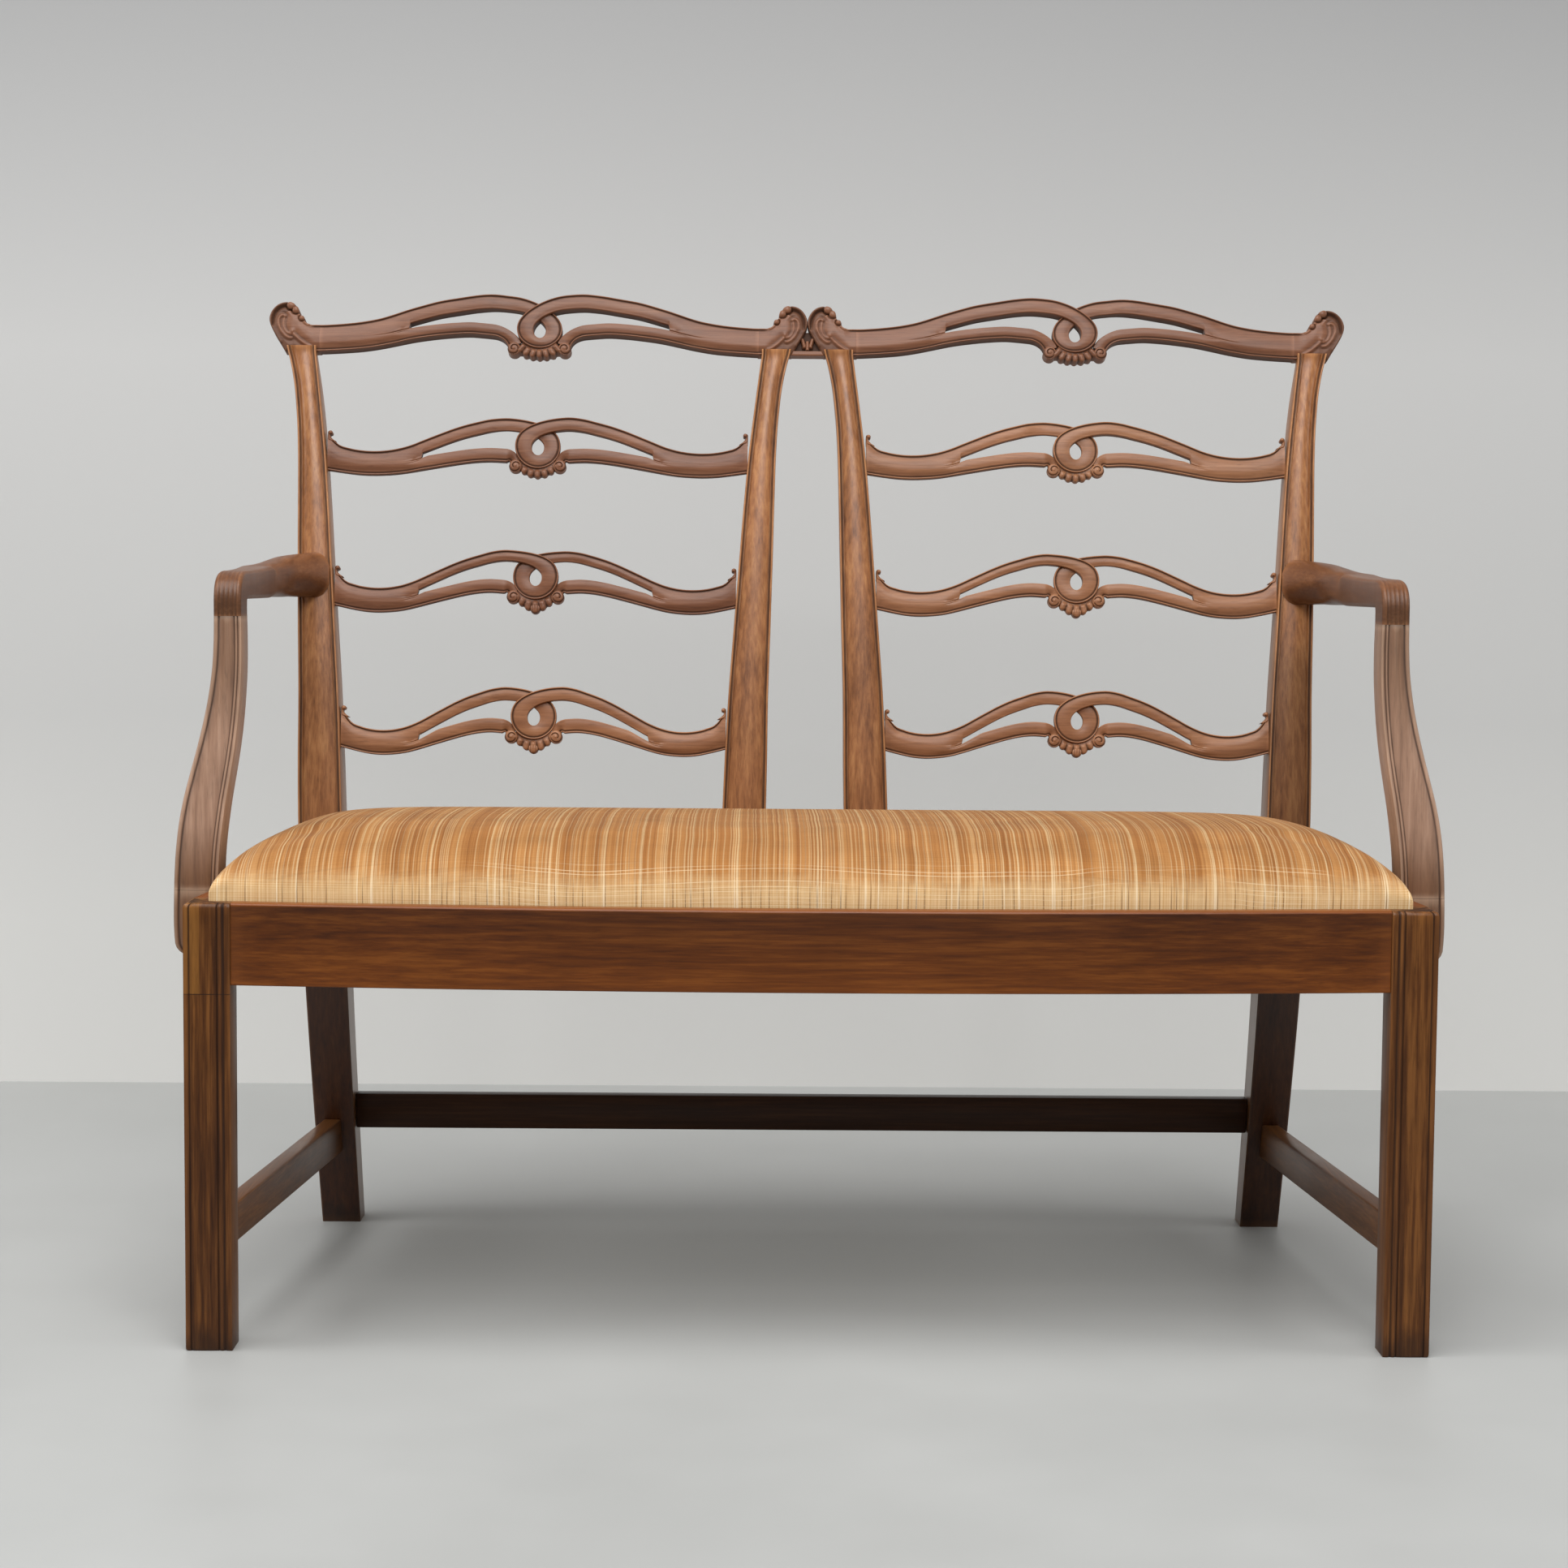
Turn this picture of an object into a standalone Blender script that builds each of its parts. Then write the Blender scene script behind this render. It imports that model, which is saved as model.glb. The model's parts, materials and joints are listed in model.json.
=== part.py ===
"""Double chair-back settee in carved hardwood, with a drop-in upholstered seat.

Metres, +Z up, +X to the sitter's left as seen from the front, the front towards -Y.
The drawing plane Y = 0 is the front face of the front legs; the last lines
move the whole piece so that its footprint is centred on the origin.
"""
import bpy
import bmesh
import math
from mathutils import Matrix, Vector

# Fits
JOINT_GAP = 0.0003          # clearance between pieces that meet
OVERRUN = 0.004             # how far a cutter or a tenon runs past a face

# Seat frame
FRONT_HALF_WIDTH = 0.568    # centre plane to the outer face of a front leg
SEAT_DEPTH = 0.478          # front face of a front leg to front face of a rear post
RAIL_TOP = 0.411
RAIL_HEIGHT = 0.075
RAIL_THICKNESS = 0.026
RAIL_SETBACK = 0.003        # rail face behind the leg face
FRONT_BOW = 0.026           # how far the front rail swells forward at the middle
RAIL_TENON_HEIGHT = 0.040
RAIL_TENON_THICKNESS = 0.009
RAIL_TENON_LENGTH = 0.015
REAR_TENON_INSET = 0.0054    # rear rail's tenon in front of its rear face
REAR_RAIL_PROUD = 0.014     # ledge of the rear rail in front of the posts
REAR_RAIL_THICKNESS = 0.050
LIP_FRONT = 0.016           # rim left round the drop-in seat
LIP_SIDE = 0.0165
SEAT_REBATE = 0.014         # depth of the recess for the drop-in seat

# Front legs
LEG_SIDE = 0.0425
LEG_CHAMFER = 0.007
LEG_ARRIS = 0.0008
REED_WIDTH = 0.0055
GROOVE_WIDTH = 0.003
GROOVE_DEPTH = 0.0014

# Rear posts and inner stiles
BACK_CENTRE = 0.2885        # centre plane to the centre of each chair back
CREST_HEIGHT = 0.5553       # the crest's eye above the seat rail
CREST_CENTRE = RAIL_TOP + CREST_HEIGHT
SLAT_RISE_SHARES = (0.2521, 0.5186, 0.7698)    # each slat's eye, of the crest's height
SLAT_CENTRES = tuple(RAIL_TOP + share * CREST_HEIGHT for share in SLAT_RISE_SHARES)
OPENING_LOW = 0.1995        # half the clear width between stiles at the rail
OPENING_TOP = 0.2395        # the same under the crest rail
STILE_WIDTH_LOW = 0.0465
STILE_WIDTH_TOP = 0.030
STILE_DEPTH_LOW = 0.035
STILE_DEPTH_TOP = 0.028
STILE_TENON = 0.018
REAR_FOOT_HALF_WIDTH = 0.519
POST_WIDTH_FOOT = 0.041
POST_DEPTH_FOOT = 0.040
POST_DEPTH_SEAT = 0.054
FOOT_SETBACK = 0.059        # foot behind the seat
CREST_SETBACK = 0.103       # crest centre behind the seat
LEAN_POWER_SHARE = 1.35
SPLAY_POWER_SHARE = 1.4
STILE_BEAD = 0.0036
STILE_BEAD_REACH = 0.00576   # edge to the far side of the groove
STILE_FLAT_SHARE = 0.4       # flat middle of the swell
STILE_GROOVE = 0.0016
OPENING_SHARES = ((0.0, 0.0), (0.27, 0.14), (0.475, 0.33), (0.74, 0.59), (0.82, 0.69), (0.90, 0.83),
                  (1.0, 1.0))
WIDTH_SHARES = ((0.0, 0.0), (0.12, 0.03), (0.30, 0.24), (0.47, 0.47), (0.74, 0.76), (0.88, 0.96), (1.0, 1.0))
STATION_SHARES = (0.0, 0.03, 0.16, 0.30, 0.43, 0.55, 0.66, 0.76, 0.86, 0.94, 1.0)
LEG_STATION_SHARES = (0.0, 0.35, 0.7, 1.0)

# Back slats
SLAT_PEAKS = (0.0345, 0.0315, 0.0345)      # eye to the top of the strand
SLAT_DIPS = (0.0125, 0.0100, 0.0035)       # eye down to the lowest stretch of the top edge
SLAT_BAND = 0.0262                         # height of the rail beyond the slots
SLAT_STRANDS = (0.0142, 0.0110, 0.0139)    # height of the upper strand of each row
SLAT_LOWER_STRANDS = (0.0158, 0.0141, 0.0152)
SLAT_SHELL_DROPS = (0.0360, 0.0360, 0.0315)  # eye down to the tip of the shell
SLAT_ARCH = 0.0140                         # eye down to the highest stretch of the lower edge
SLAT_THICKNESS = 0.0125
SLAT_SETBACK = 0.006
SLAT_END_SHARE = 0.999      # beyond it a point lies on the stile's face
SLAT_TENON_LENGTH = 0.010
SLAT_TENON_HEIGHT = 0.016
SLAT_TENON_THICKNESS = 0.005
SLOT_MOUTH = 0.0055
SLOT_REACH = 0.119          # eye to the outer end of a slot
RING_RADIUS = 0.0248
EYE_HALF_WIDTH = 0.0072
EYE_HALF_HEIGHT = 0.0102
EYE_RISE = 0.003
EYE_PINCH_SHARE = 0.35      # how far the eye narrows to its top
EYE_SIDES = 12
SLOT_STEPS = 7
VOLUTE_RADIUS = 0.0070
VOLUTE_OUT = 0.0232
VOLUTE_DOWN = 0.0212
SHELL_HALF_WIDTH = 0.0180
SHELL_DEPTH = 0.0012        # depth of its scallops
SHELL_STEPS = 6
SHELL_POWER_SHARE = 2.2
VOLUTE_TURN_SHARES = (-0.42, -0.25, 0.0, 0.2)
VOLUTE_FLOOR_SHARE = 0.8
SLOT_START_SHARE = 0.11
TOP_SHARES = ((0.0, 0.84), (0.06, 0.93), (0.145, 1.0), (0.22, 0.955), (0.28, 0.87), (0.35, 0.76),
              (0.41, 0.64), (0.47, 0.50), (0.53, 0.355), (0.59, 0.21), (0.65, 0.10), (0.71, 0.03),
              (0.78, 0.0), (0.84, 0.02), (0.90, 0.085), (0.95, 0.19), (0.978, 0.34), (1.0, 0.50))
LOW_SHARES = ((0.14, 0.95), (0.235, 1.0), (0.30, 0.94), (0.36, 0.83), (0.42, 0.69), (0.48, 0.54),
              (0.54, 0.385), (0.60, 0.23), (0.66, 0.10), (0.73, 0.02), (0.79, 0.0), (0.85, 0.04),
              (0.91, 0.14), (1.0, 0.33))

# Crest rails
CREST_PEAK = 0.0388
CREST_DIP = -0.0030         # above the eye: the crest's top edge never dips below it
CREST_DROP = 0.0262         # eye down to the seat on the stiles
CREST_ARCH = 0.0060
CREST_THICKNESS = 0.020
CREST_TENON_HEIGHT = 0.013
CREST_TENON_WIDTH = 0.016
CREST_TENON_THICKNESS = 0.009
CREST_TENON_INSET = 0.005
CREST_STRAND = 0.0158
CREST_LOWER_STRAND = 0.0130
CREST_SHELL_DROP = 0.0315
CREST_VOLUTE_OUT = 0.0272
EAR_RISE = 0.0285
EAR_REACH_OUTER = 0.2910
EAR_REACH_INNER = 0.2873
CREST_TOP_SHARES = ((0.0, 0.73), (0.08, 0.92), (0.14, 0.975), (0.193, 1.0), (0.27, 0.965), (0.36, 0.87),
                    (0.45, 0.76), (0.54, 0.59), (0.63, 0.40), (0.72, 0.21), (0.80, 0.105), (0.88, 0.04),
                    (0.96, 0.0))
CREST_LOW_SHARES = ((0.16, 0.84), (0.25, 0.95), (0.306, 1.0), (0.38, 0.96), (0.47, 0.85), (0.55, 0.71),
                    (0.63, 0.51), (0.70, 0.33), (0.78, 0.17), (0.87, 0.07), (0.97, 0.0))
EAR_SHARES = ((0.116, 0.54), (0.3125, 0.60), (0.4286, 0.71), (0.527, 0.86), (0.66, 0.974), (0.786, 1.0),
              (0.902, 0.933), (0.982, 0.794), (1.0, 0.64), (0.964, 0.46), (0.893, 0.30), (0.79, 0.15))
LINK_RECESS = 0.005
LINK_THICKNESS = 0.013
LINK_TOP_SHARE = 0.62

# Arm rests and their supports, right-hand side seen from above
ARM_FRONT = 0.107           # front face of the support below the knuckle
ARM_JOINT_RISE = 0.256      # joint of arm and support above the seat rail
ARM_JOINT_HEIGHT = RAIL_TOP + ARM_JOINT_RISE
ARM_TURN_RISE = 0.011
ARM_TURN_HEIGHT = ARM_JOINT_HEIGHT + ARM_TURN_RISE
ARM_TURN_BACK = 0.150
ARM_TURN_RADIUS = 0.004
ARM_FRONT_RISE = 0.0415      # arm top above the joint, at the knuckle
ARM_BACK_RISE = 0.0575       # arm top above the joint, at the post
ARM_UNDER_RISE = 0.0095      # arm underside above the joint, at the post
ARM_TOP_FRONT = ARM_JOINT_HEIGHT + ARM_FRONT_RISE
ARM_TOP_BACK = ARM_JOINT_HEIGHT + ARM_BACK_RISE
ARM_BOTTOM_BACK = ARM_JOINT_HEIGHT + ARM_UNDER_RISE
ARM_SWELL_INNER = 0.0095    # how far the arm swells outwards behind the knuckle
ARM_SWELL_OUTER = 0.0187
ARM_ROUND_SHARE = 0.16
ARM_MIDDLE_ROUND_SHARE = 0.20
ARM_POST_INSET = 0.0015     # arm end inside the post's edges
ARM_NECK_SHARE = 0.84
ARM_NECK_POWER_SHARE = 0.8
ARM_RISE_POWER = 3
ARM_TURN_SHARES = (0.0, 0.3, 0.55, 0.78, 1.0)
ARM_STATION_SHARES = (0.93, 0.84, 0.72, 0.55, 0.32, 0.12)
ARM_ELBOW_SHARES = ((0.0, 0.0), (0.12, 0.20), (0.32, 0.55), (0.55, 0.93), (0.72, 1.0), (0.84, 0.97),
                    (0.93, 0.80), (1.0, 0.0))
ARM_INNER_SHARES = ((0.0, 0.0), (0.12, 0.22), (0.32, 0.60), (0.55, 1.0), (0.72, 0.92), (0.84, 0.30))
SUPPORT_DEPTH_TOP = 0.039
SUPPORT_DEPTH_FOOT = 0.048
SUPPORT_FOOT_FRONT = 0.098
SUPPORT_FOOT_DROP = 0.061
SUPPORT_FOOT = RAIL_TOP - SUPPORT_FOOT_DROP
SUPPORT_LAP = 0.0343        # thickness of the foot outside the side rail
SUPPORT_LEAN_IN = 0.0377    # how far the top stands inside the foot
SUPPORT_ROUND_SHARE = 0.14
SUPPORT_TAPER_POWER_SHARE = 0.7
SUPPORT_START_SHARE = 0.08
SUPPORT_STEPS = 12
SUPPORT_WIDTH_FOOT = 0.0413
SUPPORT_WIDTH_TOP = 0.0258
SUPPORT_SHARES = ((0.0, 0.95), (0.08, 1.0), (0.22, 0.99), (0.31, 0.95), (0.40, 0.86), (0.483, 0.717),
                  (0.568, 0.524), (0.653, 0.336), (0.738, 0.18), (0.823, 0.066), (0.909, 0.012), (1.0, 0.0))
SUPPORT_WIDTH_SHARES = ((0.0, 0.97), (0.08, 1.0), (0.31, 1.0), (0.40, 0.99), (0.483, 0.90), (0.568, 0.735),
                        (0.653, 0.53), (0.738, 0.32), (0.823, 0.16), (0.909, 0.06), (1.0, 0.0))
SUPPORT_TENON = 0.016
SUPPORT_TENON_LENGTH = 0.022

# Stretchers
SIDE_STRETCHER_LOW = 0.081
SIDE_STRETCHER_HEIGHT = 0.0365
SIDE_STRETCHER_THICKNESS = 0.018
SIDE_STRETCHER_INSET = 0.010
REAR_STRETCHER_LOW = 0.106
REAR_STRETCHER_HEIGHT = 0.037
REAR_STRETCHER_THICKNESS = 0.018
STRETCHER_TENON_LENGTH = 0.016
STRETCHER_TENON_HEIGHT = 0.020
STRETCHER_TENON_THICKNESS = 0.008

# Under the seat
BRACE_WIDTH = 0.048
BRACE_HEIGHT = 0.024
BLOCK_SIDE = 0.070
BLOCK_HEIGHT = 0.034
BLOCK_DROP = 0.006          # block below the ledge

# Screws
SCREW_RADIUS = 0.0022
SCREW_HEAD_RADIUS = 0.0045
SCREW_HEAD_HEIGHT = 0.0030
SCREW_SINK = 0.0050
BLOCK_SCREW_BITE = 0.012
BLOCK_SCREW_LONG_SHARES = (1 / 3, 2 / 3)
BLOCK_SCREW_HIGH_SHARES = (0.35, 0.65)
SUPPORT_SCREW_BITE = 0.018
ARM_SCREW_BITE = 0.024
SUPPORT_SCREW_SPACING = 0.030
SCREW_SIDES = 8

# Drop-in seat
SEAT_CLEARANCE = 0.0015
SEAT_BAR_THICKNESS = 0.018
SEAT_BAR_WIDTH = 0.042
SEAT_BAR_TENON = 0.012
SEAT_TONGUE = 0.006
WEB_THICKNESS = 0.0015
WEB_WIDTH = 0.050
WEB_LENGTHWISE = 3
WEB_CROSSWISE = 6
WEB_OVERLAP = 0.016         # webbing tacked on the bars
HESSIAN_THICKNESS = 0.001
COVER_THICKNESS = 0.0022
CROWN_RISE = 0.056          # top of the seat above the rail
CROWN_EDGE_RISE = 0.008
CROWN_TOP = RAIL_TOP + CROWN_RISE
CROWN_EDGE = RAIL_TOP + CROWN_EDGE_RISE
CROWN_LONG_SHARE = 9.0
CROWN_CROSS_SHARE = 6.0
CROWN_ROUND_SHARE = 0.23
CROWN_COLUMNS = 22
CROWN_ROWS = 10

# Derived heights
RAIL_BOTTOM = RAIL_TOP - RAIL_HEIGHT
LEDGE = RAIL_TOP - SEAT_REBATE
TENON_LOW = RAIL_BOTTOM + (LEDGE - RAIL_BOTTOM - RAIL_TENON_HEIGHT) / 2
CREST_RAKE = math.atan(LEAN_POWER_SHARE * CREST_SETBACK / (CREST_CENTRE - RAIL_TOP))
STILE_TOP = CREST_CENTRE - (CREST_DROP + JOINT_GAP) * math.cos(CREST_RAKE)
STILE_HEIGHTS = [RAIL_TOP + share * (STILE_TOP - RAIL_TOP) for share in STATION_SHARES]
LEG_HEIGHTS = [RAIL_BOTTOM * share for share in LEG_STATION_SHARES]

for stale in list(bpy.data.objects):
    bpy.data.objects.remove(stale, do_unlink=True)

settee = bpy.data.objects.new("settee", None)
bpy.context.collection.objects.link(settee)
seat_lift = bpy.data.objects.new("seat_lift", None)
seat_lift.parent = settee
bpy.context.collection.objects.link(seat_lift)


def make_material(name, colour, roughness, metallic=0.0):
    material = bpy.data.materials.new(name)
    material.use_nodes = True
    shader = material.node_tree.nodes["Principled BSDF"]
    shader.inputs["Base Color"].default_value = (*colour, 1.0)
    shader.inputs["Roughness"].default_value = roughness
    shader.inputs["Metallic"].default_value = metallic
    return material


BACK_WOOD = make_material("back_wood", (0.270, 0.105, 0.048), 0.38)
RAIL_WOOD = make_material("rail_wood", (0.125, 0.040, 0.012), 0.34)
LEG_WOOD = make_material("leg_wood", (0.105, 0.038, 0.013), 0.40)
SECONDARY_WOOD = make_material("secondary_wood", (0.420, 0.270, 0.130), 0.70)
STEEL = make_material("screw_steel", (0.300, 0.290, 0.270), 0.45, 0.9)
WEBBING = make_material("jute_webbing", (0.430, 0.320, 0.170), 0.90)
HESSIAN = make_material("hessian", (0.480, 0.370, 0.220), 0.92)
PADDING = make_material("padding", (0.620, 0.560, 0.440), 0.95)
COVER = make_material("striped_cover", (0.560, 0.310, 0.095), 0.85)


def curve_at(rows, u):
    """Value at u of the smooth curve through (place, value) rows."""
    last = len(rows) - 1
    u = min(max(u, rows[0][0]), rows[last][0])
    k = 0
    while k < last - 1 and u > rows[k + 1][0]:
        k += 1
    (u0, v0), (u1, v1) = rows[k], rows[k + 1]
    before = rows[max(k - 1, 0)]
    after = rows[min(k + 2, last)]
    slope0 = (v1 - before[1]) / (u1 - before[0])
    slope1 = (after[1] - v0) / (after[0] - u0)
    span = u1 - u0
    t = (u - u0) / span
    rise = t * t * (3 - 2 * t)
    return ((1 - rise) * v0 + rise * v1
            + span * (t * (1 - t) ** 2 * slope0 - t * t * (1 - t) * slope1))


def line_at(rows, u):
    """Value at u of the straight runs through (place, value) rows, carried on past both ends."""
    k = 0
    while k < len(rows) - 2 and u > rows[k + 1][0]:
        k += 1
    (u0, v0), (u1, v1) = rows[k], rows[k + 1]
    return v0 + (v1 - v0) * (u - u0) / (u1 - u0)


def mix(a, b, share):
    return a + (b - a) * share


def back_share(z):
    return max(0.0, (z - RAIL_TOP) / (STILE_TOP - RAIL_TOP))


def lean_at(z):
    """Front face of the posts and stiles at height z."""
    if z >= RAIL_BOTTOM:
        rise = max(0.0, z - RAIL_TOP) / (CREST_CENTRE - RAIL_TOP)
        return SEAT_DEPTH + CREST_SETBACK * rise ** LEAN_POWER_SHARE
    return SEAT_DEPTH + FOOT_SETBACK * ((RAIL_BOTTOM - z) / RAIL_BOTTOM) ** SPLAY_POWER_SHARE


POST_HEIGHTS = LEG_HEIGHTS + STILE_HEIGHTS
FRONT_ROWS = [(z, lean_at(z)) for z in POST_HEIGHTS]
OPENING_ROWS = [(z, mix(OPENING_LOW, OPENING_TOP, curve_at(OPENING_SHARES,
                                                           back_share(z)))) for z in STILE_HEIGHTS]


def width_at(z):
    if z < RAIL_TOP:
        return mix(POST_WIDTH_FOOT, STILE_WIDTH_LOW, z / RAIL_TOP)
    return mix(STILE_WIDTH_LOW, STILE_WIDTH_TOP, curve_at(WIDTH_SHARES, back_share(z)))


def opening_at(z):
    """Half the clear width between the stiles of one chair back."""
    return line_at(OPENING_ROWS, z)


def post_outer_at(z):
    if z < RAIL_TOP:
        seat_outer = BACK_CENTRE + OPENING_LOW + STILE_WIDTH_LOW
        return mix(REAR_FOOT_HALF_WIDTH, seat_outer, z / RAIL_TOP)
    return BACK_CENTRE + opening_at(z) + width_at(z)


INNER_ROWS = [(z, post_outer_at(z) - width_at(z)) for z in LEG_HEIGHTS + STILE_HEIGHTS]


def post_depth_at(z):
    if z < RAIL_BOTTOM:
        return mix(POST_DEPTH_FOOT, POST_DEPTH_SEAT, z / RAIL_BOTTOM)
    return mix(POST_DEPTH_SEAT, STILE_DEPTH_TOP, math.sqrt(back_share(z)))


def front_at(z):
    return line_at(FRONT_ROWS, z)


def post_inner_at(z):
    return line_at(INNER_ROWS, z)


def bow_at(x):
    """Front face of the front rail."""
    return RAIL_SETBACK - FRONT_BOW * (1 - (x / (FRONT_HALF_WIDTH - LEG_SIDE)) ** 2)


def side_face_at(y):
    """Outer face of a side rail, from the front leg to the rear post."""
    rear = post_outer_at(RAIL_BOTTOM) - RAIL_SETBACK
    front = FRONT_HALF_WIDTH - RAIL_SETBACK
    return mix(front, rear, (y - LEG_SIDE) / (SEAT_DEPTH - LEG_SIDE))


class Body:
    """Faces of one closed body, gathered before they become a mesh."""

    def __init__(self):
        self.points = []
        self.faces = []

    def rings(self, rings):
        start = len(self.points)
        count = len(rings[0])
        for ring in rings:
            self.points += [Vector(p) for p in ring]
        for r in range(len(rings) - 1):
            low = start + r * count
            for i in range(count):
                j = (i + 1) % count
                self.faces.append((low + i, low + j, low + count + j, low + count + i))
        self.faces.append(tuple(range(start + count - 1, start - 1, -1)))
        top = start + (len(rings) - 1) * count
        self.faces.append(tuple(range(top, top + count)))
        return self

    def block(self, x, y, z):
        """A box from pairs of limits; y may be a pair of functions of z."""
        rings = []
        for height in z:
            near, far = (side(height) if callable(side) else side for side in y)
            rings.append([(x[0], near, height), (x[1], near, height), (x[1], far, height), (x[0], far,
                                                                                            height)])
        return self.rings(rings)

    def cylinder(self, start, direction, sections):
        """A turned shape: sections of (distance, radius) along a direction."""
        axis = Vector(direction).normalized()
        turn = Vector((0, 0, 1)).rotation_difference(axis)
        rings = []
        for distance, radius in sections:
            centre = Vector(start) + axis * distance
            ring = []
            for k in range(SCREW_SIDES):
                angle = 2 * math.pi * (k + 0.5) / SCREW_SIDES
                ring.append(centre + turn @ Vector((radius * math.cos(angle), radius * math.sin(angle), 0)))
            rings.append(ring)
        return self.rings(rings)


def to_object(name, body, side=1, material=None):
    """Mesh object from a Body; side -1 mirrors it across the centre plane."""
    mesh = bpy.data.meshes.new(name)
    points = [(side * p[0], p[1], p[2]) for p in body.points]
    mesh.from_pydata(points, [], body.faces)
    bm = bmesh.new()
    bm.from_mesh(mesh)
    bmesh.ops.recalc_face_normals(bm, faces=bm.faces)
    bm.to_mesh(mesh)
    bm.free()
    made = bpy.data.objects.new(name, mesh)
    made.parent = settee
    bpy.context.collection.objects.link(made)
    if material:
        mesh.materials.append(material)
    return made


def combine(target, name, bodies, operation, side=1):
    """Boolean a group of separate helper bodies with a piece."""
    group = Body()
    for body in bodies:
        offset = len(group.points)
        group.points += body.points
        group.faces += [tuple(i + offset for i in face) for face in body.faces]
    helper = to_object(name, group, side)
    helper.hide_render = True
    helper.display_type = 'WIRE'
    modifier = target.modifiers.new(name, 'BOOLEAN')
    modifier.operation = operation
    modifier.solver = 'EXACT'
    modifier.use_self = len(bodies) > 1
    modifier.object = helper
    return helper


def piece(name, body, material, side=1, tenons=(), cuts=(), carries_seat=False):
    made = to_object(name, body, side, material)
    made.data.shade_smooth()
    made.data.set_sharp_from_angle(angle=math.radians(35))
    if tenons:
        combine(made, name + "_tenons", tenons, 'UNION', side)
    if cuts:
        combine(made, name + "_cuts", cuts, 'DIFFERENCE', side)
    if carries_seat:
        recess = made.modifiers.new("seat_recess", 'BOOLEAN')
        recess.operation = 'DIFFERENCE'
        recess.solver = 'EXACT'
        recess.object = seat_recess
    return made


def grown(limits, gap):
    return (limits[0] - gap, limits[1] + gap)


def tenon_block(x, y, z, gap=0.0):
    """A tenon, or with a gap the mortise that takes it."""
    return Body().block(grown(x, gap), grown(y, gap), grown(z, gap))


def plate_body(outlines, place_front, place_back):
    """A flat plate with openings: the first outline is the rim, the others are holes."""
    bm = bmesh.new()
    edges = []
    for outline in outlines:
        verts = [bm.verts.new((x, 0, h)) for x, h in outline]
        edges += [bm.edges.new((a, b)) for a, b in zip(verts, verts[1:] + verts[:1])]
    bmesh.ops.triangle_fill(bm, use_beauty=True, use_dissolve=False, edges=edges, normal=(0, -1, 0))
    grown_part = bmesh.ops.extrude_face_region(bm, geom=bm.faces[:])
    rear = {v for v in grown_part["geom"] if isinstance(v, bmesh.types.BMVert)}
    bm.verts.index_update()
    body = Body()
    body.points = [Vector(place_back(v.co.x, v.co.z) if v in rear else place_front(v.co.x, v.co.z))
                   for v in bm.verts]
    body.faces = [tuple(v.index for v in face.verts) for face in bm.faces]
    bm.free()
    return body


# Seat recess, shared by every piece that rims the drop-in seat
def recess_outline(clearance):
    """Plan of the recess, shrunk by a clearance."""
    front_corner = side_face_at(0) - LIP_SIDE - clearance
    steps = 12
    points = []
    for k in range(steps + 1):
        x = mix(-front_corner, front_corner, k / steps)
        reach = min(abs(x), FRONT_HALF_WIDTH - LEG_SIDE)
        points.append((x, bow_at(reach) + LIP_FRONT + clearance))
    rear = SEAT_DEPTH - clearance
    rear_corner = side_face_at(rear) - LIP_SIDE - clearance
    points += [(rear_corner, rear), (-rear_corner, rear)]
    return points


def prism(outline, low, high):
    return Body().rings([[(x, y, z) for x, y in outline] for z in (low, high)])


seat_recess = to_object("seat_recess", prism(recess_outline(0), LEDGE, RAIL_TOP + OVERRUN))
seat_recess.hide_render = True
seat_recess.display_type = 'WIRE'


# Tenons that two pieces share
def front_rail_tenon(gap=0.0):
    face = FRONT_HALF_WIDTH - LEG_SIDE
    y = RAIL_SETBACK + (RAIL_THICKNESS - RAIL_TENON_THICKNESS) / 3
    return tenon_block((face - OVERRUN, face + RAIL_TENON_LENGTH), (y, y + RAIL_TENON_THICKNESS),
                       (TENON_LOW, TENON_LOW + RAIL_TENON_HEIGHT), gap)


def side_rail_tenon(at_rear, gap=0.0):
    centre = side_face_at(SEAT_DEPTH if at_rear else LEG_SIDE) - RAIL_THICKNESS / 2
    x = (centre - RAIL_TENON_THICKNESS / 2, centre + RAIL_TENON_THICKNESS / 2)
    z = (TENON_LOW, TENON_LOW + RAIL_TENON_HEIGHT)
    if at_rear:
        return tenon_block(x, (SEAT_DEPTH - OVERRUN, SEAT_DEPTH + RAIL_TENON_LENGTH), z, gap)
    return tenon_block(x, (LEG_SIDE - RAIL_TENON_LENGTH, LEG_SIDE + OVERRUN), z, gap)


def rear_rail_tenon(gap=0.0):
    face = post_inner_at(RAIL_BOTTOM)
    rear = SEAT_DEPTH - REAR_RAIL_PROUD + REAR_RAIL_THICKNESS
    y = (rear - REAR_TENON_INSET - RAIL_TENON_THICKNESS, rear - REAR_TENON_INSET)
    return tenon_block((face - OVERRUN, face + RAIL_TENON_LENGTH), y,
                       (TENON_LOW, TENON_LOW + RAIL_TENON_HEIGHT), gap)


def stretcher_tenon_heights(low, height):
    start = low + (height - STRETCHER_TENON_HEIGHT) / 2
    return (start, start + STRETCHER_TENON_HEIGHT)


def side_stretcher_centre(y):
    rear_z = SIDE_STRETCHER_LOW + SIDE_STRETCHER_HEIGHT / 2
    rear = post_outer_at(rear_z)
    outer = mix(FRONT_HALF_WIDTH, rear, (y - LEG_SIDE) / (front_at(rear_z) - LEG_SIDE))
    return outer - SIDE_STRETCHER_INSET - SIDE_STRETCHER_THICKNESS / 2


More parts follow.
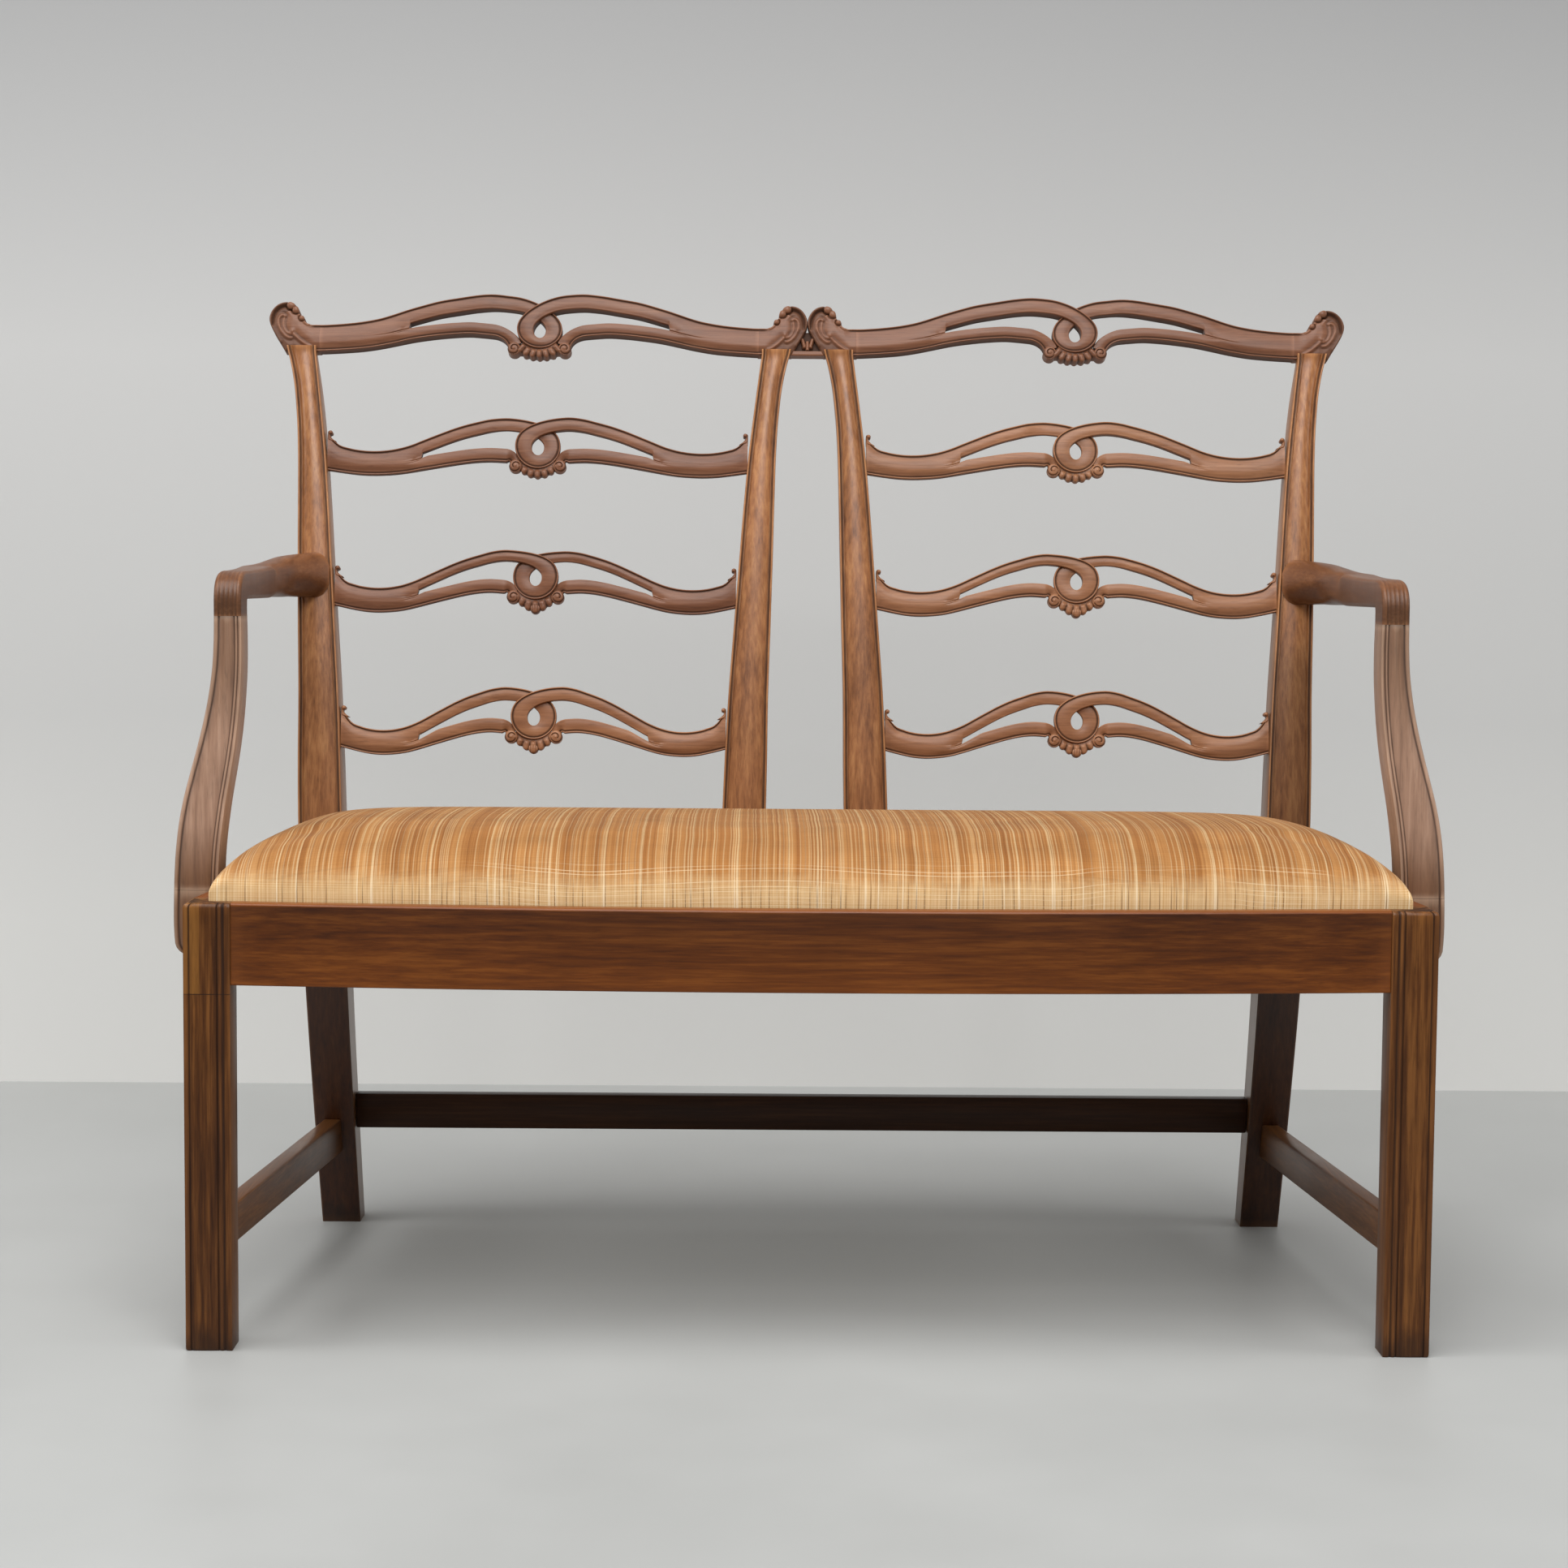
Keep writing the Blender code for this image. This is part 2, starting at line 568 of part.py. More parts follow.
def side_stretcher_tenon(at_rear, gap=0.0):
    z = stretcher_tenon_heights(SIDE_STRETCHER_LOW, SIDE_STRETCHER_HEIGHT)
    face = front_at(z[0]) if at_rear else LEG_SIDE
    centre = side_stretcher_centre(face)
    x = (centre - STRETCHER_TENON_THICKNESS / 2, centre + STRETCHER_TENON_THICKNESS / 2)
    if at_rear:
        return tenon_block(x, (front_at(z[1]) - OVERRUN, face + STRETCHER_TENON_LENGTH), z, gap)
    return tenon_block(x, (face - STRETCHER_TENON_LENGTH, face + OVERRUN), z, gap)


def rear_stretcher_middle():
    z = REAR_STRETCHER_LOW + REAR_STRETCHER_HEIGHT / 2
    return front_at(z) + post_depth_at(z) / 2


def rear_stretcher_tenon(gap=0.0):
    z = stretcher_tenon_heights(REAR_STRETCHER_LOW, REAR_STRETCHER_HEIGHT)
    face = post_inner_at(z[0])
    y = rear_stretcher_middle()
    return tenon_block((face - OVERRUN, face + STRETCHER_TENON_LENGTH),
                       (y - STRETCHER_TENON_THICKNESS / 2, y + STRETCHER_TENON_THICKNESS / 2), z, gap)


# Front legs, moulded on the two outside faces
def moulded_face(length):
    """Distances along a face and depths under it, corner to corner."""
    reed = REED_WIDTH
    points = [(reed, 0), (reed + GROOVE_WIDTH / 2, GROOVE_DEPTH), (reed + GROOVE_WIDTH, 0)]
    return points + [(length - at, depth) for at, depth in reversed(points)]


def front_leg(side, label):
    def section(z, chamfer):
        outer = FRONT_HALF_WIDTH
        inner = outer - LEG_SIDE
        ring = [(inner + LEG_ARRIS, 0, z)]
        ring += [(inner + at, depth, z) for at, depth in moulded_face(LEG_SIDE)]
        ring += [(outer - LEG_ARRIS, 0, z), (outer, LEG_ARRIS, z)]
        ring += [(outer - depth, at, z) for at, depth in moulded_face(LEG_SIDE)]
        ring += [(outer, LEG_SIDE, z), (inner + chamfer, LEG_SIDE, z), (inner, LEG_SIDE - chamfer, z)]
        ring += [(inner, LEG_ARRIS, z)]
        return ring
    run_out = RAIL_BOTTOM - LEG_CHAMFER
    levels = ((0, LEG_CHAMFER), (run_out - LEG_CHAMFER, LEG_CHAMFER), (run_out, LEG_ARRIS), (RAIL_TOP,
                                                                                             LEG_ARRIS))
    body = Body().rings([section(z, chamfer) for z, chamfer in levels])
    cuts = [front_rail_tenon(JOINT_GAP), side_rail_tenon(False, JOINT_GAP), side_stretcher_tenon(False,
                                                                                                 JOINT_GAP)]
    piece("front_leg_" + label, body, LEG_WOOD, side, cuts=cuts, carries_seat=True)


# Rails
def front_seat_rail():
    half = FRONT_HALF_WIDTH - LEG_SIDE - JOINT_GAP
    steps = 14
    rings = []
    for k in range(steps + 1):
        x = mix(-half, half, k / steps)
        face = bow_at(x)
        rings.append([(x, face, RAIL_BOTTOM), (x, face + RAIL_THICKNESS, RAIL_BOTTOM),
                      (x, face + RAIL_THICKNESS, RAIL_TOP), (x, face + RAIL_SETBACK, RAIL_TOP),
                      (x, face, RAIL_TOP - RAIL_SETBACK)])
    left = front_rail_tenon()
    left.points = [Vector((-p.x, p.y, p.z)) for p in left.points]
    cuts = [brace_tongue(False, JOINT_GAP)]
    for side in (-1, 1):
        cuts.append(block_screw_hole(side, False, 0))
    piece("front_seat_rail", Body().rings(rings), RAIL_WOOD, tenons=[front_rail_tenon(), left], cuts=cuts,
          carries_seat=True)


def side_seat_rail(side, label):
    rings = []
    for y in (LEG_SIDE + JOINT_GAP, SEAT_DEPTH - JOINT_GAP):
        outer = side_face_at(y)
        inner = outer - RAIL_THICKNESS
        rings.append([(inner, y, RAIL_BOTTOM), (outer, y, RAIL_BOTTOM), (outer, y, RAIL_TOP), (inner,
                                                                                               y, RAIL_TOP)])
    cuts = [support_screw_hole(k) for k in (0, 1)]
    cuts += [block_screw_hole(1, False, 1), block_screw_hole(1, True, 1)]
    piece("side_seat_rail_" + label, Body().rings(rings), RAIL_WOOD, side,
          tenons=[side_rail_tenon(False), side_rail_tenon(True)], cuts=cuts, carries_seat=True)


def rear_seat_rail():
    front = SEAT_DEPTH - REAR_RAIL_PROUD
    rear = front + REAR_RAIL_THICKNESS
    rings = []
    for z in (RAIL_BOTTOM, RAIL_TOP):
        end = post_inner_at(z) - JOINT_GAP
        rings.append([(-end, front, z), (end, front, z), (end, rear, z), (-end, rear, z)])
    left = rear_rail_tenon()
    left.points = [Vector((-p.x, p.y, p.z)) for p in left.points]
    cuts = [brace_tongue(True, JOINT_GAP)]
    for side in (-1, 1):
        cuts.append(mirrored(stile_tenon(JOINT_GAP), side))
        cuts.append(block_screw_hole(side, True, 0))
    piece("rear_seat_rail", Body().rings(rings), RAIL_WOOD, tenons=[rear_rail_tenon(), left], cuts=cuts,
          carries_seat=True)


def mirrored(body, side):
    body.points = [Vector((side * p.x, p.y, p.z)) for p in body.points]
    return body


# Brace from front to rear, level with the ledge
def brace_face(at_rear):
    if at_rear:
        return SEAT_DEPTH - REAR_RAIL_PROUD
    return bow_at(0) + RAIL_THICKNESS


def brace_tongue(at_rear, gap=0.0):
    x = (-BRACE_WIDTH / 3, BRACE_WIDTH / 3)
    z = (LEDGE - BRACE_HEIGHT * 3 / 4, LEDGE - BRACE_HEIGHT / 4)
    face = brace_face(at_rear)
    depth = RAIL_THICKNESS / 3
    if at_rear:
        return tenon_block(x, (face - OVERRUN, face + depth), z, gap)
    return tenon_block(x, (face - depth, face + OVERRUN), z, gap)


def centre_seat_brace():
    edge = bow_at(BRACE_WIDTH / 2) + RAIL_THICKNESS
    body = Body().block((-BRACE_WIDTH / 2, BRACE_WIDTH / 2), (edge + JOINT_GAP,
                                                              brace_face(True) - JOINT_GAP),
                        (LEDGE - BRACE_HEIGHT, LEDGE - JOINT_GAP))
    piece("centre_seat_brace", body, SECONDARY_WOOD, tenons=[brace_tongue(False), brace_tongue(True)])


# Corner blocks and their screws, drawn for the +X side
def block_heights():
    top = LEDGE - BLOCK_DROP
    return (top - BLOCK_HEIGHT, top)


def block_outline(at_rear):
    if at_rear:
        rail = SEAT_DEPTH - REAR_RAIL_PROUD - JOINT_GAP
        side = side_face_at(rail) - RAIL_THICKNESS - JOINT_GAP
        far = side_face_at(rail - BLOCK_SIDE) - RAIL_THICKNESS - JOINT_GAP
        return [(side - BLOCK_SIDE, rail), (side, rail), (far, rail - BLOCK_SIDE)]
    leg_inner = FRONT_HALF_WIDTH - LEG_SIDE - JOINT_GAP
    leg_back = LEG_SIDE + JOINT_GAP
    near = leg_inner - BLOCK_SIDE
    side = side_face_at(leg_back) - RAIL_THICKNESS - JOINT_GAP
    far = side_face_at(leg_back + BLOCK_SIDE) - RAIL_THICKNESS - JOINT_GAP
    return [(near, bow_at(near) + RAIL_THICKNESS + JOINT_GAP),
            (leg_inner, bow_at(leg_inner) + RAIL_THICKNESS + JOINT_GAP),
            (leg_inner, leg_back), (side, leg_back), (far, leg_back + BLOCK_SIDE)]


def block_screw_line(at_rear, which):
    """Start on the block's slant face, and direction, of one of its two screws."""
    outline = block_outline(at_rear)
    near = Vector((*outline[0], 0))
    far = Vector((*outline[-1], 0))
    low, high = block_heights()
    centre = mix(near, far, BLOCK_SCREW_LONG_SHARES[which])
    centre.z = mix(low, high, BLOCK_SCREW_HIGH_SHARES[which])
    if which == 1:
        return centre, Vector((1, 0, 0))
    return centre, Vector((0, 1 if at_rear else -1, 0))


def block_screw_reach(at_rear, which):
    """Distance from the slant face to the rail's face."""
    start, direction = block_screw_line(at_rear, which)
    if which == 1:
        return side_face_at(start.y) - RAIL_THICKNESS - start.x
    face = SEAT_DEPTH - REAR_RAIL_PROUD if at_rear else bow_at(start.x) + RAIL_THICKNESS
    return abs(face - start.y)


def screw_body(start, direction, length):
    """Head sunk below the surface at start, shank to the given length."""
    head_end = SCREW_SINK + SCREW_HEAD_HEIGHT
    return Body().cylinder(start, direction, [(SCREW_SINK, SCREW_HEAD_RADIUS), (head_end, SCREW_RADIUS),
                                              (length, SCREW_RADIUS)])


def screw_hole(start, direction, length):
    """Counterbore, then a hole that clears the shank and the tip."""
    wide = SCREW_HEAD_RADIUS + JOINT_GAP
    thin = SCREW_RADIUS + JOINT_GAP
    back = -SCREW_HEAD_RADIUS - OVERRUN
    return Body().cylinder(start, direction, [(back, wide), (SCREW_SINK + JOINT_GAP, wide),
                                              (SCREW_SINK + SCREW_HEAD_HEIGHT + JOINT_GAP, thin),
                                              (length + JOINT_GAP, thin)])


def block_screw_hole(side, at_rear, which):
    start, direction = block_screw_line(at_rear, which)
    length = block_screw_reach(at_rear, which) + BLOCK_SCREW_BITE
    return mirrored(screw_hole(start, direction, length), side)


def corner_block(side, label, at_rear):
    place = "rear" if at_rear else "front"
    body = prism(block_outline(at_rear), *block_heights())
    cuts = [block_screw_hole(1, at_rear, which) for which in (0, 1)]
    piece("corner_block_%s_%s" % (place, label), body, SECONDARY_WOOD, side, cuts=cuts)
    for which in (0, 1):
        start, direction = block_screw_line(at_rear, which)
        length = block_screw_reach(at_rear, which) + BLOCK_SCREW_BITE
        piece("block_screw_%s_%s_%d" % (place, label, which + 1), screw_body(start, direction, length),
              STEEL, side)


# Rear posts and inner stiles
def stile_section(left, right, depth, moulding):
    """Plan section from the front: a bead at each edge, a groove, and a broad swell between."""
    groove = STILE_GROOVE * moulding
    bead = STILE_BEAD
    middle = (left + right) / 2
    return [(left, depth), (left, groove), (left + bead / 2, groove / 4), (left + bead, groove),
            (left + STILE_BEAD_REACH, groove / 2), (mix(middle, left, STILE_FLAT_SHARE), 0),
            (mix(middle, right, STILE_FLAT_SHARE), 0), (right - STILE_BEAD_REACH, groove / 2),
            (right - bead, groove),
            (right - bead / 2, groove / 4), (right, groove), (right, depth)]


def upright_ring(z, left, right, depth, moulding):
    """One ring of a stile; the top ring lies square to the crest rail's slope."""
    ring = []
    rake = CREST_RAKE if z >= STILE_TOP - JOINT_GAP else 0.0
    for x, inward in stile_section(left, right, depth, moulding):
        ring.append((x, front_at(z) + inward * math.cos(rake), z - inward * math.sin(rake)))
    return ring


def crest_frame(x, rise, inward):
    """Point on a member that lies in the crest rail's sloping plane."""
    return Vector((x, front_at(CREST_CENTRE) + rise * math.sin(CREST_RAKE) + inward * math.cos(CREST_RAKE),
                   CREST_CENTRE + rise * math.cos(CREST_RAKE) - inward * math.sin(CREST_RAKE)))


def crest_tenon(inner_side, gap=0.0):
    """Tenon on a stile's top, in the crest rail; inner_side 1 is the outer post."""
    middle = BACK_CENTRE + inner_side * (opening_at(STILE_TOP) + width_at(STILE_TOP) / 2)
    x = grown((middle - CREST_TENON_WIDTH / 2, middle + CREST_TENON_WIDTH / 2), gap)
    inward = grown((CREST_TENON_INSET, CREST_TENON_INSET + CREST_TENON_THICKNESS), gap)
    rings = []
    for rise in grown((-CREST_DROP - OVERRUN, -CREST_DROP + CREST_TENON_HEIGHT), gap):
        rings.append([crest_frame(x[0], rise, inward[0]), crest_frame(x[1], rise, inward[0]),
                      crest_frame(x[1], rise, inward[1]), crest_frame(x[0], rise, inward[1])])
    return Body().rings(rings)


def stile_tenon(gap=0.0):
    """Tenon on an inner stile's foot, in the rear rail."""
    middle = BACK_CENTRE - OPENING_LOW - STILE_WIDTH_LOW / 2
    x = (middle - STILE_WIDTH_LOW / 4, middle + STILE_WIDTH_LOW / 4)
    y = (SEAT_DEPTH + STILE_DEPTH_LOW / 3, SEAT_DEPTH + STILE_DEPTH_LOW * 2 / 3)
    return tenon_block(x, y, (RAIL_TOP - STILE_TENON, RAIL_TOP + OVERRUN), gap)


def slat_frame(row):
    """Local frame of a slat: x along it, rise up its sloping face, inward through it."""
    centre = SLAT_CENTRES[row]
    rise_share = (centre - RAIL_TOP) / (CREST_CENTRE - RAIL_TOP)
    rake = math.atan(LEAN_POWER_SHARE * CREST_SETBACK / (CREST_CENTRE - RAIL_TOP)
                     * rise_share ** (LEAN_POWER_SHARE - 1))

    def place(x, rise, inward):
        depth = SLAT_SETBACK + inward
        return Vector((x, front_at(centre) + rise * math.sin(rake) + depth * math.cos(rake),
                       centre + rise * math.cos(rake) - depth * math.sin(rake)))
    return place


def slat_tenon(row, end, gap=0.0):
    """Tenon at a slat's end; end 1 points away from the centre plane."""
    place = slat_frame(row)
    middle = -SLAT_DIPS[row] - SLAT_BAND / 2
    rise = grown((middle - SLAT_TENON_HEIGHT / 2, middle + SLAT_TENON_HEIGHT / 2), gap)
    inward_start = (SLAT_THICKNESS - SLAT_TENON_THICKNESS) / 2
    inward = grown((inward_start, inward_start + SLAT_TENON_THICKNESS), gap)
    face = opening_at(SLAT_CENTRES[row] + middle)
    reach = grown((face - OVERRUN, face + SLAT_TENON_LENGTH), gap)
    rings = []
    for out in reach:
        x = BACK_CENTRE + end * out
        rings.append([place(x, rise[0], inward[0]), place(x, rise[1], inward[0]),
                      place(x, rise[1], inward[1]), place(x, rise[0], inward[1])])
    return Body().rings(rings)


def inner_stile(side, label):
    rings = []
    for z in STILE_HEIGHTS:
        start = RAIL_TOP + JOINT_GAP if z == STILE_HEIGHTS[0] else z
        right = BACK_CENTRE - opening_at(z)
        moulding = min(1.0, back_share(z) / STATION_SHARES[1])
        depth = mix(STILE_DEPTH_LOW, STILE_DEPTH_TOP, back_share(z))
        rings.append(upright_ring(start, right - width_at(z), right, depth, moulding))
    cuts = [slat_tenon(row, -1, JOINT_GAP) for row in range(len(SLAT_CENTRES))]
    piece("inner_stile_" + label, Body().rings(rings), BACK_WOOD, side,
          tenons=[crest_tenon(-1), stile_tenon()], cuts=cuts)


def rear_post(side, label):
    rings = []
    for z in POST_HEIGHTS:
        outer = post_outer_at(z)
        moulding = min(1.0, back_share(z) / STATION_SHARES[1])
        rings.append(upright_ring(z, outer - width_at(z), outer, post_depth_at(z), moulding))
    cuts = [slat_tenon(row, 1, JOINT_GAP) for row in range(len(SLAT_CENTRES))]
    cuts += [side_rail_tenon(True, JOINT_GAP), rear_rail_tenon(JOINT_GAP),
             side_stretcher_tenon(True, JOINT_GAP), rear_stretcher_tenon(JOINT_GAP), arm_screw_hole()]
    piece("rear_post_" + label, Body().rings(rings), BACK_WOOD, side, tenons=[crest_tenon(1)], cuts=cuts)


# Pierced slats and crest rails
def interlace_holes(half, rise, upper_edge, lower_edge):
    """The eye of the loop, lifted by a rise, and the slot on each side of it, between two edges."""
    eye = []
    for k in range(EYE_SIDES):
        angle = 2 * math.pi * k / EYE_SIDES
        pinch = 1 - EYE_PINCH_SHARE * max(0.0, math.sin(angle)) ** 2
        eye.append((EYE_HALF_WIDTH * pinch * math.cos(angle), rise + EYE_HALF_HEIGHT * math.sin(angle)))
    slots = []
    for side in (-1, 1):
        upper = []
        lower = []
        for k in range(SLOT_STEPS + 1):
            share = mix(SLOT_START_SHARE, SLOT_REACH / half, k / SLOT_STEPS)
            high = upper_edge(share)
            upper.append((share * half, high))
            lower.append((share * half, min(lower_edge(share), high - SLOT_MOUTH)))
        for edge in (upper, lower):
            edge[0] = (math.sqrt(RING_RADIUS ** 2 - (edge[0][1] - rise) ** 2), edge[0][1])
        waist = (upper[0][1] + lower[0][1]) / 2
        bulge = (math.sqrt(RING_RADIUS ** 2 - (waist - rise) ** 2), waist)
        outline = upper + lower[::-1] + [bulge]
        slots.append([(side * x, z) for x, z in outline])
    return [eye] + slots


def shell_edge(drop, volute_out):
    """Lower edge of the shell and the volute, from the centre line outwards."""
    floor = -VOLUTE_DOWN - VOLUTE_RADIUS * VOLUTE_FLOOR_SHARE
    points = []
    for k in range(SHELL_STEPS + 1):
        share = k / SHELL_STEPS
        scallop = SHELL_DEPTH * (k % 2)
        points.append((SHELL_HALF_WIDTH * share, mix(-drop, floor, share ** SHELL_POWER_SHARE) + scallop))
    for turn in VOLUTE_TURN_SHARES:
        angle = math.pi * turn
        points.append((volute_out + VOLUTE_RADIUS * math.cos(angle),
                       -VOLUTE_DOWN + VOLUTE_RADIUS * math.sin(angle)))
    return points


def mirrored_outline(right_half):
    """Whole rim from a right half that starts on the lower centre line and ends on the upper one."""
    left = [(-x, z) for x, z in reversed(right_half) if abs(x) > JOINT_GAP / 10]
    return right_half + left


def back_slat(side, label, row, name):
    centre = SLAT_CENTRES[row]
    half = opening_at(centre)
    peak = SLAT_PEAKS[row]
    dip = -SLAT_DIPS[row]
    low_dip = dip - SLAT_BAND

    def top_at(share):
        return mix(dip, peak, curve_at(TOP_SHARES, share))

    def low_at(share):
        return mix(low_dip, -SLAT_ARCH, curve_at(LOW_SHARES, share))
    rim = shell_edge(SLAT_SHELL_DROPS[row], VOLUTE_OUT)
    rim += [(share * half, low_at(share)) for share, _ in LOW_SHARES]
    rim += [(share * half, top_at(share)) for share, _ in reversed(TOP_SHARES)]
    place = slat_frame(row)
    ends = half * SLAT_END_SHARE

    def fitted(x, rise, inward):
        point = place(BACK_CENTRE + x, rise, inward)
        if abs(x) > ends:
            point.x = BACK_CENTRE + math.copysign(opening_at(point.z) - JOINT_GAP, x)
        return point
    holes = interlace_holes(half, EYE_RISE, lambda share: top_at(share) - SLAT_STRANDS[row],
                            lambda share: low_at(share) + SLAT_LOWER_STRANDS[row])
    body = plate_body([mirrored_outline(rim)] + holes,
                      lambda x, h: fitted(x, h, 0.0), lambda x, h: fitted(x, h, SLAT_THICKNESS))
    piece("back_slat_%s_%s" % (label, name), body, BACK_WOOD, side, tenons=[slat_tenon(row, -1),
                                                                            slat_tenon(row, 1)])


def ear_points(reach, seat_edge):
    """Outline of a crest ear, from the neck round to the outer edge of the stile."""
    width = reach - OPENING_TOP
    height = EAR_RISE + CREST_DROP
    points = [(OPENING_TOP + x * width, z * height - CREST_DROP) for x, z in EAR_SHARES]
    return points + [(seat_edge, -CREST_DROP)]


def crest_rail(side, label):
    half = OPENING_TOP

    def top_at(share):
        return mix(-CREST_DIP, CREST_PEAK, curve_at(CREST_TOP_SHARES, share))

    def low_at(share):
        return mix(-CREST_DROP, -CREST_ARCH, curve_at(CREST_LOW_SHARES, share))
    seat_edge = opening_at(STILE_TOP) + width_at(STILE_TOP)
    low = [(share * half, low_at(share)) for share, _ in CREST_LOW_SHARES]
    top = [(share * half, top_at(share)) for share, _ in reversed(CREST_TOP_SHARES)]
    shell = shell_edge(CREST_SHELL_DROP, CREST_VOLUTE_OUT)
    outer = shell + low + ear_points(EAR_REACH_OUTER, seat_edge)[::-1] + top
    inner = shell + low + ear_points(EAR_REACH_INNER, seat_edge)[::-1] + top
    rim = outer + [(-x, z) for x, z in reversed(inner) if abs(x) > JOINT_GAP / 10]
    holes = interlace_holes(half, 0, lambda share: top_at(share) - CREST_STRAND,
                            lambda share: low_at(share) + CREST_LOWER_STRAND)
    body = plate_body([rim] + holes,
                      lambda x, h: crest_frame(BACK_CENTRE + x, h, 0.0),
                      lambda x, h: crest_frame(BACK_CENTRE + x, h, CREST_THICKNESS))
    piece("crest_rail_" + label, body, BACK_WOOD, side,
          cuts=[crest_tenon(1, JOINT_GAP), crest_tenon(-1, JOINT_GAP)])


def crest_link():
    """Block that fills the gap between the two inner ears."""
    seat_edge = opening_at(STILE_TOP) + width_at(STILE_TOP)
    ear = ear_points(EAR_REACH_INNER, seat_edge)
    limit = LINK_TOP_SHARE * (EAR_RISE + CREST_DROP) - CREST_DROP
    widest = max(range(len(ear)), key=lambda k: ear[k][0])
    flank = [(BACK_CENTRE - x - JOINT_GAP, z) for x, z in ear[widest + 1:] if z < limit]
    right = flank[::-1]
    outline = right + [(-x, z) for x, z in reversed(right)]
    body = Body().rings([[crest_frame(x, h, inward) for x, h in outline]
                         for inward in (LINK_RECESS, LINK_RECESS + LINK_THICKNESS)])
    piece("crest_link", body, BACK_WOOD)


# Arm rests and supports, drawn for the +X side
def rounded_section(corners, softness):
    """Eight-sided section from (low, high) pairs in two directions."""
    (a0, a1), (b0, b1) = corners
    ra = (a1 - a0) * softness
    rb = (b1 - b0) * softness
    return [(a0 + ra, b0), (a1 - ra, b0), (a1, b0 + rb), (a1, b1 - rb),
            (a1 - ra, b1), (a0 + ra, b1), (a0, b1 - rb), (a0, b0 + rb)]


def support_foot_outer():
    return side_face_at(SUPPORT_FOOT_FRONT) + SUPPORT_LAP


def arm_knuckle_x():
    outer = support_foot_outer() - SUPPORT_LEAN_IN
    return (outer - SUPPORT_WIDTH_TOP, outer)


def arm_rest(side, label):
    middle_z = (ARM_TOP_BACK + ARM_BOTTOM_BACK) / 2
    post_face = front_at(middle_z)
    inner_back = post_inner_at(middle_z) + ARM_POST_INSET
    outer_back = post_outer_at(middle_z) - ARM_POST_INSET
    rings = []
    end = rounded_section(((inner_back, outer_back), (ARM_BOTTOM_BACK, ARM_TOP_BACK)), ARM_ROUND_SHARE)
    rings.append([(x, front_at(z) - JOINT_GAP, z) for x, z in end])
    front_x = arm_knuckle_x()
    elbow = front_x[0] + ARM_SWELL_INNER
    for share in ARM_STATION_SHARES:
        y = mix(ARM_TURN_BACK, post_face, share)
        rise = share ** ARM_RISE_POWER
        if share > ARM_NECK_SHARE:
            blend = (share - ARM_NECK_SHARE) / (1 - ARM_NECK_SHARE)
            inner = mix(elbow - ARM_SWELL_INNER / 2, inner_back, blend ** ARM_NECK_POWER_SHARE)
        else:
            inner = mix(front_x[0], elbow, curve_at(ARM_INNER_SHARES, share))
        outer = front_x[1] + ARM_SWELL_OUTER * curve_at(ARM_ELBOW_SHARES[:-1], share)
        low = mix(ARM_TURN_HEIGHT + ARM_TURN_RADIUS, ARM_BOTTOM_BACK, share)
        high = mix(ARM_TOP_FRONT, ARM_TOP_BACK, rise)
        section = rounded_section(((inner, outer), (low, high)), ARM_MIDDLE_ROUND_SHARE)
        rings.append([(x, y, z) for x, z in section])
    reach_up = ARM_TOP_FRONT - ARM_TURN_HEIGHT
    reach_front = ARM_TURN_BACK - ARM_FRONT
    for turn_share in ARM_TURN_SHARES:
        angle = turn_share * math.pi / 2
        outer_reach = math.hypot(math.cos(angle) * reach_up, math.sin(angle) * reach_front)
        section = rounded_section((front_x, (ARM_TURN_RADIUS, outer_reach)), ARM_ROUND_SHARE)
        rings.append([(x, ARM_TURN_BACK - r * math.sin(angle), ARM_TURN_HEIGHT + r * math.cos(angle))
                      for x, r in section])
    foot = rounded_section((front_x, (ARM_TURN_RADIUS, reach_front)), ARM_ROUND_SHARE)
    rings.append([(x, ARM_TURN_BACK - r, ARM_JOINT_HEIGHT) for x, r in foot])
    piece("arm_rest_" + label, Body().rings(rings), BACK_WOOD, side,
          cuts=[support_tenon(JOINT_GAP), arm_screw_hole()])


def support_tenon(gap=0.0):
    x0, x1 = arm_knuckle_x()
    middle = (x0 + x1) / 2
    y = ARM_FRONT + SUPPORT_DEPTH_TOP / 2
    return tenon_block((middle - SUPPORT_TENON / 2, middle + SUPPORT_TENON / 2),
                       (y - SUPPORT_TENON / 2, y + SUPPORT_TENON / 2),
                       (ARM_JOINT_HEIGHT - OVERRUN, ARM_JOINT_HEIGHT + SUPPORT_TENON_LENGTH), gap)


def support_notch():
    """Notch that laps the support's foot over the side rail."""
    near = SUPPORT_FOOT_FRONT - OVERRUN
    far = SUPPORT_FOOT_FRONT + SUPPORT_DEPTH_FOOT + OVERRUN
    inner = side_face_at(far) - RAIL_THICKNESS
    outline = [(inner, near), (side_face_at(near) + JOINT_GAP, near), (side_face_at(far) + JOINT_GAP, far),
               (inner, far)]
    return prism(outline, SUPPORT_FOOT - OVERRUN, RAIL_TOP + JOINT_GAP)


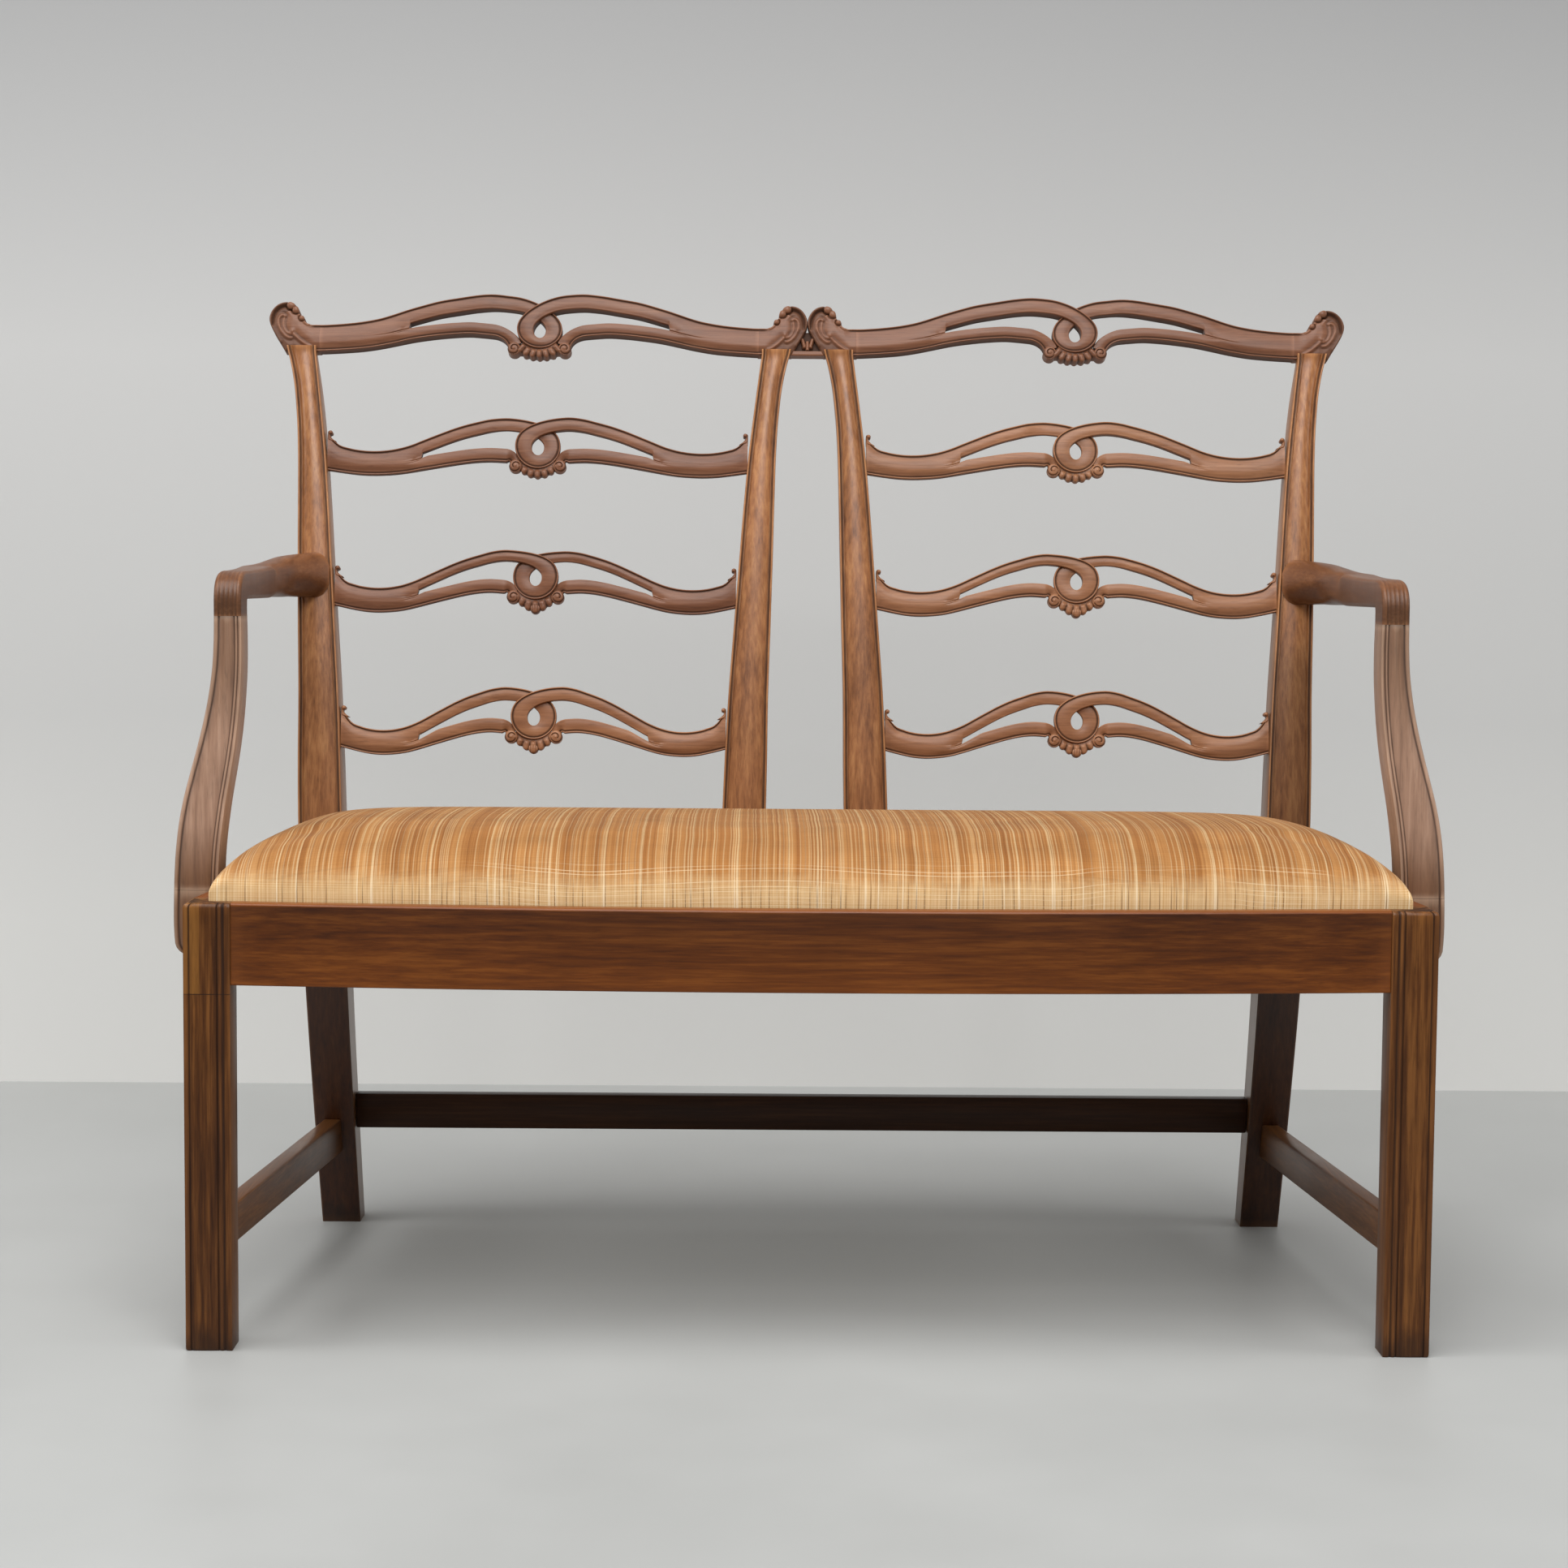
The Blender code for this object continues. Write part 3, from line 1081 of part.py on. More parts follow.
def arm_support(side, label):
    top = ARM_JOINT_HEIGHT - JOINT_GAP
    front_x = arm_knuckle_x()
    rings = []
    for share in [0.0] + [mix(SUPPORT_START_SHARE, 1, k / SUPPORT_STEPS) for k in range(SUPPORT_STEPS + 1)]:
        z = mix(SUPPORT_FOOT, top, share)
        outer = support_foot_outer() - SUPPORT_LEAN_IN * (1 - curve_at(SUPPORT_SHARES, share))
        width = mix(SUPPORT_WIDTH_TOP, SUPPORT_WIDTH_FOOT, curve_at(SUPPORT_WIDTH_SHARES, share))
        front = mix(SUPPORT_FOOT_FRONT, ARM_FRONT, share)
        depth = mix(SUPPORT_DEPTH_FOOT, SUPPORT_DEPTH_TOP, share ** SUPPORT_TAPER_POWER_SHARE)
        section = rounded_section(((outer - width, outer), (front, front + depth)), SUPPORT_ROUND_SHARE)
        rings.append([(x, y, z) for x, y in section])
    cuts = [support_notch()] + [support_screw_hole(k) for k in (0, 1)]
    piece("arm_support_" + label, Body().rings(rings), BACK_WOOD, side, tenons=[support_tenon()], cuts=cuts)
    for k in (0, 1):
        start, direction = support_screw_line(k)
        piece("arm_support_screw_%s_%d" % (label, k + 1),
              screw_body(start, direction, RAIL_THICKNESS + SUPPORT_SCREW_BITE), STEEL, side)


def support_screw_line(k):
    """Start on the side rail's inner face, and direction, of a screw into the support."""
    y = SUPPORT_FOOT_FRONT + SUPPORT_DEPTH_FOOT / 2
    middle = (SUPPORT_FOOT + LEDGE) / 2
    z = middle + SUPPORT_SCREW_SPACING * (k - 0.5)
    return Vector((side_face_at(y) - RAIL_THICKNESS, y, z)), Vector((1, 0, 0))


def support_screw_hole(k):
    start, direction = support_screw_line(k)
    return screw_hole(start, direction, RAIL_THICKNESS + SUPPORT_SCREW_BITE)


def arm_screw_line():
    """Start on the back of the post, and direction, of the screw into the arm rest."""
    z = (ARM_TOP_BACK + ARM_BOTTOM_BACK) / 2
    x = (post_outer_at(z) + post_inner_at(z)) / 2
    return Vector((x, front_at(z) + post_depth_at(z), z)), Vector((0, -1, 0))


def arm_screw_hole():
    start, direction = arm_screw_line()
    return screw_hole(start, direction, post_depth_at(start.z) + ARM_SCREW_BITE)


def arm_rest_screw(side, label):
    start, direction = arm_screw_line()
    piece("arm_rest_screw_" + label, screw_body(start, direction, post_depth_at(start.z) + ARM_SCREW_BITE),
          STEEL, side)


# Stretchers
def side_stretcher(side, label):
    rings = []
    half = SIDE_STRETCHER_THICKNESS / 2
    for z in (SIDE_STRETCHER_LOW, SIDE_STRETCHER_LOW + SIDE_STRETCHER_HEIGHT):
        front = LEG_SIDE + JOINT_GAP
        rear = front_at(z) - JOINT_GAP
        a = side_stretcher_centre(front)
        b = side_stretcher_centre(rear)
        rings.append([(a - half, front, z), (a + half, front, z), (b + half, rear, z), (b - half, rear, z)])
    piece("side_stretcher_" + label, Body().rings(rings), LEG_WOOD, side,
          tenons=[side_stretcher_tenon(False), side_stretcher_tenon(True)])


def rear_stretcher():
    rings = []
    middle = rear_stretcher_middle()
    half = REAR_STRETCHER_THICKNESS / 2
    for z in (REAR_STRETCHER_LOW, REAR_STRETCHER_LOW + REAR_STRETCHER_HEIGHT):
        end = post_inner_at(z) - JOINT_GAP
        rings.append([(-end, middle - half, z), (end, middle - half, z), (end, middle + half, z),
                      (-end, middle + half, z)])
    piece("rear_stretcher", Body().rings(rings), LEG_WOOD,
          tenons=[rear_stretcher_tenon(), mirrored(rear_stretcher_tenon(), -1)])


# Drop-in seat
SEAT_BOTTOM = LEDGE + JOINT_GAP
BAR_TOP = SEAT_BOTTOM + SEAT_BAR_THICKNESS
WEB_BOTTOM = BAR_TOP + JOINT_GAP
HESSIAN_BOTTOM = WEB_BOTTOM + WEB_THICKNESS + JOINT_GAP
PADDING_BOTTOM = HESSIAN_BOTTOM + HESSIAN_THICKNESS + JOINT_GAP
FRAME_INSET = SEAT_CLEARANCE + COVER_THICKNESS + JOINT_GAP * 2


def seat_front_at(x, inset):
    reach = min(abs(x), FRONT_HALF_WIDTH - LEG_SIDE)
    return bow_at(reach) + LIP_FRONT + inset


def seat_side_at(y, inset):
    return side_face_at(y) - LIP_SIDE - inset


def seat_bar_inner(y):
    return seat_side_at(y, FRAME_INSET) - SEAT_BAR_WIDTH


def seat_corner(inset):
    return seat_side_at(seat_front_at(FRONT_HALF_WIDTH, inset), inset)


def seat_cross_limits(at_rear):
    """Front and back faces of the front or rear bar beside the side bars."""
    if at_rear:
        rear = SEAT_DEPTH - FRAME_INSET
        return rear - SEAT_BAR_WIDTH, rear
    front = seat_front_at(FRONT_HALF_WIDTH, FRAME_INSET)
    return front, front + SEAT_BAR_WIDTH


def seat_tongue(at_rear, gap=0.0):
    """Tongue of a cross bar in the +X side bar."""
    low, high = seat_cross_limits(at_rear)
    middle = (low + high) / 2
    face = seat_bar_inner(high)
    start = (SEAT_BAR_THICKNESS - SEAT_TONGUE) / 2
    return tenon_block((face - OVERRUN, face + SEAT_BAR_TENON), (middle - SEAT_TONGUE, middle + SEAT_TONGUE),
                       (SEAT_BOTTOM + start, SEAT_BOTTOM + start + SEAT_TONGUE), gap)


def centre_tongue(at_rear, gap=0.0):
    """Tongue of the centre bar in a cross bar."""
    low, high = seat_cross_limits(at_rear)
    start = (SEAT_BAR_THICKNESS - SEAT_TONGUE) / 2
    y = (low - OVERRUN, low + SEAT_BAR_TENON) if at_rear else (high - SEAT_BAR_TENON, high + OVERRUN)
    return tenon_block((-SEAT_TONGUE, SEAT_TONGUE), y,
                       (SEAT_BOTTOM + start, SEAT_BOTTOM + start + SEAT_TONGUE), gap)


def seat_piece(name, body, material, side=1, tenons=(), cuts=()):
    piece(name, body, material, side, tenons, cuts).parent = seat_lift


def seat_frame():
    for side, label in ((-1, "left"), (1, "right")):
        front = seat_front_at(FRONT_HALF_WIDTH, FRAME_INSET)
        rear = SEAT_DEPTH - FRAME_INSET
        outline = [(seat_bar_inner(front), front), (seat_side_at(front, FRAME_INSET), front),
                   (seat_side_at(rear, FRAME_INSET), rear), (seat_bar_inner(rear), rear)]
        seat_piece("seat_frame_" + label, prism(outline, SEAT_BOTTOM, BAR_TOP), SECONDARY_WOOD, side,
                   cuts=[seat_tongue(False, JOINT_GAP), seat_tongue(True, JOINT_GAP)])
    for at_rear in (False, True):
        low, high = seat_cross_limits(at_rear)
        if at_rear:
            outline = [(-seat_bar_inner(low) + JOINT_GAP, low), (seat_bar_inner(low) - JOINT_GAP, low)]
            outline += [(seat_bar_inner(high) - JOINT_GAP, high), (-seat_bar_inner(high) + JOINT_GAP, high)]
        else:
            end = seat_bar_inner(low) - JOINT_GAP
            steps = 20
            stations = [mix(-end, end, k / steps) for k in range(steps + 1)]
            outline = [(x, seat_front_at(x, FRAME_INSET)) for x in stations]
            outline += [(seat_bar_inner(high) - JOINT_GAP, high), (-seat_bar_inner(high) + JOINT_GAP, high)]
        tenons = [seat_tongue(at_rear), mirrored(seat_tongue(at_rear), -1)]
        seat_piece("seat_frame_" + ("rear" if at_rear else "front"), prism(outline, SEAT_BOTTOM, BAR_TOP),
                   SECONDARY_WOOD, tenons=tenons, cuts=[centre_tongue(at_rear, JOINT_GAP)])
    half = SEAT_BAR_WIDTH / 2
    start = seat_cross_limits(False)[1] + JOINT_GAP
    end = seat_cross_limits(True)[0] - JOINT_GAP
    body = Body().block((-half, half), (start, end), (SEAT_BOTTOM, BAR_TOP))
    seat_piece("seat_frame_centre", body, SECONDARY_WOOD, tenons=[centre_tongue(False), centre_tongue(True)])


def strap_lines(start, end, count):
    """Edges of evenly spaced straps between two limits, with the limits themselves."""
    pitch = (end - start) / count
    lines = [start]
    for k in range(count):
        middle = start + pitch * (k + 0.5)
        lines += [middle - WEB_WIDTH / 2, middle + WEB_WIDTH / 2]
    return lines + [end]


def seat_webbing():
    """Interlaced straps as one lattice, tacked on the seat bars."""
    rear_low, _ = seat_cross_limits(True)
    _, front_high = seat_cross_limits(False)
    half = seat_bar_inner(rear_low) + WEB_OVERLAP
    xs = strap_lines(-half, half, WEB_CROSSWISE)
    ys = strap_lines(front_high - WEB_OVERLAP, rear_low + WEB_OVERLAP, WEB_LENGTHWISE)
    bm = bmesh.new()
    corners = {}
    for i in range(len(xs) - 1):
        for j in range(len(ys) - 1):
            if i % 2 == 0 and j % 2 == 0:
                continue
            verts = []
            for a, b in ((i, j), (i + 1, j), (i + 1, j + 1), (i, j + 1)):
                if (a, b) not in corners:
                    corners[(a, b)] = bm.verts.new((xs[a], ys[b], WEB_BOTTOM))
                verts.append(corners[(a, b)])
            bm.faces.new(verts)
    lifted = bmesh.ops.extrude_face_region(bm, geom=bm.faces[:])
    for v in lifted["geom"]:
        if isinstance(v, bmesh.types.BMVert):
            v.co.z += WEB_THICKNESS
    bm.verts.index_update()
    body = Body()
    body.points = [v.co.copy() for v in bm.verts]
    body.faces = [tuple(v.index for v in face.verts) for face in bm.faces]
    bm.free()
    seat_piece("seat_webbing", body, WEBBING)


def eased(count):
    """Steps from -1 to 1 that crowd towards both ends."""
    return [math.sin(math.pi / 2 * math.sin(math.pi / 2 * mix(-1, 1, k / count))) for k in range(count + 1)]


def seat_front_edge(u, inset):
    """Point on the seat's front edge; u runs from -1 to 1 between its corners."""
    y = seat_front_at(u * seat_corner(inset), inset)
    return u * seat_side_at(y, inset), y


def seat_hessian():
    rear = SEAT_DEPTH - FRAME_INSET
    outline = [seat_front_edge(u, FRAME_INSET) for u in eased(CROWN_COLUMNS)]
    outline += [(seat_side_at(rear, FRAME_INSET), rear), (-seat_side_at(rear, FRAME_INSET), rear)]
    seat_piece("seat_hessian", prism(outline, HESSIAN_BOTTOM, HESSIAN_BOTTOM + HESSIAN_THICKNESS), HESSIAN)


def crown_points(inset, edge, top):
    """Grid of the crowned cushion face: rows of points from the front to the back."""
    grid = []
    for v in eased(CROWN_ROWS):
        line = []
        for u in eased(CROWN_COLUMNS):
            rear = SEAT_DEPTH - SEAT_CLEARANCE - inset
            front = seat_front_edge(u, SEAT_CLEARANCE + inset)[1]
            y = mix(front, rear, (v + 1) / 2)
            x = u * seat_side_at(y, SEAT_CLEARANCE + inset)
            along = max(0.0, 1 - abs(u) ** CROWN_LONG_SHARE)
            across = max(0.0, 1 - abs(v) ** CROWN_CROSS_SHARE)
            line.append(Vector((x, y, mix(edge, top, (along * across) ** CROWN_ROUND_SHARE))))
        grid.append(line)
    return grid


def crown_rim(index):
    """Vertices round the edge of a crowned grid."""
    rim = [(0, i) for i in range(CROWN_COLUMNS)]
    rim += [(j, CROWN_COLUMNS) for j in range(CROWN_ROWS)]
    rim += [(CROWN_ROWS, i) for i in range(CROWN_COLUMNS, 0, -1)]
    rim += [(j, 0) for j in range(CROWN_ROWS, 0, -1)]
    return [index(pair) for pair in rim]


def add_grid(body, grid):
    start = len(body.points)
    width = len(grid[0])
    for line in grid:
        body.points += line
    for j in range(len(grid) - 1):
        for i in range(width - 1):
            a = start + j * width + i
            body.faces.append((a, a + 1, a + 1 + width, a + width))
    return lambda pair: start + pair[0] * width + pair[1]


def add_skirt(body, upper, lower):
    for k in range(len(upper)):
        n = (k + 1) % len(upper)
        body.faces.append((upper[k], upper[n], lower[n], lower[k]))


def add_rim_points(body, source, z):
    start = len(body.points)
    body.points += [Vector((body.points[i].x, body.points[i].y, z)) for i in source]
    return list(range(start, start + len(source)))


def seat_padding():
    body = Body()
    index = add_grid(body, crown_points(COVER_THICKNESS + JOINT_GAP, CROWN_EDGE + JOINT_GAP,
                                        CROWN_TOP - COVER_THICKNESS - JOINT_GAP * 2))
    rim = crown_rim(index)
    low = add_rim_points(body, rim, PADDING_BOTTOM)
    add_skirt(body, rim, low)
    body.faces.append(tuple(low))
    seat_piece("seat_padding", body, PADDING)


def seat_cover():
    """Crowned cover drawn down over the sides of the seat frame."""
    body = Body()
    outer = crown_rim(add_grid(body, crown_points(0, CROWN_EDGE + COVER_THICKNESS, CROWN_TOP)))
    inner = crown_rim(add_grid(body, crown_points(COVER_THICKNESS, CROWN_EDGE + JOINT_GAP * 2,
                                                  CROWN_TOP - COVER_THICKNESS)))
    outer_low = add_rim_points(body, outer, SEAT_BOTTOM)
    inner_low = add_rim_points(body, inner, SEAT_BOTTOM)
    add_skirt(body, outer, outer_low)
    add_skirt(body, inner, inner_low)
    add_skirt(body, outer_low, inner_low)
    seat_piece("seat_cover", body, COVER)


def build():
    for side, label in ((-1, "left"), (1, "right")):
        front_leg(side, label)
        rear_post(side, label)
        inner_stile(side, label)
        crest_rail(side, label)
        for row, name in enumerate(("lower", "middle", "upper")):
            back_slat(side, label, row, name)
        side_seat_rail(side, label)
        side_stretcher(side, label)
        arm_support(side, label)
        arm_rest(side, label)
        arm_rest_screw(side, label)
        corner_block(side, label, False)
        corner_block(side, label, True)
    crest_link()
    front_seat_rail()
    rear_seat_rail()
    centre_seat_brace()
    rear_stretcher()
    seat_frame()
    seat_webbing()
    seat_hessian()
    seat_padding()
    seat_cover()


def centre_footprint():
    """Move the settee so that its depth is centred on the origin."""
    front = bow_at(0)
    backs = [crest_frame(0, EAR_RISE, CREST_THICKNESS).y]
    backs += [front_at(z) + post_depth_at(z) for z in POST_HEIGHTS]
    settee.location.y = -(front + max(backs)) / 2


build()
centre_footprint()
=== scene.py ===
"""Looks of a carved double chair-back settee with a drop-in seat in a striped pile fabric.

Metres in the frame's axes: +X to the right in the photograph, +Y to the back, +Z up.
Carved members are swept or raised from flat drawings that lie in the slope of the back.
"""
import json
import math

import bmesh
import bpy
import numpy as np
from mathutils import Matrix, Vector
from mathutils.geometry import delaunay_2d_cdt

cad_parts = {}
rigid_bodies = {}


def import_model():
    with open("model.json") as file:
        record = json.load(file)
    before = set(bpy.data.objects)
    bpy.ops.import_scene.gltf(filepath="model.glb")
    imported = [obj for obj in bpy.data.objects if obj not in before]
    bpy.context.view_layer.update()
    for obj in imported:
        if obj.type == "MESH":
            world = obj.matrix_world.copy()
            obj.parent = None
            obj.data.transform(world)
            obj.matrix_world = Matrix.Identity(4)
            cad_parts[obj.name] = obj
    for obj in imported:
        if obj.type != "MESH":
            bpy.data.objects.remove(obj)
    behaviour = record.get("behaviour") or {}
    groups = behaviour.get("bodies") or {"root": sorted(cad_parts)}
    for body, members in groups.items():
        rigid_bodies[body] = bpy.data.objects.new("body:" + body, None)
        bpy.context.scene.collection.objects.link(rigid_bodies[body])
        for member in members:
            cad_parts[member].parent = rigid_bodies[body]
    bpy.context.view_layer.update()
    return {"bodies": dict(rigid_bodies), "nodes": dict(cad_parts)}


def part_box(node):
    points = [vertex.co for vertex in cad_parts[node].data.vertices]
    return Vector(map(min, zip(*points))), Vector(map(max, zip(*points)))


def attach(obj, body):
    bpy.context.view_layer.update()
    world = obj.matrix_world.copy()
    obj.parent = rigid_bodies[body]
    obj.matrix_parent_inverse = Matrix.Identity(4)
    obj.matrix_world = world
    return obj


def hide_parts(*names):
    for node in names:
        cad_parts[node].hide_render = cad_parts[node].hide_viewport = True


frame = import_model()

# Places taken from the frame, in metres
MM = 0.001
SIDES = (("left", -1), ("right", 1))
FRONT_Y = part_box("front_leg_left")[0].y
RAIL_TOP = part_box("front_seat_rail")[1].z
LEG_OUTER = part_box("front_leg_right")[1].x
LEG_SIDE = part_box("front_leg_right")[1].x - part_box("front_leg_right")[0].x
SEAT_DEPTH = 0.478
RAIL_SETBACK = 0.003
FRONT_BOW = 0.026
BACK_CENTRE = 0.2885

# Slope of the back
CREST_HEIGHT = 0.5553
CREST_SETBACK = 0.103
LEAN_POWER = 1.35
GAP = 0.0003

# Carved slats and crest rails
ROW_NAMES = ("lower", "middle", "upper")
SLAT_RISE_SHARES = (0.2521, 0.5186, 0.7698)
SLAT_HALVES = tuple(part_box("back_slat_right_" + name)[1].x - BACK_CENTRE - 0.010 for name in ROW_NAMES)
SLAT_PEAKS = (0.0345, 0.0315, 0.0345)
SLAT_DIPS = (0.0125, 0.0100, 0.0035)
SLAT_BAND = 0.0262
SLAT_STRANDS = (0.0142, 0.0115, 0.0139)
SLAT_LOWER_STRANDS = (0.0150, 0.0141, 0.0146)
SLAT_SHELL_DROPS = (0.0360, 0.0360, 0.0315)
SLAT_APRON_POWERS = (0.8, 0.8, 1.5)
SLAT_ARCH = 0.0140
SLAT_THICKNESS = 0.0125
SLAT_SETBACK = 0.006
SLAT_EYE_RISE = 0.003
TOP_SHARES = ((0.0, 0.84), (0.06, 0.93), (0.145, 1.0), (0.22, 0.955), (0.28, 0.87), (0.35, 0.76),
              (0.41, 0.64), (0.47, 0.50), (0.53, 0.355), (0.59, 0.21), (0.65, 0.10), (0.71, 0.03),
              (0.78, 0.0), (0.84, 0.02), (0.90, 0.085), (0.95, 0.19), (0.978, 0.34), (1.0, 0.50))
LOW_SHARES = ((0.14, 0.95), (0.235, 1.0), (0.30, 0.94), (0.36, 0.83), (0.42, 0.69), (0.48, 0.54),
              (0.54, 0.385), (0.60, 0.23), (0.66, 0.10), (0.73, 0.02), (0.79, 0.0), (0.85, 0.04),
              (0.91, 0.14), (1.0, 0.33))
CREST_HALF = 0.2395
CREST_PEAK = 0.0388
CREST_DIP = 0.0030
CREST_DROP = 0.0262
CREST_ARCH = 0.0060
CREST_THICKNESS = 0.020
CREST_STRAND = 0.0158
CREST_LOWER_STRAND = 0.0130
CREST_SHELL_DROP = 0.0315
CREST_TOP_SHARES = ((0.0, 0.73), (0.08, 0.92), (0.14, 0.975), (0.193, 1.0), (0.27, 0.965), (0.36, 0.87),
                    (0.45, 0.76), (0.54, 0.59), (0.63, 0.40), (0.72, 0.21), (0.80, 0.105), (0.88, 0.04),
                    (0.96, 0.0))
CREST_LOW_SHARES = ((0.16, 0.84), (0.25, 0.95), (0.306, 1.0), (0.38, 0.96), (0.47, 0.85), (0.55, 0.71),
                    (0.63, 0.51), (0.70, 0.33), (0.78, 0.17), (0.87, 0.07), (0.97, 0.0))
EAR_REACH_OUTER = 0.2910
EAR_REACH_INNER = 0.2884
RING_RADIUS = 0.0243
EYE_HALF_WIDTH = 0.0066
EYE_HALF_HEIGHT = 0.0086
EYE_DROP = 0.0012
VOLUTE_RADIUS = 0.0070
VOLUTE_DOWN = 0.0216
SLAT_SLOT_REACHES = (0.1210, 0.1240, 0.1230)
CREST_SLOT_REACH = 0.1390
SLOT_MOUTH = 0.0052
SLOT_END = 0.0014
SLAT_CREASE = 0.016
CREST_CREASE = 0.042


def mix(a, b, t):
    return a + (b - a) * t


def smoothed(t):
    t = np.clip(t, 0, 1)
    return t * t * (3 - 2 * t)


def curve(rows):
    """Smooth function through rows of (place, value)."""
    xs = np.array([row[0] for row in rows], float)
    ys = np.array([row[1] for row in rows], float)
    slopes = np.gradient(ys, xs)

    def at(x):
        x = np.clip(np.asarray(x, float), xs[0], xs[-1])
        k = np.clip(np.searchsorted(xs, x, side="right") - 1, 0, len(xs) - 2)
        span = xs[k + 1] - xs[k]
        t = (x - xs[k]) / span
        return (ys[k] * (1 + 2 * t) * (1 - t) ** 2 + ys[k + 1] * t * t * (3 - 2 * t)
                + span * (slopes[k] * t * (1 - t) ** 2 - slopes[k + 1] * t * t * (1 - t)))
    return at


def lean_at(z):
    """World y of the back's front plane at a height above the seat rail."""
    share = np.clip((np.asarray(z, float) - RAIL_TOP) / CREST_HEIGHT, 0, None)
    return FRONT_Y + SEAT_DEPTH + CREST_SETBACK * share ** LEAN_POWER


def sloping_frame(centre, setback):
    """Turns (x, rise, inward) in the plane of the back at a height into a point."""
    share = (centre - RAIL_TOP) / CREST_HEIGHT
    rake = math.atan(LEAN_POWER * CREST_SETBACK / CREST_HEIGHT * share ** (LEAN_POWER - 1))
    base = float(lean_at(centre))

    def place(x, rise, inward):
        depth = setback + inward
        y = base + rise * math.sin(rake) + depth * math.cos(rake)
        z = centre + rise * math.cos(rake) - depth * math.sin(rake)
        return np.stack(np.broadcast_arrays(x, y, z), -1)
    return place


# Mesh making
class Shape:
    """Closed shells gathered into one mesh, with a carve value for each point (1 in a groove); the value
    darkens the colour as dark polish in grooves and as painted shade on sides, undersides and recesses.
    """

    def __init__(self):
        self.points = []
        self.carves = []
        self.faces = []
        self.count = 0

    def add(self, points, faces, carves=None):
        points = np.asarray(points, float).reshape(-1, 3)
        self.points.append(points)
        self.carves.append(np.zeros(len(points)) if carves is None else np.asarray(carves, float).ravel())
        self.faces += [tuple(int(i) + self.count for i in face) for face in faces]
        self.count += len(points)
        return self

    def loft(self, rings, carves=None):
        """Closed rings joined in order, with flat ends. rings is (stations, points, 3)."""
        rings = np.asarray(rings, float)
        n, m = rings.shape[:2]
        faces = [(i * m + j, i * m + k, (i + 1) * m + k, (i + 1) * m + j)
                 for i in range(n - 1) for j, k in zip(range(m), [*range(1, m), 0])]
        faces += [tuple(range(m))[::-1], tuple(range((n - 1) * m, n * m))]
        return self.add(rings, faces, carves)


def places_of(obj):
    """Points of an object's mesh, one in each row."""
    return np.array([v.co for v in obj.data.vertices])


def linked(name, data):
    """A new object of a mesh, light or camera, in the scene."""
    obj = bpy.data.objects.new(name, data)
    bpy.context.collection.objects.link(obj)
    return obj


def paint(mesh, material):
    mesh.materials.clear()
    mesh.materials.append(material)


def edit_mesh(mesh, change):
    work = bmesh.new()
    work.from_mesh(mesh)
    change(work)
    work.to_mesh(mesh)
    work.free()


def new_object(name, points, faces, material, closed=True):
    """A mesh object. A closed one is shaded smooth, with its faces turned outwards."""
    mesh = bpy.data.meshes.new(name)
    mesh.from_pydata([tuple(p) for p in points], [], faces)
    if closed:
        edit_mesh(mesh, lambda work: bmesh.ops.recalc_face_normals(work, faces=work.faces))
        mesh.shade_smooth()
    mesh.materials.append(material)
    return linked(name, mesh)


def dress(obj, body, replaces):
    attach(obj, body)
    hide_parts(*replaces)


def make_piece(name, shape, material, replaces, sharp_angle=40, body="frame"):
    """A visible piece made of closed shells, in place of CAD nodes."""
    obj = new_object(name, np.concatenate(shape.points), shape.faces, material)
    carve = obj.data.attributes.new("carve", "FLOAT", "POINT")
    carve.data.foreach_set("value", np.concatenate(shape.carves).astype(np.float32))
    obj.data.set_sharp_from_angle(angle=math.radians(sharp_angle))
    dress(obj, body, replaces)


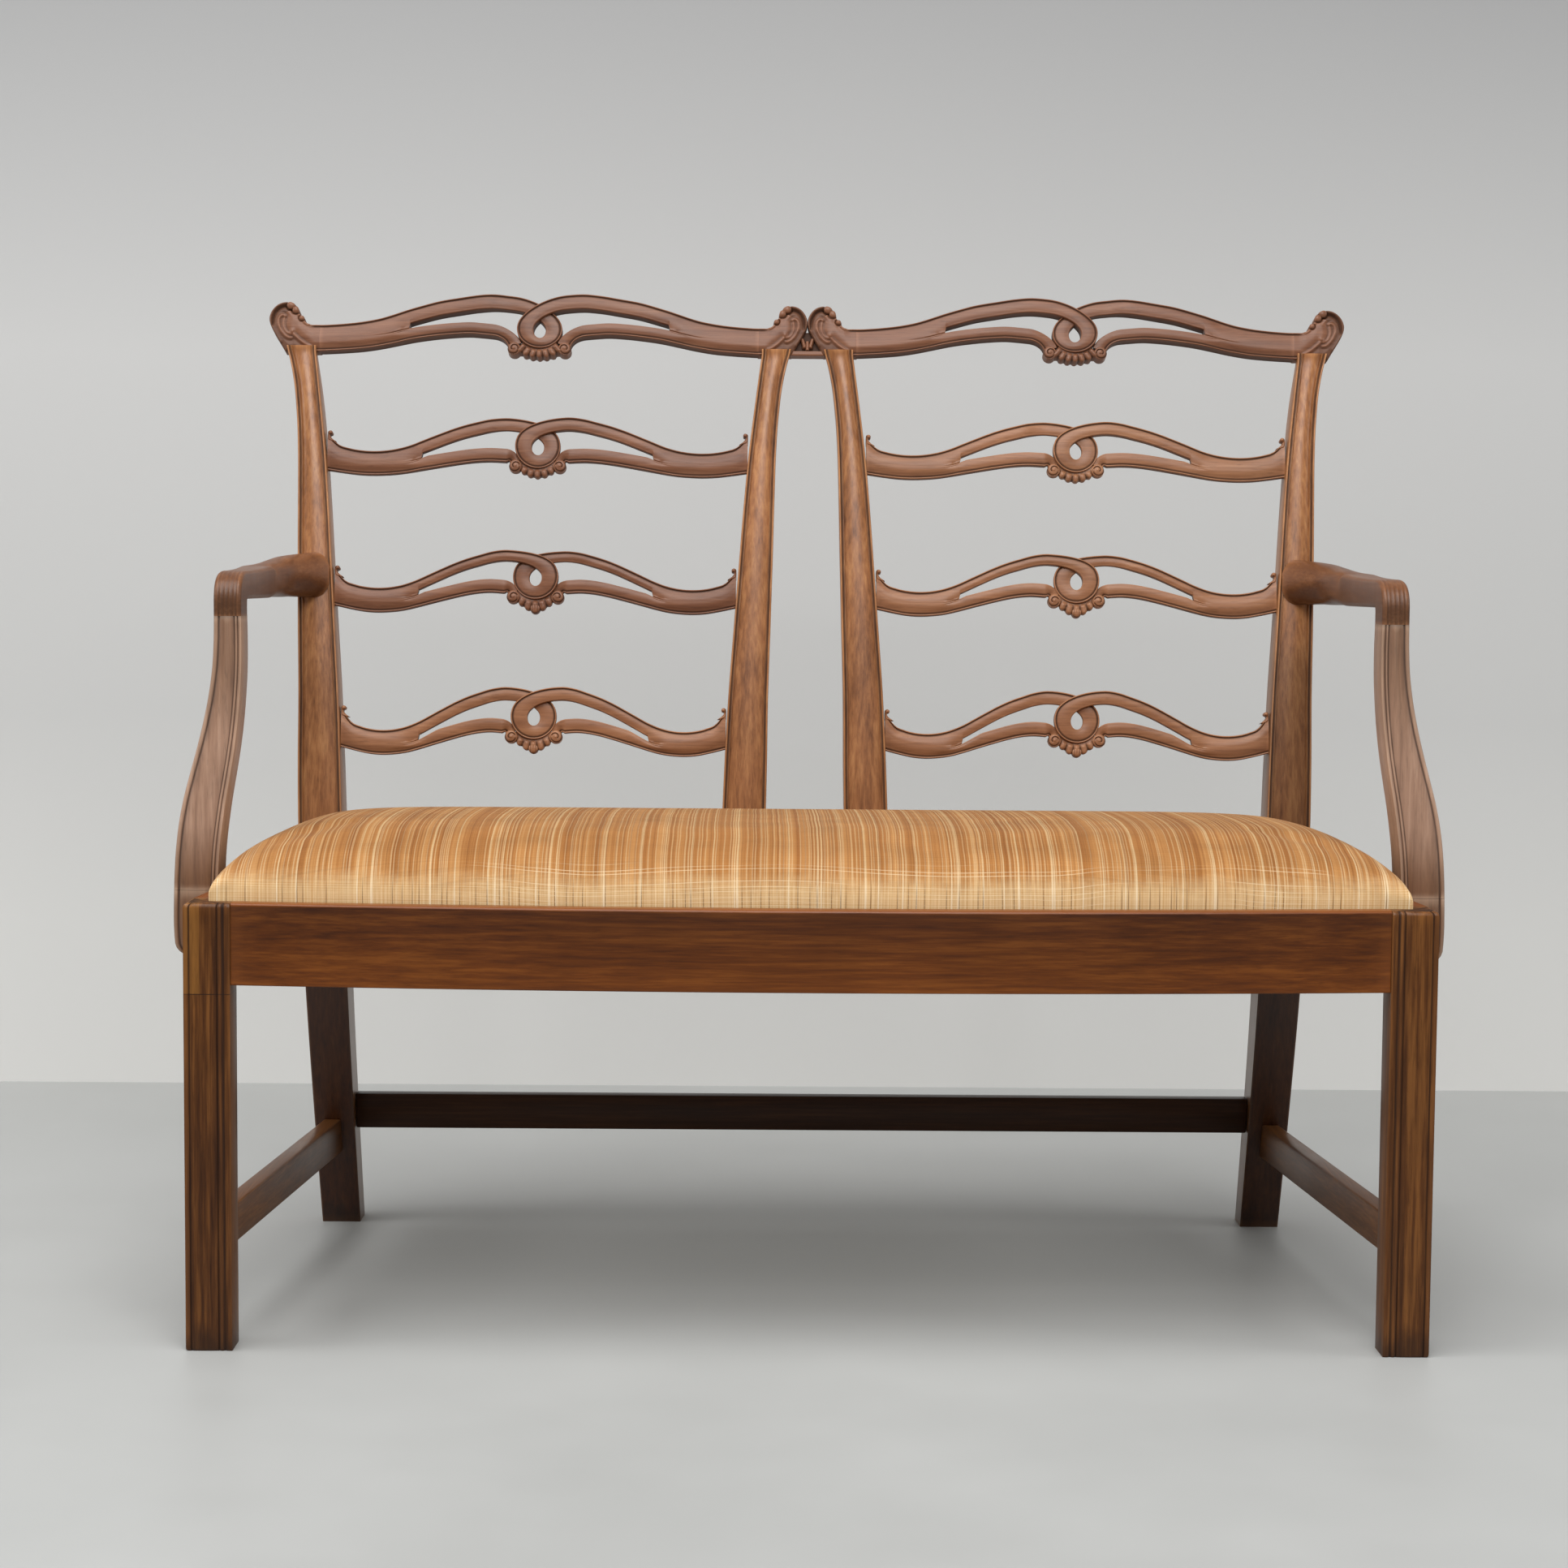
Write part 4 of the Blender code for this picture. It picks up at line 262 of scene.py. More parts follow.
# Materials
class Nodes:
    """Short way to build a node tree."""

    def __init__(self, name):
        self.material = bpy.data.materials.new(name)
        self.material.use_nodes = True
        self.tree = self.material.node_tree
        self.shader = self.tree.nodes["Principled BSDF"]
        self.place = self.node("ShaderNodeTexCoord").outputs["Object"]

    def node(self, kind, inputs=None, **settings):
        made = self.tree.nodes.new(kind)
        for key, value in settings.items():
            setattr(made, key, value)
        for key, value in (inputs or {}).items():
            self.put(made.inputs[key], value)
        return made

    def put(self, socket, value):
        if isinstance(value, bpy.types.NodeSocket):
            self.tree.links.new(value, socket)
        else:
            socket.default_value = (*value, 1) if socket.type == "RGBA" else value

    def surface(self, colour, roughness, normal=None, **others):
        """Sets the shader's inputs and gives the finished material."""
        inputs = {"Base Color": colour, "Roughness": roughness, "Normal": normal}
        inputs.update((key.replace("_", " "), value) for key, value in others.items())
        for key, value in inputs.items():
            if value is not None:
                self.put(self.shader.inputs[key], value)
        return self.material

    def scaled(self, scale, offset=(0, 0, 0)):
        made = self.node("ShaderNodeMapping", {"Vector": self.place, "Scale": scale, "Location": offset})
        return made.outputs["Vector"]

    def noise(self, vector, scale=1.0, detail=3.0, roughness=0.55, distortion=0.0):
        made = self.node("ShaderNodeTexNoise", {"Vector": vector, "Scale": scale, "Detail": detail,
                                                "Roughness": roughness, "Distortion": distortion})
        return made.outputs["Fac"]

    def uneven(self, scales, detail=2.0, roughness=0.55):
        """Noise with a scale of its own along each axis."""
        return self.noise(self.scaled(scales), 1.0, detail, roughness)

    def random(self, value):
        return self.node("ShaderNodeTexWhiteNoise", {"W": value}, noise_dimensions="1D").outputs["Value"]

    def ramp(self, value, stops):
        """Stops are (place, number) or (place, colour)."""
        made = self.node("ShaderNodeValToRGB", {"Fac": value})
        elements = made.color_ramp.elements
        while len(elements) < len(stops):
            elements.new(0.5)
        for element, (place, colour) in zip(elements, stops):
            element.position = place
            element.color = (colour,) * 3 + (1,) if isinstance(colour, (int, float)) else (*colour, 1)
        return made.outputs["Color"]

    def blend(self, share, low, high, kind="MIX"):
        return self.node("ShaderNodeMix", {"Factor": share, "A": low, "B": high}, data_type="RGBA",
                         blend_type=kind).outputs["Result"]

    def shaded(self, colour, share, source, stops):
        """A colour multiplied by a ramp."""
        return self.blend(share, colour, self.ramp(source, stops), "MULTIPLY")

    def math(self, operation, a, b=0.0, clamp=False):
        made = self.node("ShaderNodeMath", {0: a, 1: b}, operation=operation, use_clamp=clamp)
        return made.outputs["Value"]

    def plus(self, a, b):
        return self.math("ADD", a, b)

    def times(self, a, b, clamp=False):
        return self.math("MULTIPLY", a, b, clamp)

    def weighted(self, *parts):
        """Sum of (value, weight) parts."""
        total = self.times(*parts[-1])
        for part in parts[-2::-1]:
            total = self.plus(self.times(*part), total)
        return total

    def axis(self, letter, source=None):
        return self.node("ShaderNodeSeparateXYZ", {"Vector": source or self.place}).outputs[letter]

    def falling(self, source, low, high):
        """1 where a value is below low, 0 where it is above high."""
        return self.node("ShaderNodeMapRange", {"Value": source, "From Min": high, "From Max": low},
                         interpolation_type="SMOOTHSTEP").outputs["Result"]

    def bump(self, height, distance, strength=1.0, normal=None):
        made = self.node("ShaderNodeBump", {"Distance": distance, "Strength": strength, "Height": height})
        if normal is not None:
            self.put(made.inputs["Normal"], normal)
        return made.outputs["Normal"]


GRAIN_SCALES = {"X": (1.0, 26.0, 26.0), "Y": (26.0, 1.0, 26.0), "Z": (26.0, 26.0, 1.0)}
PORE_SCALES = {"X": (7.0, 60.0, 60.0), "Y": (60.0, 7.0, 60.0), "Z": (60.0, 60.0, 7.0)}
DARK_POLISH_AND_SHADE = (0.020, 0.008, 0.004)
PATCH_FOOT = 0.328
PATCH_SIDE = -0.553
PATCH_SEAM = 0.0005
PATCH_TONES = ((0.38, (0.105, 0.038, 0.007)), (0.6, (0.215, 0.088, 0.018)))
SCUFF_LOW, SCUFF_HIGH = 0.030, 0.058


def repaired(m, tone, colour):
    """Paler new wood at the top of one leg, above a dark joint."""
    height = m.axis("Z")
    zone = m.times(m.math("GREATER_THAN", height, PATCH_FOOT), m.math("LESS_THAN", m.axis("X"), PATCH_SIDE))
    colour = m.blend(zone, colour, m.ramp(tone, PATCH_TONES))
    seam = m.math("LESS_THAN", m.math("ABSOLUTE", m.math("SUBTRACT", height, PATCH_FOOT)), PATCH_SEAM)
    return m.blend(m.times(seam, 0.8), colour, DARK_POLISH_AND_SHADE)


def wood(name, tones, grain, seed, gloss=0.34, shine=0.5, shades=(), figure=0.13, foot=False, patch=False):
    """Polished hardwood: long figure, fine pores, dark polish in the grooves with painted shade where the
    carve value marks sides, undersides and recesses, worn high edges, and a painted highlight where the
    carve value is negative.

    shades darken the colour by height, most of it painted shade: they are (colour factor, height where it
    is full, height where it ends).
    """
    dark, middle, light = tones
    m = Nodes(name)
    along = m.scaled(GRAIN_SCALES[grain], (seed, seed * 0.7, seed * 1.3))
    broad = m.noise(along, 3.4, 4.0, 0.6, 0.3)
    fine = m.noise(along, 13.0, 5.0, 0.62, 0.1)
    cloud = m.noise(m.place, 7.0 + seed, 3.0, 0.6)
    tone = m.weighted((broad, 0.5), (fine, 0.5))
    colour = m.ramp(tone, ((0.5 - figure, dark), (0.50, middle), (0.5 + figure, light)))
    if patch:
        colour = repaired(m, tone, colour)
    colour = m.shaded(colour, 0.6, cloud, ((0.32, 0.76), (0.68, 1.10)))
    pores = m.noise(m.scaled(PORE_SCALES[grain]), 9.0, 2.0, 0.5)
    colour = m.shaded(colour, 0.35, pores, ((0.30, 0.50), (0.42, 1.0)))
    # Darkening by height, most of it painted shade.
    for shade, full_at, none_at in shades:
        shaded = m.blend(1.0, colour, shade, "MULTIPLY")
        colour = m.blend(m.falling(m.axis("Z"), full_at, none_at), colour, shaded)
    carve = m.node("ShaderNodeAttribute", attribute_name="carve").outputs["Fac"]
    pointed = m.node("ShaderNodeNewGeometry").outputs["Pointiness"]
    worn = m.times(m.ramp(pointed, ((0.515, 0.0), (0.60, 1.0))), 0.35)
    # A negative carve value adds a painted highlight here, lightened the same way as a worn edge.
    worn = m.math("MAXIMUM", worn, m.times(carve, -0.9))
    colour = m.blend(worn, colour, tuple(min(1.0, c * 1.9 + 0.02) for c in light))
    if foot:
        ragged = m.times(m.uneven((90.0, 90.0, 30.0), 3.0), 0.05)
        scuff = m.falling(m.plus(m.axis("Z"), ragged), SCUFF_LOW, SCUFF_HIGH)
        colour = m.blend(m.times(scuff, 0.62), colour, DARK_POLISH_AND_SHADE)
    # Dark polish in the grooves, and painted shade where the carve value marks sides, undersides and
    # recesses.
    colour = m.blend(m.times(carve, 0.80, True), colour, DARK_POLISH_AND_SHADE)
    rough = m.plus(m.plus(m.times(cloud, 0.16), gloss - 0.08), m.times(carve, 0.30, True))
    normal = m.bump(m.blend(0.35, pores, fine), 0.0003, 0.4)
    return m.surface(colour, rough, normal, Specular_IOR_Level=shine)


def plain_wood(name, grain):
    """Unfinished secondary wood with saw marks."""
    m = Nodes(name)
    streak = m.noise(m.scaled(GRAIN_SCALES[grain]), 6.0, 5.0, 0.6, 0.4)
    colour = m.ramp(streak, ((0.3, (0.26, 0.155, 0.072)), (0.7, (0.50, 0.34, 0.18))))
    saw = m.noise(m.scaled((160.0, 8.0, 8.0)), 2.0, 2.0)
    return m.surface(colour, m.ramp(streak, ((0.0, 0.62), (1.0, 0.82))), m.bump(saw, 0.0005, 0.6))


def steel(name):
    """Dull old screw heads, a little rusted."""
    m = Nodes(name)
    spots = m.noise(m.place, 420.0, 4.0, 0.6)
    colour = m.ramp(spots, ((0.42, (0.16, 0.13, 0.11)), (0.6, (0.38, 0.36, 0.33))))
    rough = m.ramp(spots, ((0.4, 0.65), (0.6, 0.38)))
    return m.surface(colour, rough, m.bump(spots, 0.0001, 0.5), Metallic=0.9)


def weave(name, dark, light, thread_scale, thread_depth):
    """Plain open weave seen on both faces."""
    m = Nodes(name)
    threads = [m.node("ShaderNodeTexWave", {"Vector": m.place, "Scale": thread_scale}, wave_type="BANDS",
                      bands_direction=way).outputs["Fac"] for way in "XY"]
    tone = m.weighted((m.math("MAXIMUM", *threads), 0.7), (m.noise(m.place, 900.0, 3.0), 0.3))
    colour = m.ramp(tone, ((0.2, dark), (0.8, light)))
    return m.surface(colour, 0.92, m.bump(tone, thread_depth, 0.8), Sheen_Weight=0.2)


def felt(name, dark, light):
    """Matted fibres of a pad."""
    m = Nodes(name)
    fibres = m.noise(m.place, 320.0, 6.0, 0.75)
    return m.surface(m.ramp(fibres, ((0.3, dark), (0.7, light))), 0.97, m.bump(fibres, 0.001, 0.7))


CREAM = (0.760, 0.560, 0.330)
BRIGHT_CREAM = (0.90, 0.76, 0.54)
SCRATCH = (0.86, 0.68, 0.44)
CRACK = (0.160, 0.075, 0.022)
DARK_LINE = (0.270, 0.100, 0.022)
PILE_TONES = ((0.36, (0.300, 0.110, 0.024)), (0.46, (0.420, 0.182, 0.050)), (0.56, (0.545, 0.275, 0.096)),
              (0.66, (0.660, 0.395, 0.180)))
PILE_TOP_PAINTED_SHADE = ((0.0, (0.64, 0.57, 0.47)), (1.0, (0.80, 0.77, 0.73)))
BARE_TONES = ((0.40, (0.66, 0.410, 0.170)), (0.60, (0.94, 0.720, 0.420)))
SEAT_SHOULDER = RAIL_TOP + 0.056


def striped_pile(name):
    """Ochre pile with streaked stripes from front to back, a worn flat band along the front, and painted
    shade on its top.
    """
    m = Nodes(name)
    wander = m.times(m.uneven((5.0, 8.0, 8.0)), 0.004)
    height = m.axis("Z")
    end_on = m.math("ABSOLUTE", m.axis("X", m.node("ShaderNodeNewGeometry").outputs["Normal"]))
    side = m.times(m.math("SIGN", m.axis("X")), m.falling(end_on, 0.85, 0.45))
    across = m.plus(m.plus(m.axis("X"), wander), m.times(m.math("SUBTRACT", SEAT_SHOULDER, height), side))

    def streaks(scale, offset, detail, source=across):
        line = m.node("ShaderNodeCombineXYZ", {"X": source, "Y": offset})
        return m.noise(line.outputs["Vector"], scale, detail, 0.6)

    def lines(spacing, width, seed, kept, source=across):
        """One thin line at a random place in each stretch, with the share of stretches that have one."""
        scaled = m.plus(m.math("DIVIDE", source, spacing), seed)
        cell = m.math("FLOOR", scaled)
        place = m.plus(m.times(m.random(cell), 0.6), 0.2)
        away = m.math("ABSOLUTE", m.math("SUBTRACT", m.math("FRACT", scaled), place))
        line = m.ramp(away, ((0.0, 1.0), (width / spacing / 2, 0.9), (width / spacing, 0.0)))
        return m.times(line, m.math("LESS_THAN", m.random(m.plus(cell, 71.3)), kept))

    tone = m.weighted((streaks(70.0, 3.1, 1.0), 0.42), (streaks(230.0, 7.7, 2.0), 0.30),
                      (streaks(640.0, 1.3, 2.0), 0.28))
    fine_lines = m.math("MAXIMUM", lines(0.0041, 0.0007, 0.37, 0.70), lines(0.0063, 0.0008, 0.71, 0.55))
    colour = m.blend(m.times(fine_lines, 0.48), m.ramp(tone, PILE_TONES), CREAM)
    colour = m.blend(m.times(lines(0.0052, 0.0009, 0.19, 0.6), 0.45), colour, DARK_LINE)
    cream_lines = m.math("MAXIMUM", lines(0.0235, 0.0008, 0.11, 0.78), lines(0.0580, 0.0012, 0.43, 0.85))
    colour = m.blend(m.times(cream_lines, 0.78), colour, CREAM)
    cloud = m.uneven((18.0, 26.0, 26.0), 3.0, 0.6)
    colour = m.shaded(colour, 0.7, cloud, ((0.3, 0.82), (0.7, 1.12)))
    weft = streaks(760.0, 2.2, 2.0, m.axis("Y"))
    colour = m.shaded(colour, 0.35, weft, ((0.38, 0.80), (0.62, 1.14)))
    # Darkens the pile, more on the top than on the front: the difference is painted shade.
    colour = m.shaded(colour, 1.0, m.falling(height, RAIL_TOP + 0.026, RAIL_TOP + 0.054), PILE_TOP_PAINTED_SHADE)

    ragged = m.times(m.uneven((38.0, 60.0, 60.0), 3.0), 0.016)
    low = m.falling(m.plus(height, ragged), RAIL_TOP + 0.012, RAIL_TOP + 0.042)
    worn = m.times(low, m.falling(m.axis("Y"), FRONT_Y + 0.05, FRONT_Y + 0.12))
    bare = m.weighted((streaks(900.0, 9.2, 2.0, height), 0.5), (streaks(520.0, 5.5, 1.0), 0.5))
    colour = m.blend(m.times(worn, 0.72), colour, m.ramp(bare, BARE_TONES))
    colour = m.blend(m.times(cream_lines, m.times(worn, 0.6)), colour, BRIGHT_CREAM)
    colour = m.blend(m.times(m.times(lines(0.0088, 0.0006, 0.53, 0.62), worn), 0.72), colour, CRACK)
    drift = m.plus(height, m.times(m.uneven((3.0, 3.0, 3.0)), 0.06))
    zone = m.ramp(m.uneven((5.0, 9.0, 9.0)), ((0.48, 0.0), (0.60, 1.0)))
    zone = m.times(m.times(zone, m.falling(height, RAIL_TOP + 0.030, RAIL_TOP + 0.040)), 0.42)
    colour = m.blend(m.times(lines(0.0046, 0.0004, 0.9, 0.6, drift), zone), colour, SCRATCH)

    normal = m.bump(m.weighted((tone, 0.8), (cream_lines, 0.3)), 0.0012, 0.5)
    normal = m.bump(m.blend(0.4, m.noise(m.place, 1500.0, 2.0), weft), 0.0005, 0.5, normal)
    return m.surface(colour, 0.9, normal, Specular_IOR_Level=0.25, Sheen_Weight=0.10, Sheen_Roughness=0.45,
                     Sheen_Tint=(1.0, 0.80, 0.55))


def scaled_tones(tones, *factors):
    """Wood tones with each colour channel multiplied by a factor."""
    return tuple(tuple(value * factor for value, factor in zip(tone, factors)) for tone in tones)


BACK_TONES = ((0.112, 0.037, 0.011), (0.268, 0.106, 0.036), (0.425, 0.198, 0.074))
SLAT_TONES = ((0.105, 0.040, 0.021), (0.178, 0.073, 0.038), (0.255, 0.115, 0.062))
ARM_TONES = ((0.055, 0.017, 0.005), (0.138, 0.049, 0.016), (0.255, 0.108, 0.042))
# Support tones are pale and greyish, which paints a highlight down the supports' middle.
SUPPORT_TONES_AND_HIGHLIGHT = ((0.120, 0.058, 0.033), (0.345, 0.196, 0.126), (0.580, 0.370, 0.262))
RAIL_TONES = ((0.045, 0.009, 0.001), (0.100, 0.024, 0.002), (0.175, 0.050, 0.006))
LEG_TONES = ((0.035, 0.010, 0.002), (0.088, 0.029, 0.006), (0.180, 0.068, 0.016))
# The very dark rear rail and stretcher tones are partly painted shade under the seat.
REAR_TONES = ((0.010, 0.003, 0.001), (0.022, 0.007, 0.002), (0.044, 0.015, 0.004))

UNDER_SEAT = 0.30
UNDER_ARM = RAIL_TOP + 0.235
# Posts and stiles a little darker below the arm's height, and much darker below the seat, which is painted
# shade with a partly darker colour.
POST_SHADES = (((0.86, 0.86, 0.86), UNDER_ARM - 0.05, UNDER_ARM + 0.03),
               ((0.24, 0.16, 0.08), UNDER_SEAT, RAIL_TOP + 0.02))
# The right post's copy has painted shadow below the arm.
RIGHT_POST_PAINTED_SHADE = (((0.54, 0.54, 0.54), UNDER_ARM - 0.05, UNDER_ARM + 0.03),
                     ((0.34, 0.24, 0.13), UNDER_SEAT, RAIL_TOP + 0.02))
# The arm darker low down, over the knuckle's front and its underside: handling dirt on the knuckle, painted
# shade on the underside.
ARM_SHADES = (((0.62, 0.66, 0.72), UNDER_ARM + 0.030, UNDER_ARM + 0.058),)
# Supports darker towards the arm, as painted shade, and darker just above the rail; the pale middle between
# is a painted highlight.
SUPPORT_SHADES = (((0.66, 0.60, 0.52), RAIL_TOP + 0.225, RAIL_TOP + 0.125),
                  ((0.44, 0.33, 0.21), RAIL_TOP + 0.004, RAIL_TOP + 0.070))

back_wood = wood("back_wood", BACK_TONES, "Z", 1.7, 0.34, 0.46, POST_SHADES, 0.19, True)
right_post_painted_shade_wood = wood("right_post_painted_shade_wood", BACK_TONES, "Z", 1.7, 0.34, 0.42, RIGHT_POST_PAINTED_SHADE, 0.19, True)
slat_wood = wood("slat_wood", scaled_tones(SLAT_TONES, 0.93, 0.93, 0.92), "X", 4.1, 0.36, 0.27, (), 0.24)
warm_slat_wood = wood("warm_slat_wood", scaled_tones(SLAT_TONES, 1.40, 1.50, 1.38), "X", 4.1, 0.36, 0.27,
                      (), 0.24)
arm_wood = wood("arm_wood", ARM_TONES, "Y", 6.3, 0.40, 0.36, ARM_SHADES, 0.36)
support_wood = wood("support_wood", SUPPORT_TONES_AND_HIGHLIGHT, "Z", 8.9, 0.42, 0.70, SUPPORT_SHADES, 0.34)
rail_wood = wood("rail_wood", RAIL_TONES, "X", 2.6, 0.30, 0.22)
side_rail_wood = wood("side_rail_wood", RAIL_TONES, "Y", 3.9, 0.30, 0.3)
leg_wood = wood("leg_wood", LEG_TONES, "Z", 5.2, 0.34, 0.22, foot=True)
patched_leg_wood = wood("patched_leg_wood", LEG_TONES, "Z", 5.2, 0.34, 0.22, foot=True, patch=True)
rear_wood = wood("rear_wood", REAR_TONES, "X", 7.4, shine=0.15)
side_stretcher_wood = wood("side_stretcher_wood", LEG_TONES, "Y", 9.3, shine=0.3)
secondary_wood = plain_wood("secondary_wood", "X")
side_secondary_wood = plain_wood("side_secondary_wood", "Y")
screw_steel = steel("screw_steel")
jute = weave("jute_webbing", (0.22, 0.15, 0.07), (0.52, 0.40, 0.23), 218.75, 0.0006)
hessian = weave("hessian", (0.26, 0.19, 0.10), (0.58, 0.46, 0.29), 281.25, 0.0004)
padding_felt = felt("padding_felt", (0.45, 0.40, 0.30), (0.70, 0.65, 0.54))
striped_cover = striped_pile("striped_cover")


# Moulded bands
EDGE_BEAD = ((0.0, 1.10, 0.25), (0.00025, 0.40, 0.0), (0.00075, 0.0, 0.0), (0.00125, 0.20, 0.1),
             (0.00165, 1.0, 0.8), (0.0021, 1.45, 1.0), (0.0028, 1.15, 0.75), (0.0036, 0.55, 0.3))
PLAIN_EDGE = ((0.0, 1.0, 0.15), (0.0003, 0.35, 0.0), (0.0008, 0.05, 0.0), (0.0013, 0.0, 0.0))
BEAD_REACH = 0.0042
JOIN_INSET = 0.0016
# Side walls of the bands get painted shade, as seen from below; backs are painted somewhat darker.
SIDE_PAINTED_SHADE = 1.0
BACK_DARKENING = 0.35
UPRIGHT_POLISH = 0.95
GROOVE = 0.0010
BODY_SHARES = (0.0, 0.12, 0.3, 0.5, 0.7, 0.88, 1.0)
FREE_CROWN = 0.0005
JOINED_CROWN = 0.0019


def edge_columns(rows, scale):
    return [(offset * scale, -drop * GROOVE * scale, carve) for offset, drop, carve in rows]


def band_columns(width, split=None, crease=None, crown=FREE_CROWN, scale=1.0):
    """Distance from the outer edge, height and carve of each column across a band.

    A band has a bead and a groove along its outer edge. Its inner edge has them too unless
    split is given: 1 where that edge is free, 0 where the next band carries its face on.
    """
    columns = []
    start = BEAD_REACH * scale
    if split is None:
        rise, crown_here, sunk = 0 * width, crown + 0 * width, 0 * width
        finish = width - start
    else:
        rise, crown_here = 1 - split, mix(JOINED_CROWN, crown, split)
        sunk = crown_here - crown
        finish = width - JOIN_INSET
    for offset, relief, carve in edge_columns(EDGE_BEAD, scale):
        columns.append((offset + 0 * width, relief - sunk, carve + 0 * width))
    for share in BODY_SHARES:
        both = (1 - (2 * share - 1) ** 2) - 1
        one = (1 - (1 - share) ** 2) - 1
        columns.append((mix(start, finish, share), crown_here * mix(both, one, rise), 0 * width))
    if split is None:
        for offset, relief, carve in edge_columns(EDGE_BEAD, scale)[::-1]:
            columns.append((width - offset, relief + 0 * width, carve + 0 * width))
    else:
        for offset, relief, carve in edge_columns(PLAIN_EDGE, 1.0)[::-1]:
            joint = 0.5 * (offset < 0.0004) * rise
            height = relief * crease - mix(0, crown, split)
            columns.append((width - offset, height, (carve + joint) * crease))
    return columns


def band(shape, place, outer, inner, heights, thickness, split, crease, chamfer=0.003):
    """Sweeps a moulded band between two edge lines drawn in a sloping plane."""
    across = inner - outer
    width = np.linalg.norm(across, axis=1)
    unit = across / width[:, None]
    rings = []
    carves = []
    for offset, relief, carve in band_columns(width, split, crease):
        point = outer + unit * offset[:, None]
        rings.append(place(point[:, 0], point[:, 1], thickness - heights - relief))
        carves.append(carve)
    cut = np.minimum(chamfer, width * 0.3)
    side = thickness - chamfer
    # The side walls carry painted shade and the backs are painted somewhat darker.
    for offset, inward, polish in ((width, side, SIDE_PAINTED_SHADE), (width - cut, thickness, BACK_DARKENING),
                                   (cut, thickness, BACK_DARKENING), (0 * width, side, SIDE_PAINTED_SHADE)):
        point = outer + unit * offset[:, None]
        rings.append(place(point[:, 0], point[:, 1], inward + 0 * width))
        carves.append(np.full(len(width), polish))
    return shape.loft(np.stack(rings, 1), np.stack(carves, 1))


def bezier(start, start_way, end, end_way, start_pull, end_pull, count):
    start = np.array(start, float)
    end = np.array(end, float)
    start_way = np.array(start_way, float) / np.linalg.norm(start_way)
    end_way = np.array(end_way, float) / np.linalg.norm(end_way)
    p1 = start + start_way * start_pull
    p2 = end - end_way * end_pull
    t = np.linspace(0, 1, count)[:, None]
    return start * (1 - t) ** 3 + 3 * p1 * t * (1 - t) ** 2 + 3 * p2 * t * t * (1 - t) + end * t ** 3


LOOP_ENTRY = 0.030
LOOP_TURN = math.radians(25)
EYE_TURN = math.radians(20)
OUTER_PULLS = (0.023, 0.014)
INNER_PULLS = (0.021, 0.008)
RING_SINK = 0.0038
UNDER_SINK = 0.0052
ENTRY_STEPS = 15
RING_STEPS = 32
FOOT_BEND_STEPS = 14
STEP = 0.001


def moved(place, side=1, shift=0.0):
    """The same placing, with x mirrored or shifted first."""
    return lambda x, rise, inward: place(np.asarray(x) * side + shift, rise, inward)


def strand_places(design, nearest):
    """Stations along a strand from the post to the loop, with some close together at the slot's end."""
    reach = design["reach"]
    closing = reach + SLOT_END * np.array([0.75, 0.5, 0.25])
    return np.concatenate([np.linspace(design["band_end"], reach + SLOT_END, 26), closing,
                           np.linspace(reach, nearest, 30)])


def heading(line, x):
    return (STEP, float(line(x - STEP) - line(x)))


def joint_shares(design, x):
    """How free the slot's edge is at each station, and how deep the crease that carries it on."""
    beyond = x - design["reach"]
    return 1 - smoothed(beyond / 0.020), np.clip(1 - beyond / design["crease"], 0, 1)


def loop_edge(line, x, half_width, half_height, centre, start_turn, pulls):
    """One edge of the loop's band: in along a strand, round an ellipse, and out again mirrored."""
    flip = np.array([-1.0, 1.0])
    end = (half_width * math.cos(start_turn), centre + half_height * math.sin(start_turn))
    way = (half_width * math.sin(start_turn), -half_height * math.cos(start_turn))
    start = (-LOOP_ENTRY, float(line(LOOP_ENTRY)))
    entry = bezier(start, heading(line, LOOP_ENTRY), end, way, *pulls, ENTRY_STEPS)
    turn = np.linspace(start_turn, -math.pi - start_turn, RING_STEPS + 2)[1:-1]
    ring = np.stack([half_width * np.cos(turn), centre + half_height * np.sin(turn)], 1)
    strand = np.stack([-x, line(x)], 1)
    return np.concatenate([strand, entry, ring, entry[::-1] * flip, strand[::-1] * flip])


def loop_band(shape, place, design, side):
    """The strand that comes in from one side, curls round the eye and passes under itself.

    side is 1 where the strand from -x lies on top, -1 for the mirrored loop.
    """
    eye, thickness, low = design["eye"], design["thickness"], design["low_height"]
    x = strand_places(design, LOOP_ENTRY * 1.05)
    outer = loop_edge(design["top"], x, RING_RADIUS, design["ring_height"], eye, LOOP_TURN, OUTER_PULLS)
    inner = loop_edge(design["split"], x, EYE_HALF_WIDTH, EYE_HALF_HEIGHT, eye - EYE_DROP, EYE_TURN,
                      INNER_PULLS)
    heights = np.concatenate([
        mix(low, thickness, smoothed((0.085 - x) / 0.055)),
        np.full(ENTRY_STEPS, thickness),
        thickness - RING_SINK * smoothed(np.linspace(0, 1, RING_STEPS)),
        mix(thickness - RING_SINK, thickness - UNDER_SINK, np.linspace(0, 1, ENTRY_STEPS)),
        mix(low, thickness - UNDER_SINK, smoothed((0.062 - x[::-1]) / 0.030))])
    split, crease = joint_shares(design, x)
    free = np.ones(2 * ENTRY_STEPS + RING_STEPS)
    turned = np.array([side, 1.0])
    band(shape, place, outer * turned, inner * turned, heights, thickness,
         np.concatenate([split, free, split[::-1]]), np.concatenate([crease, free, crease[::-1]]))


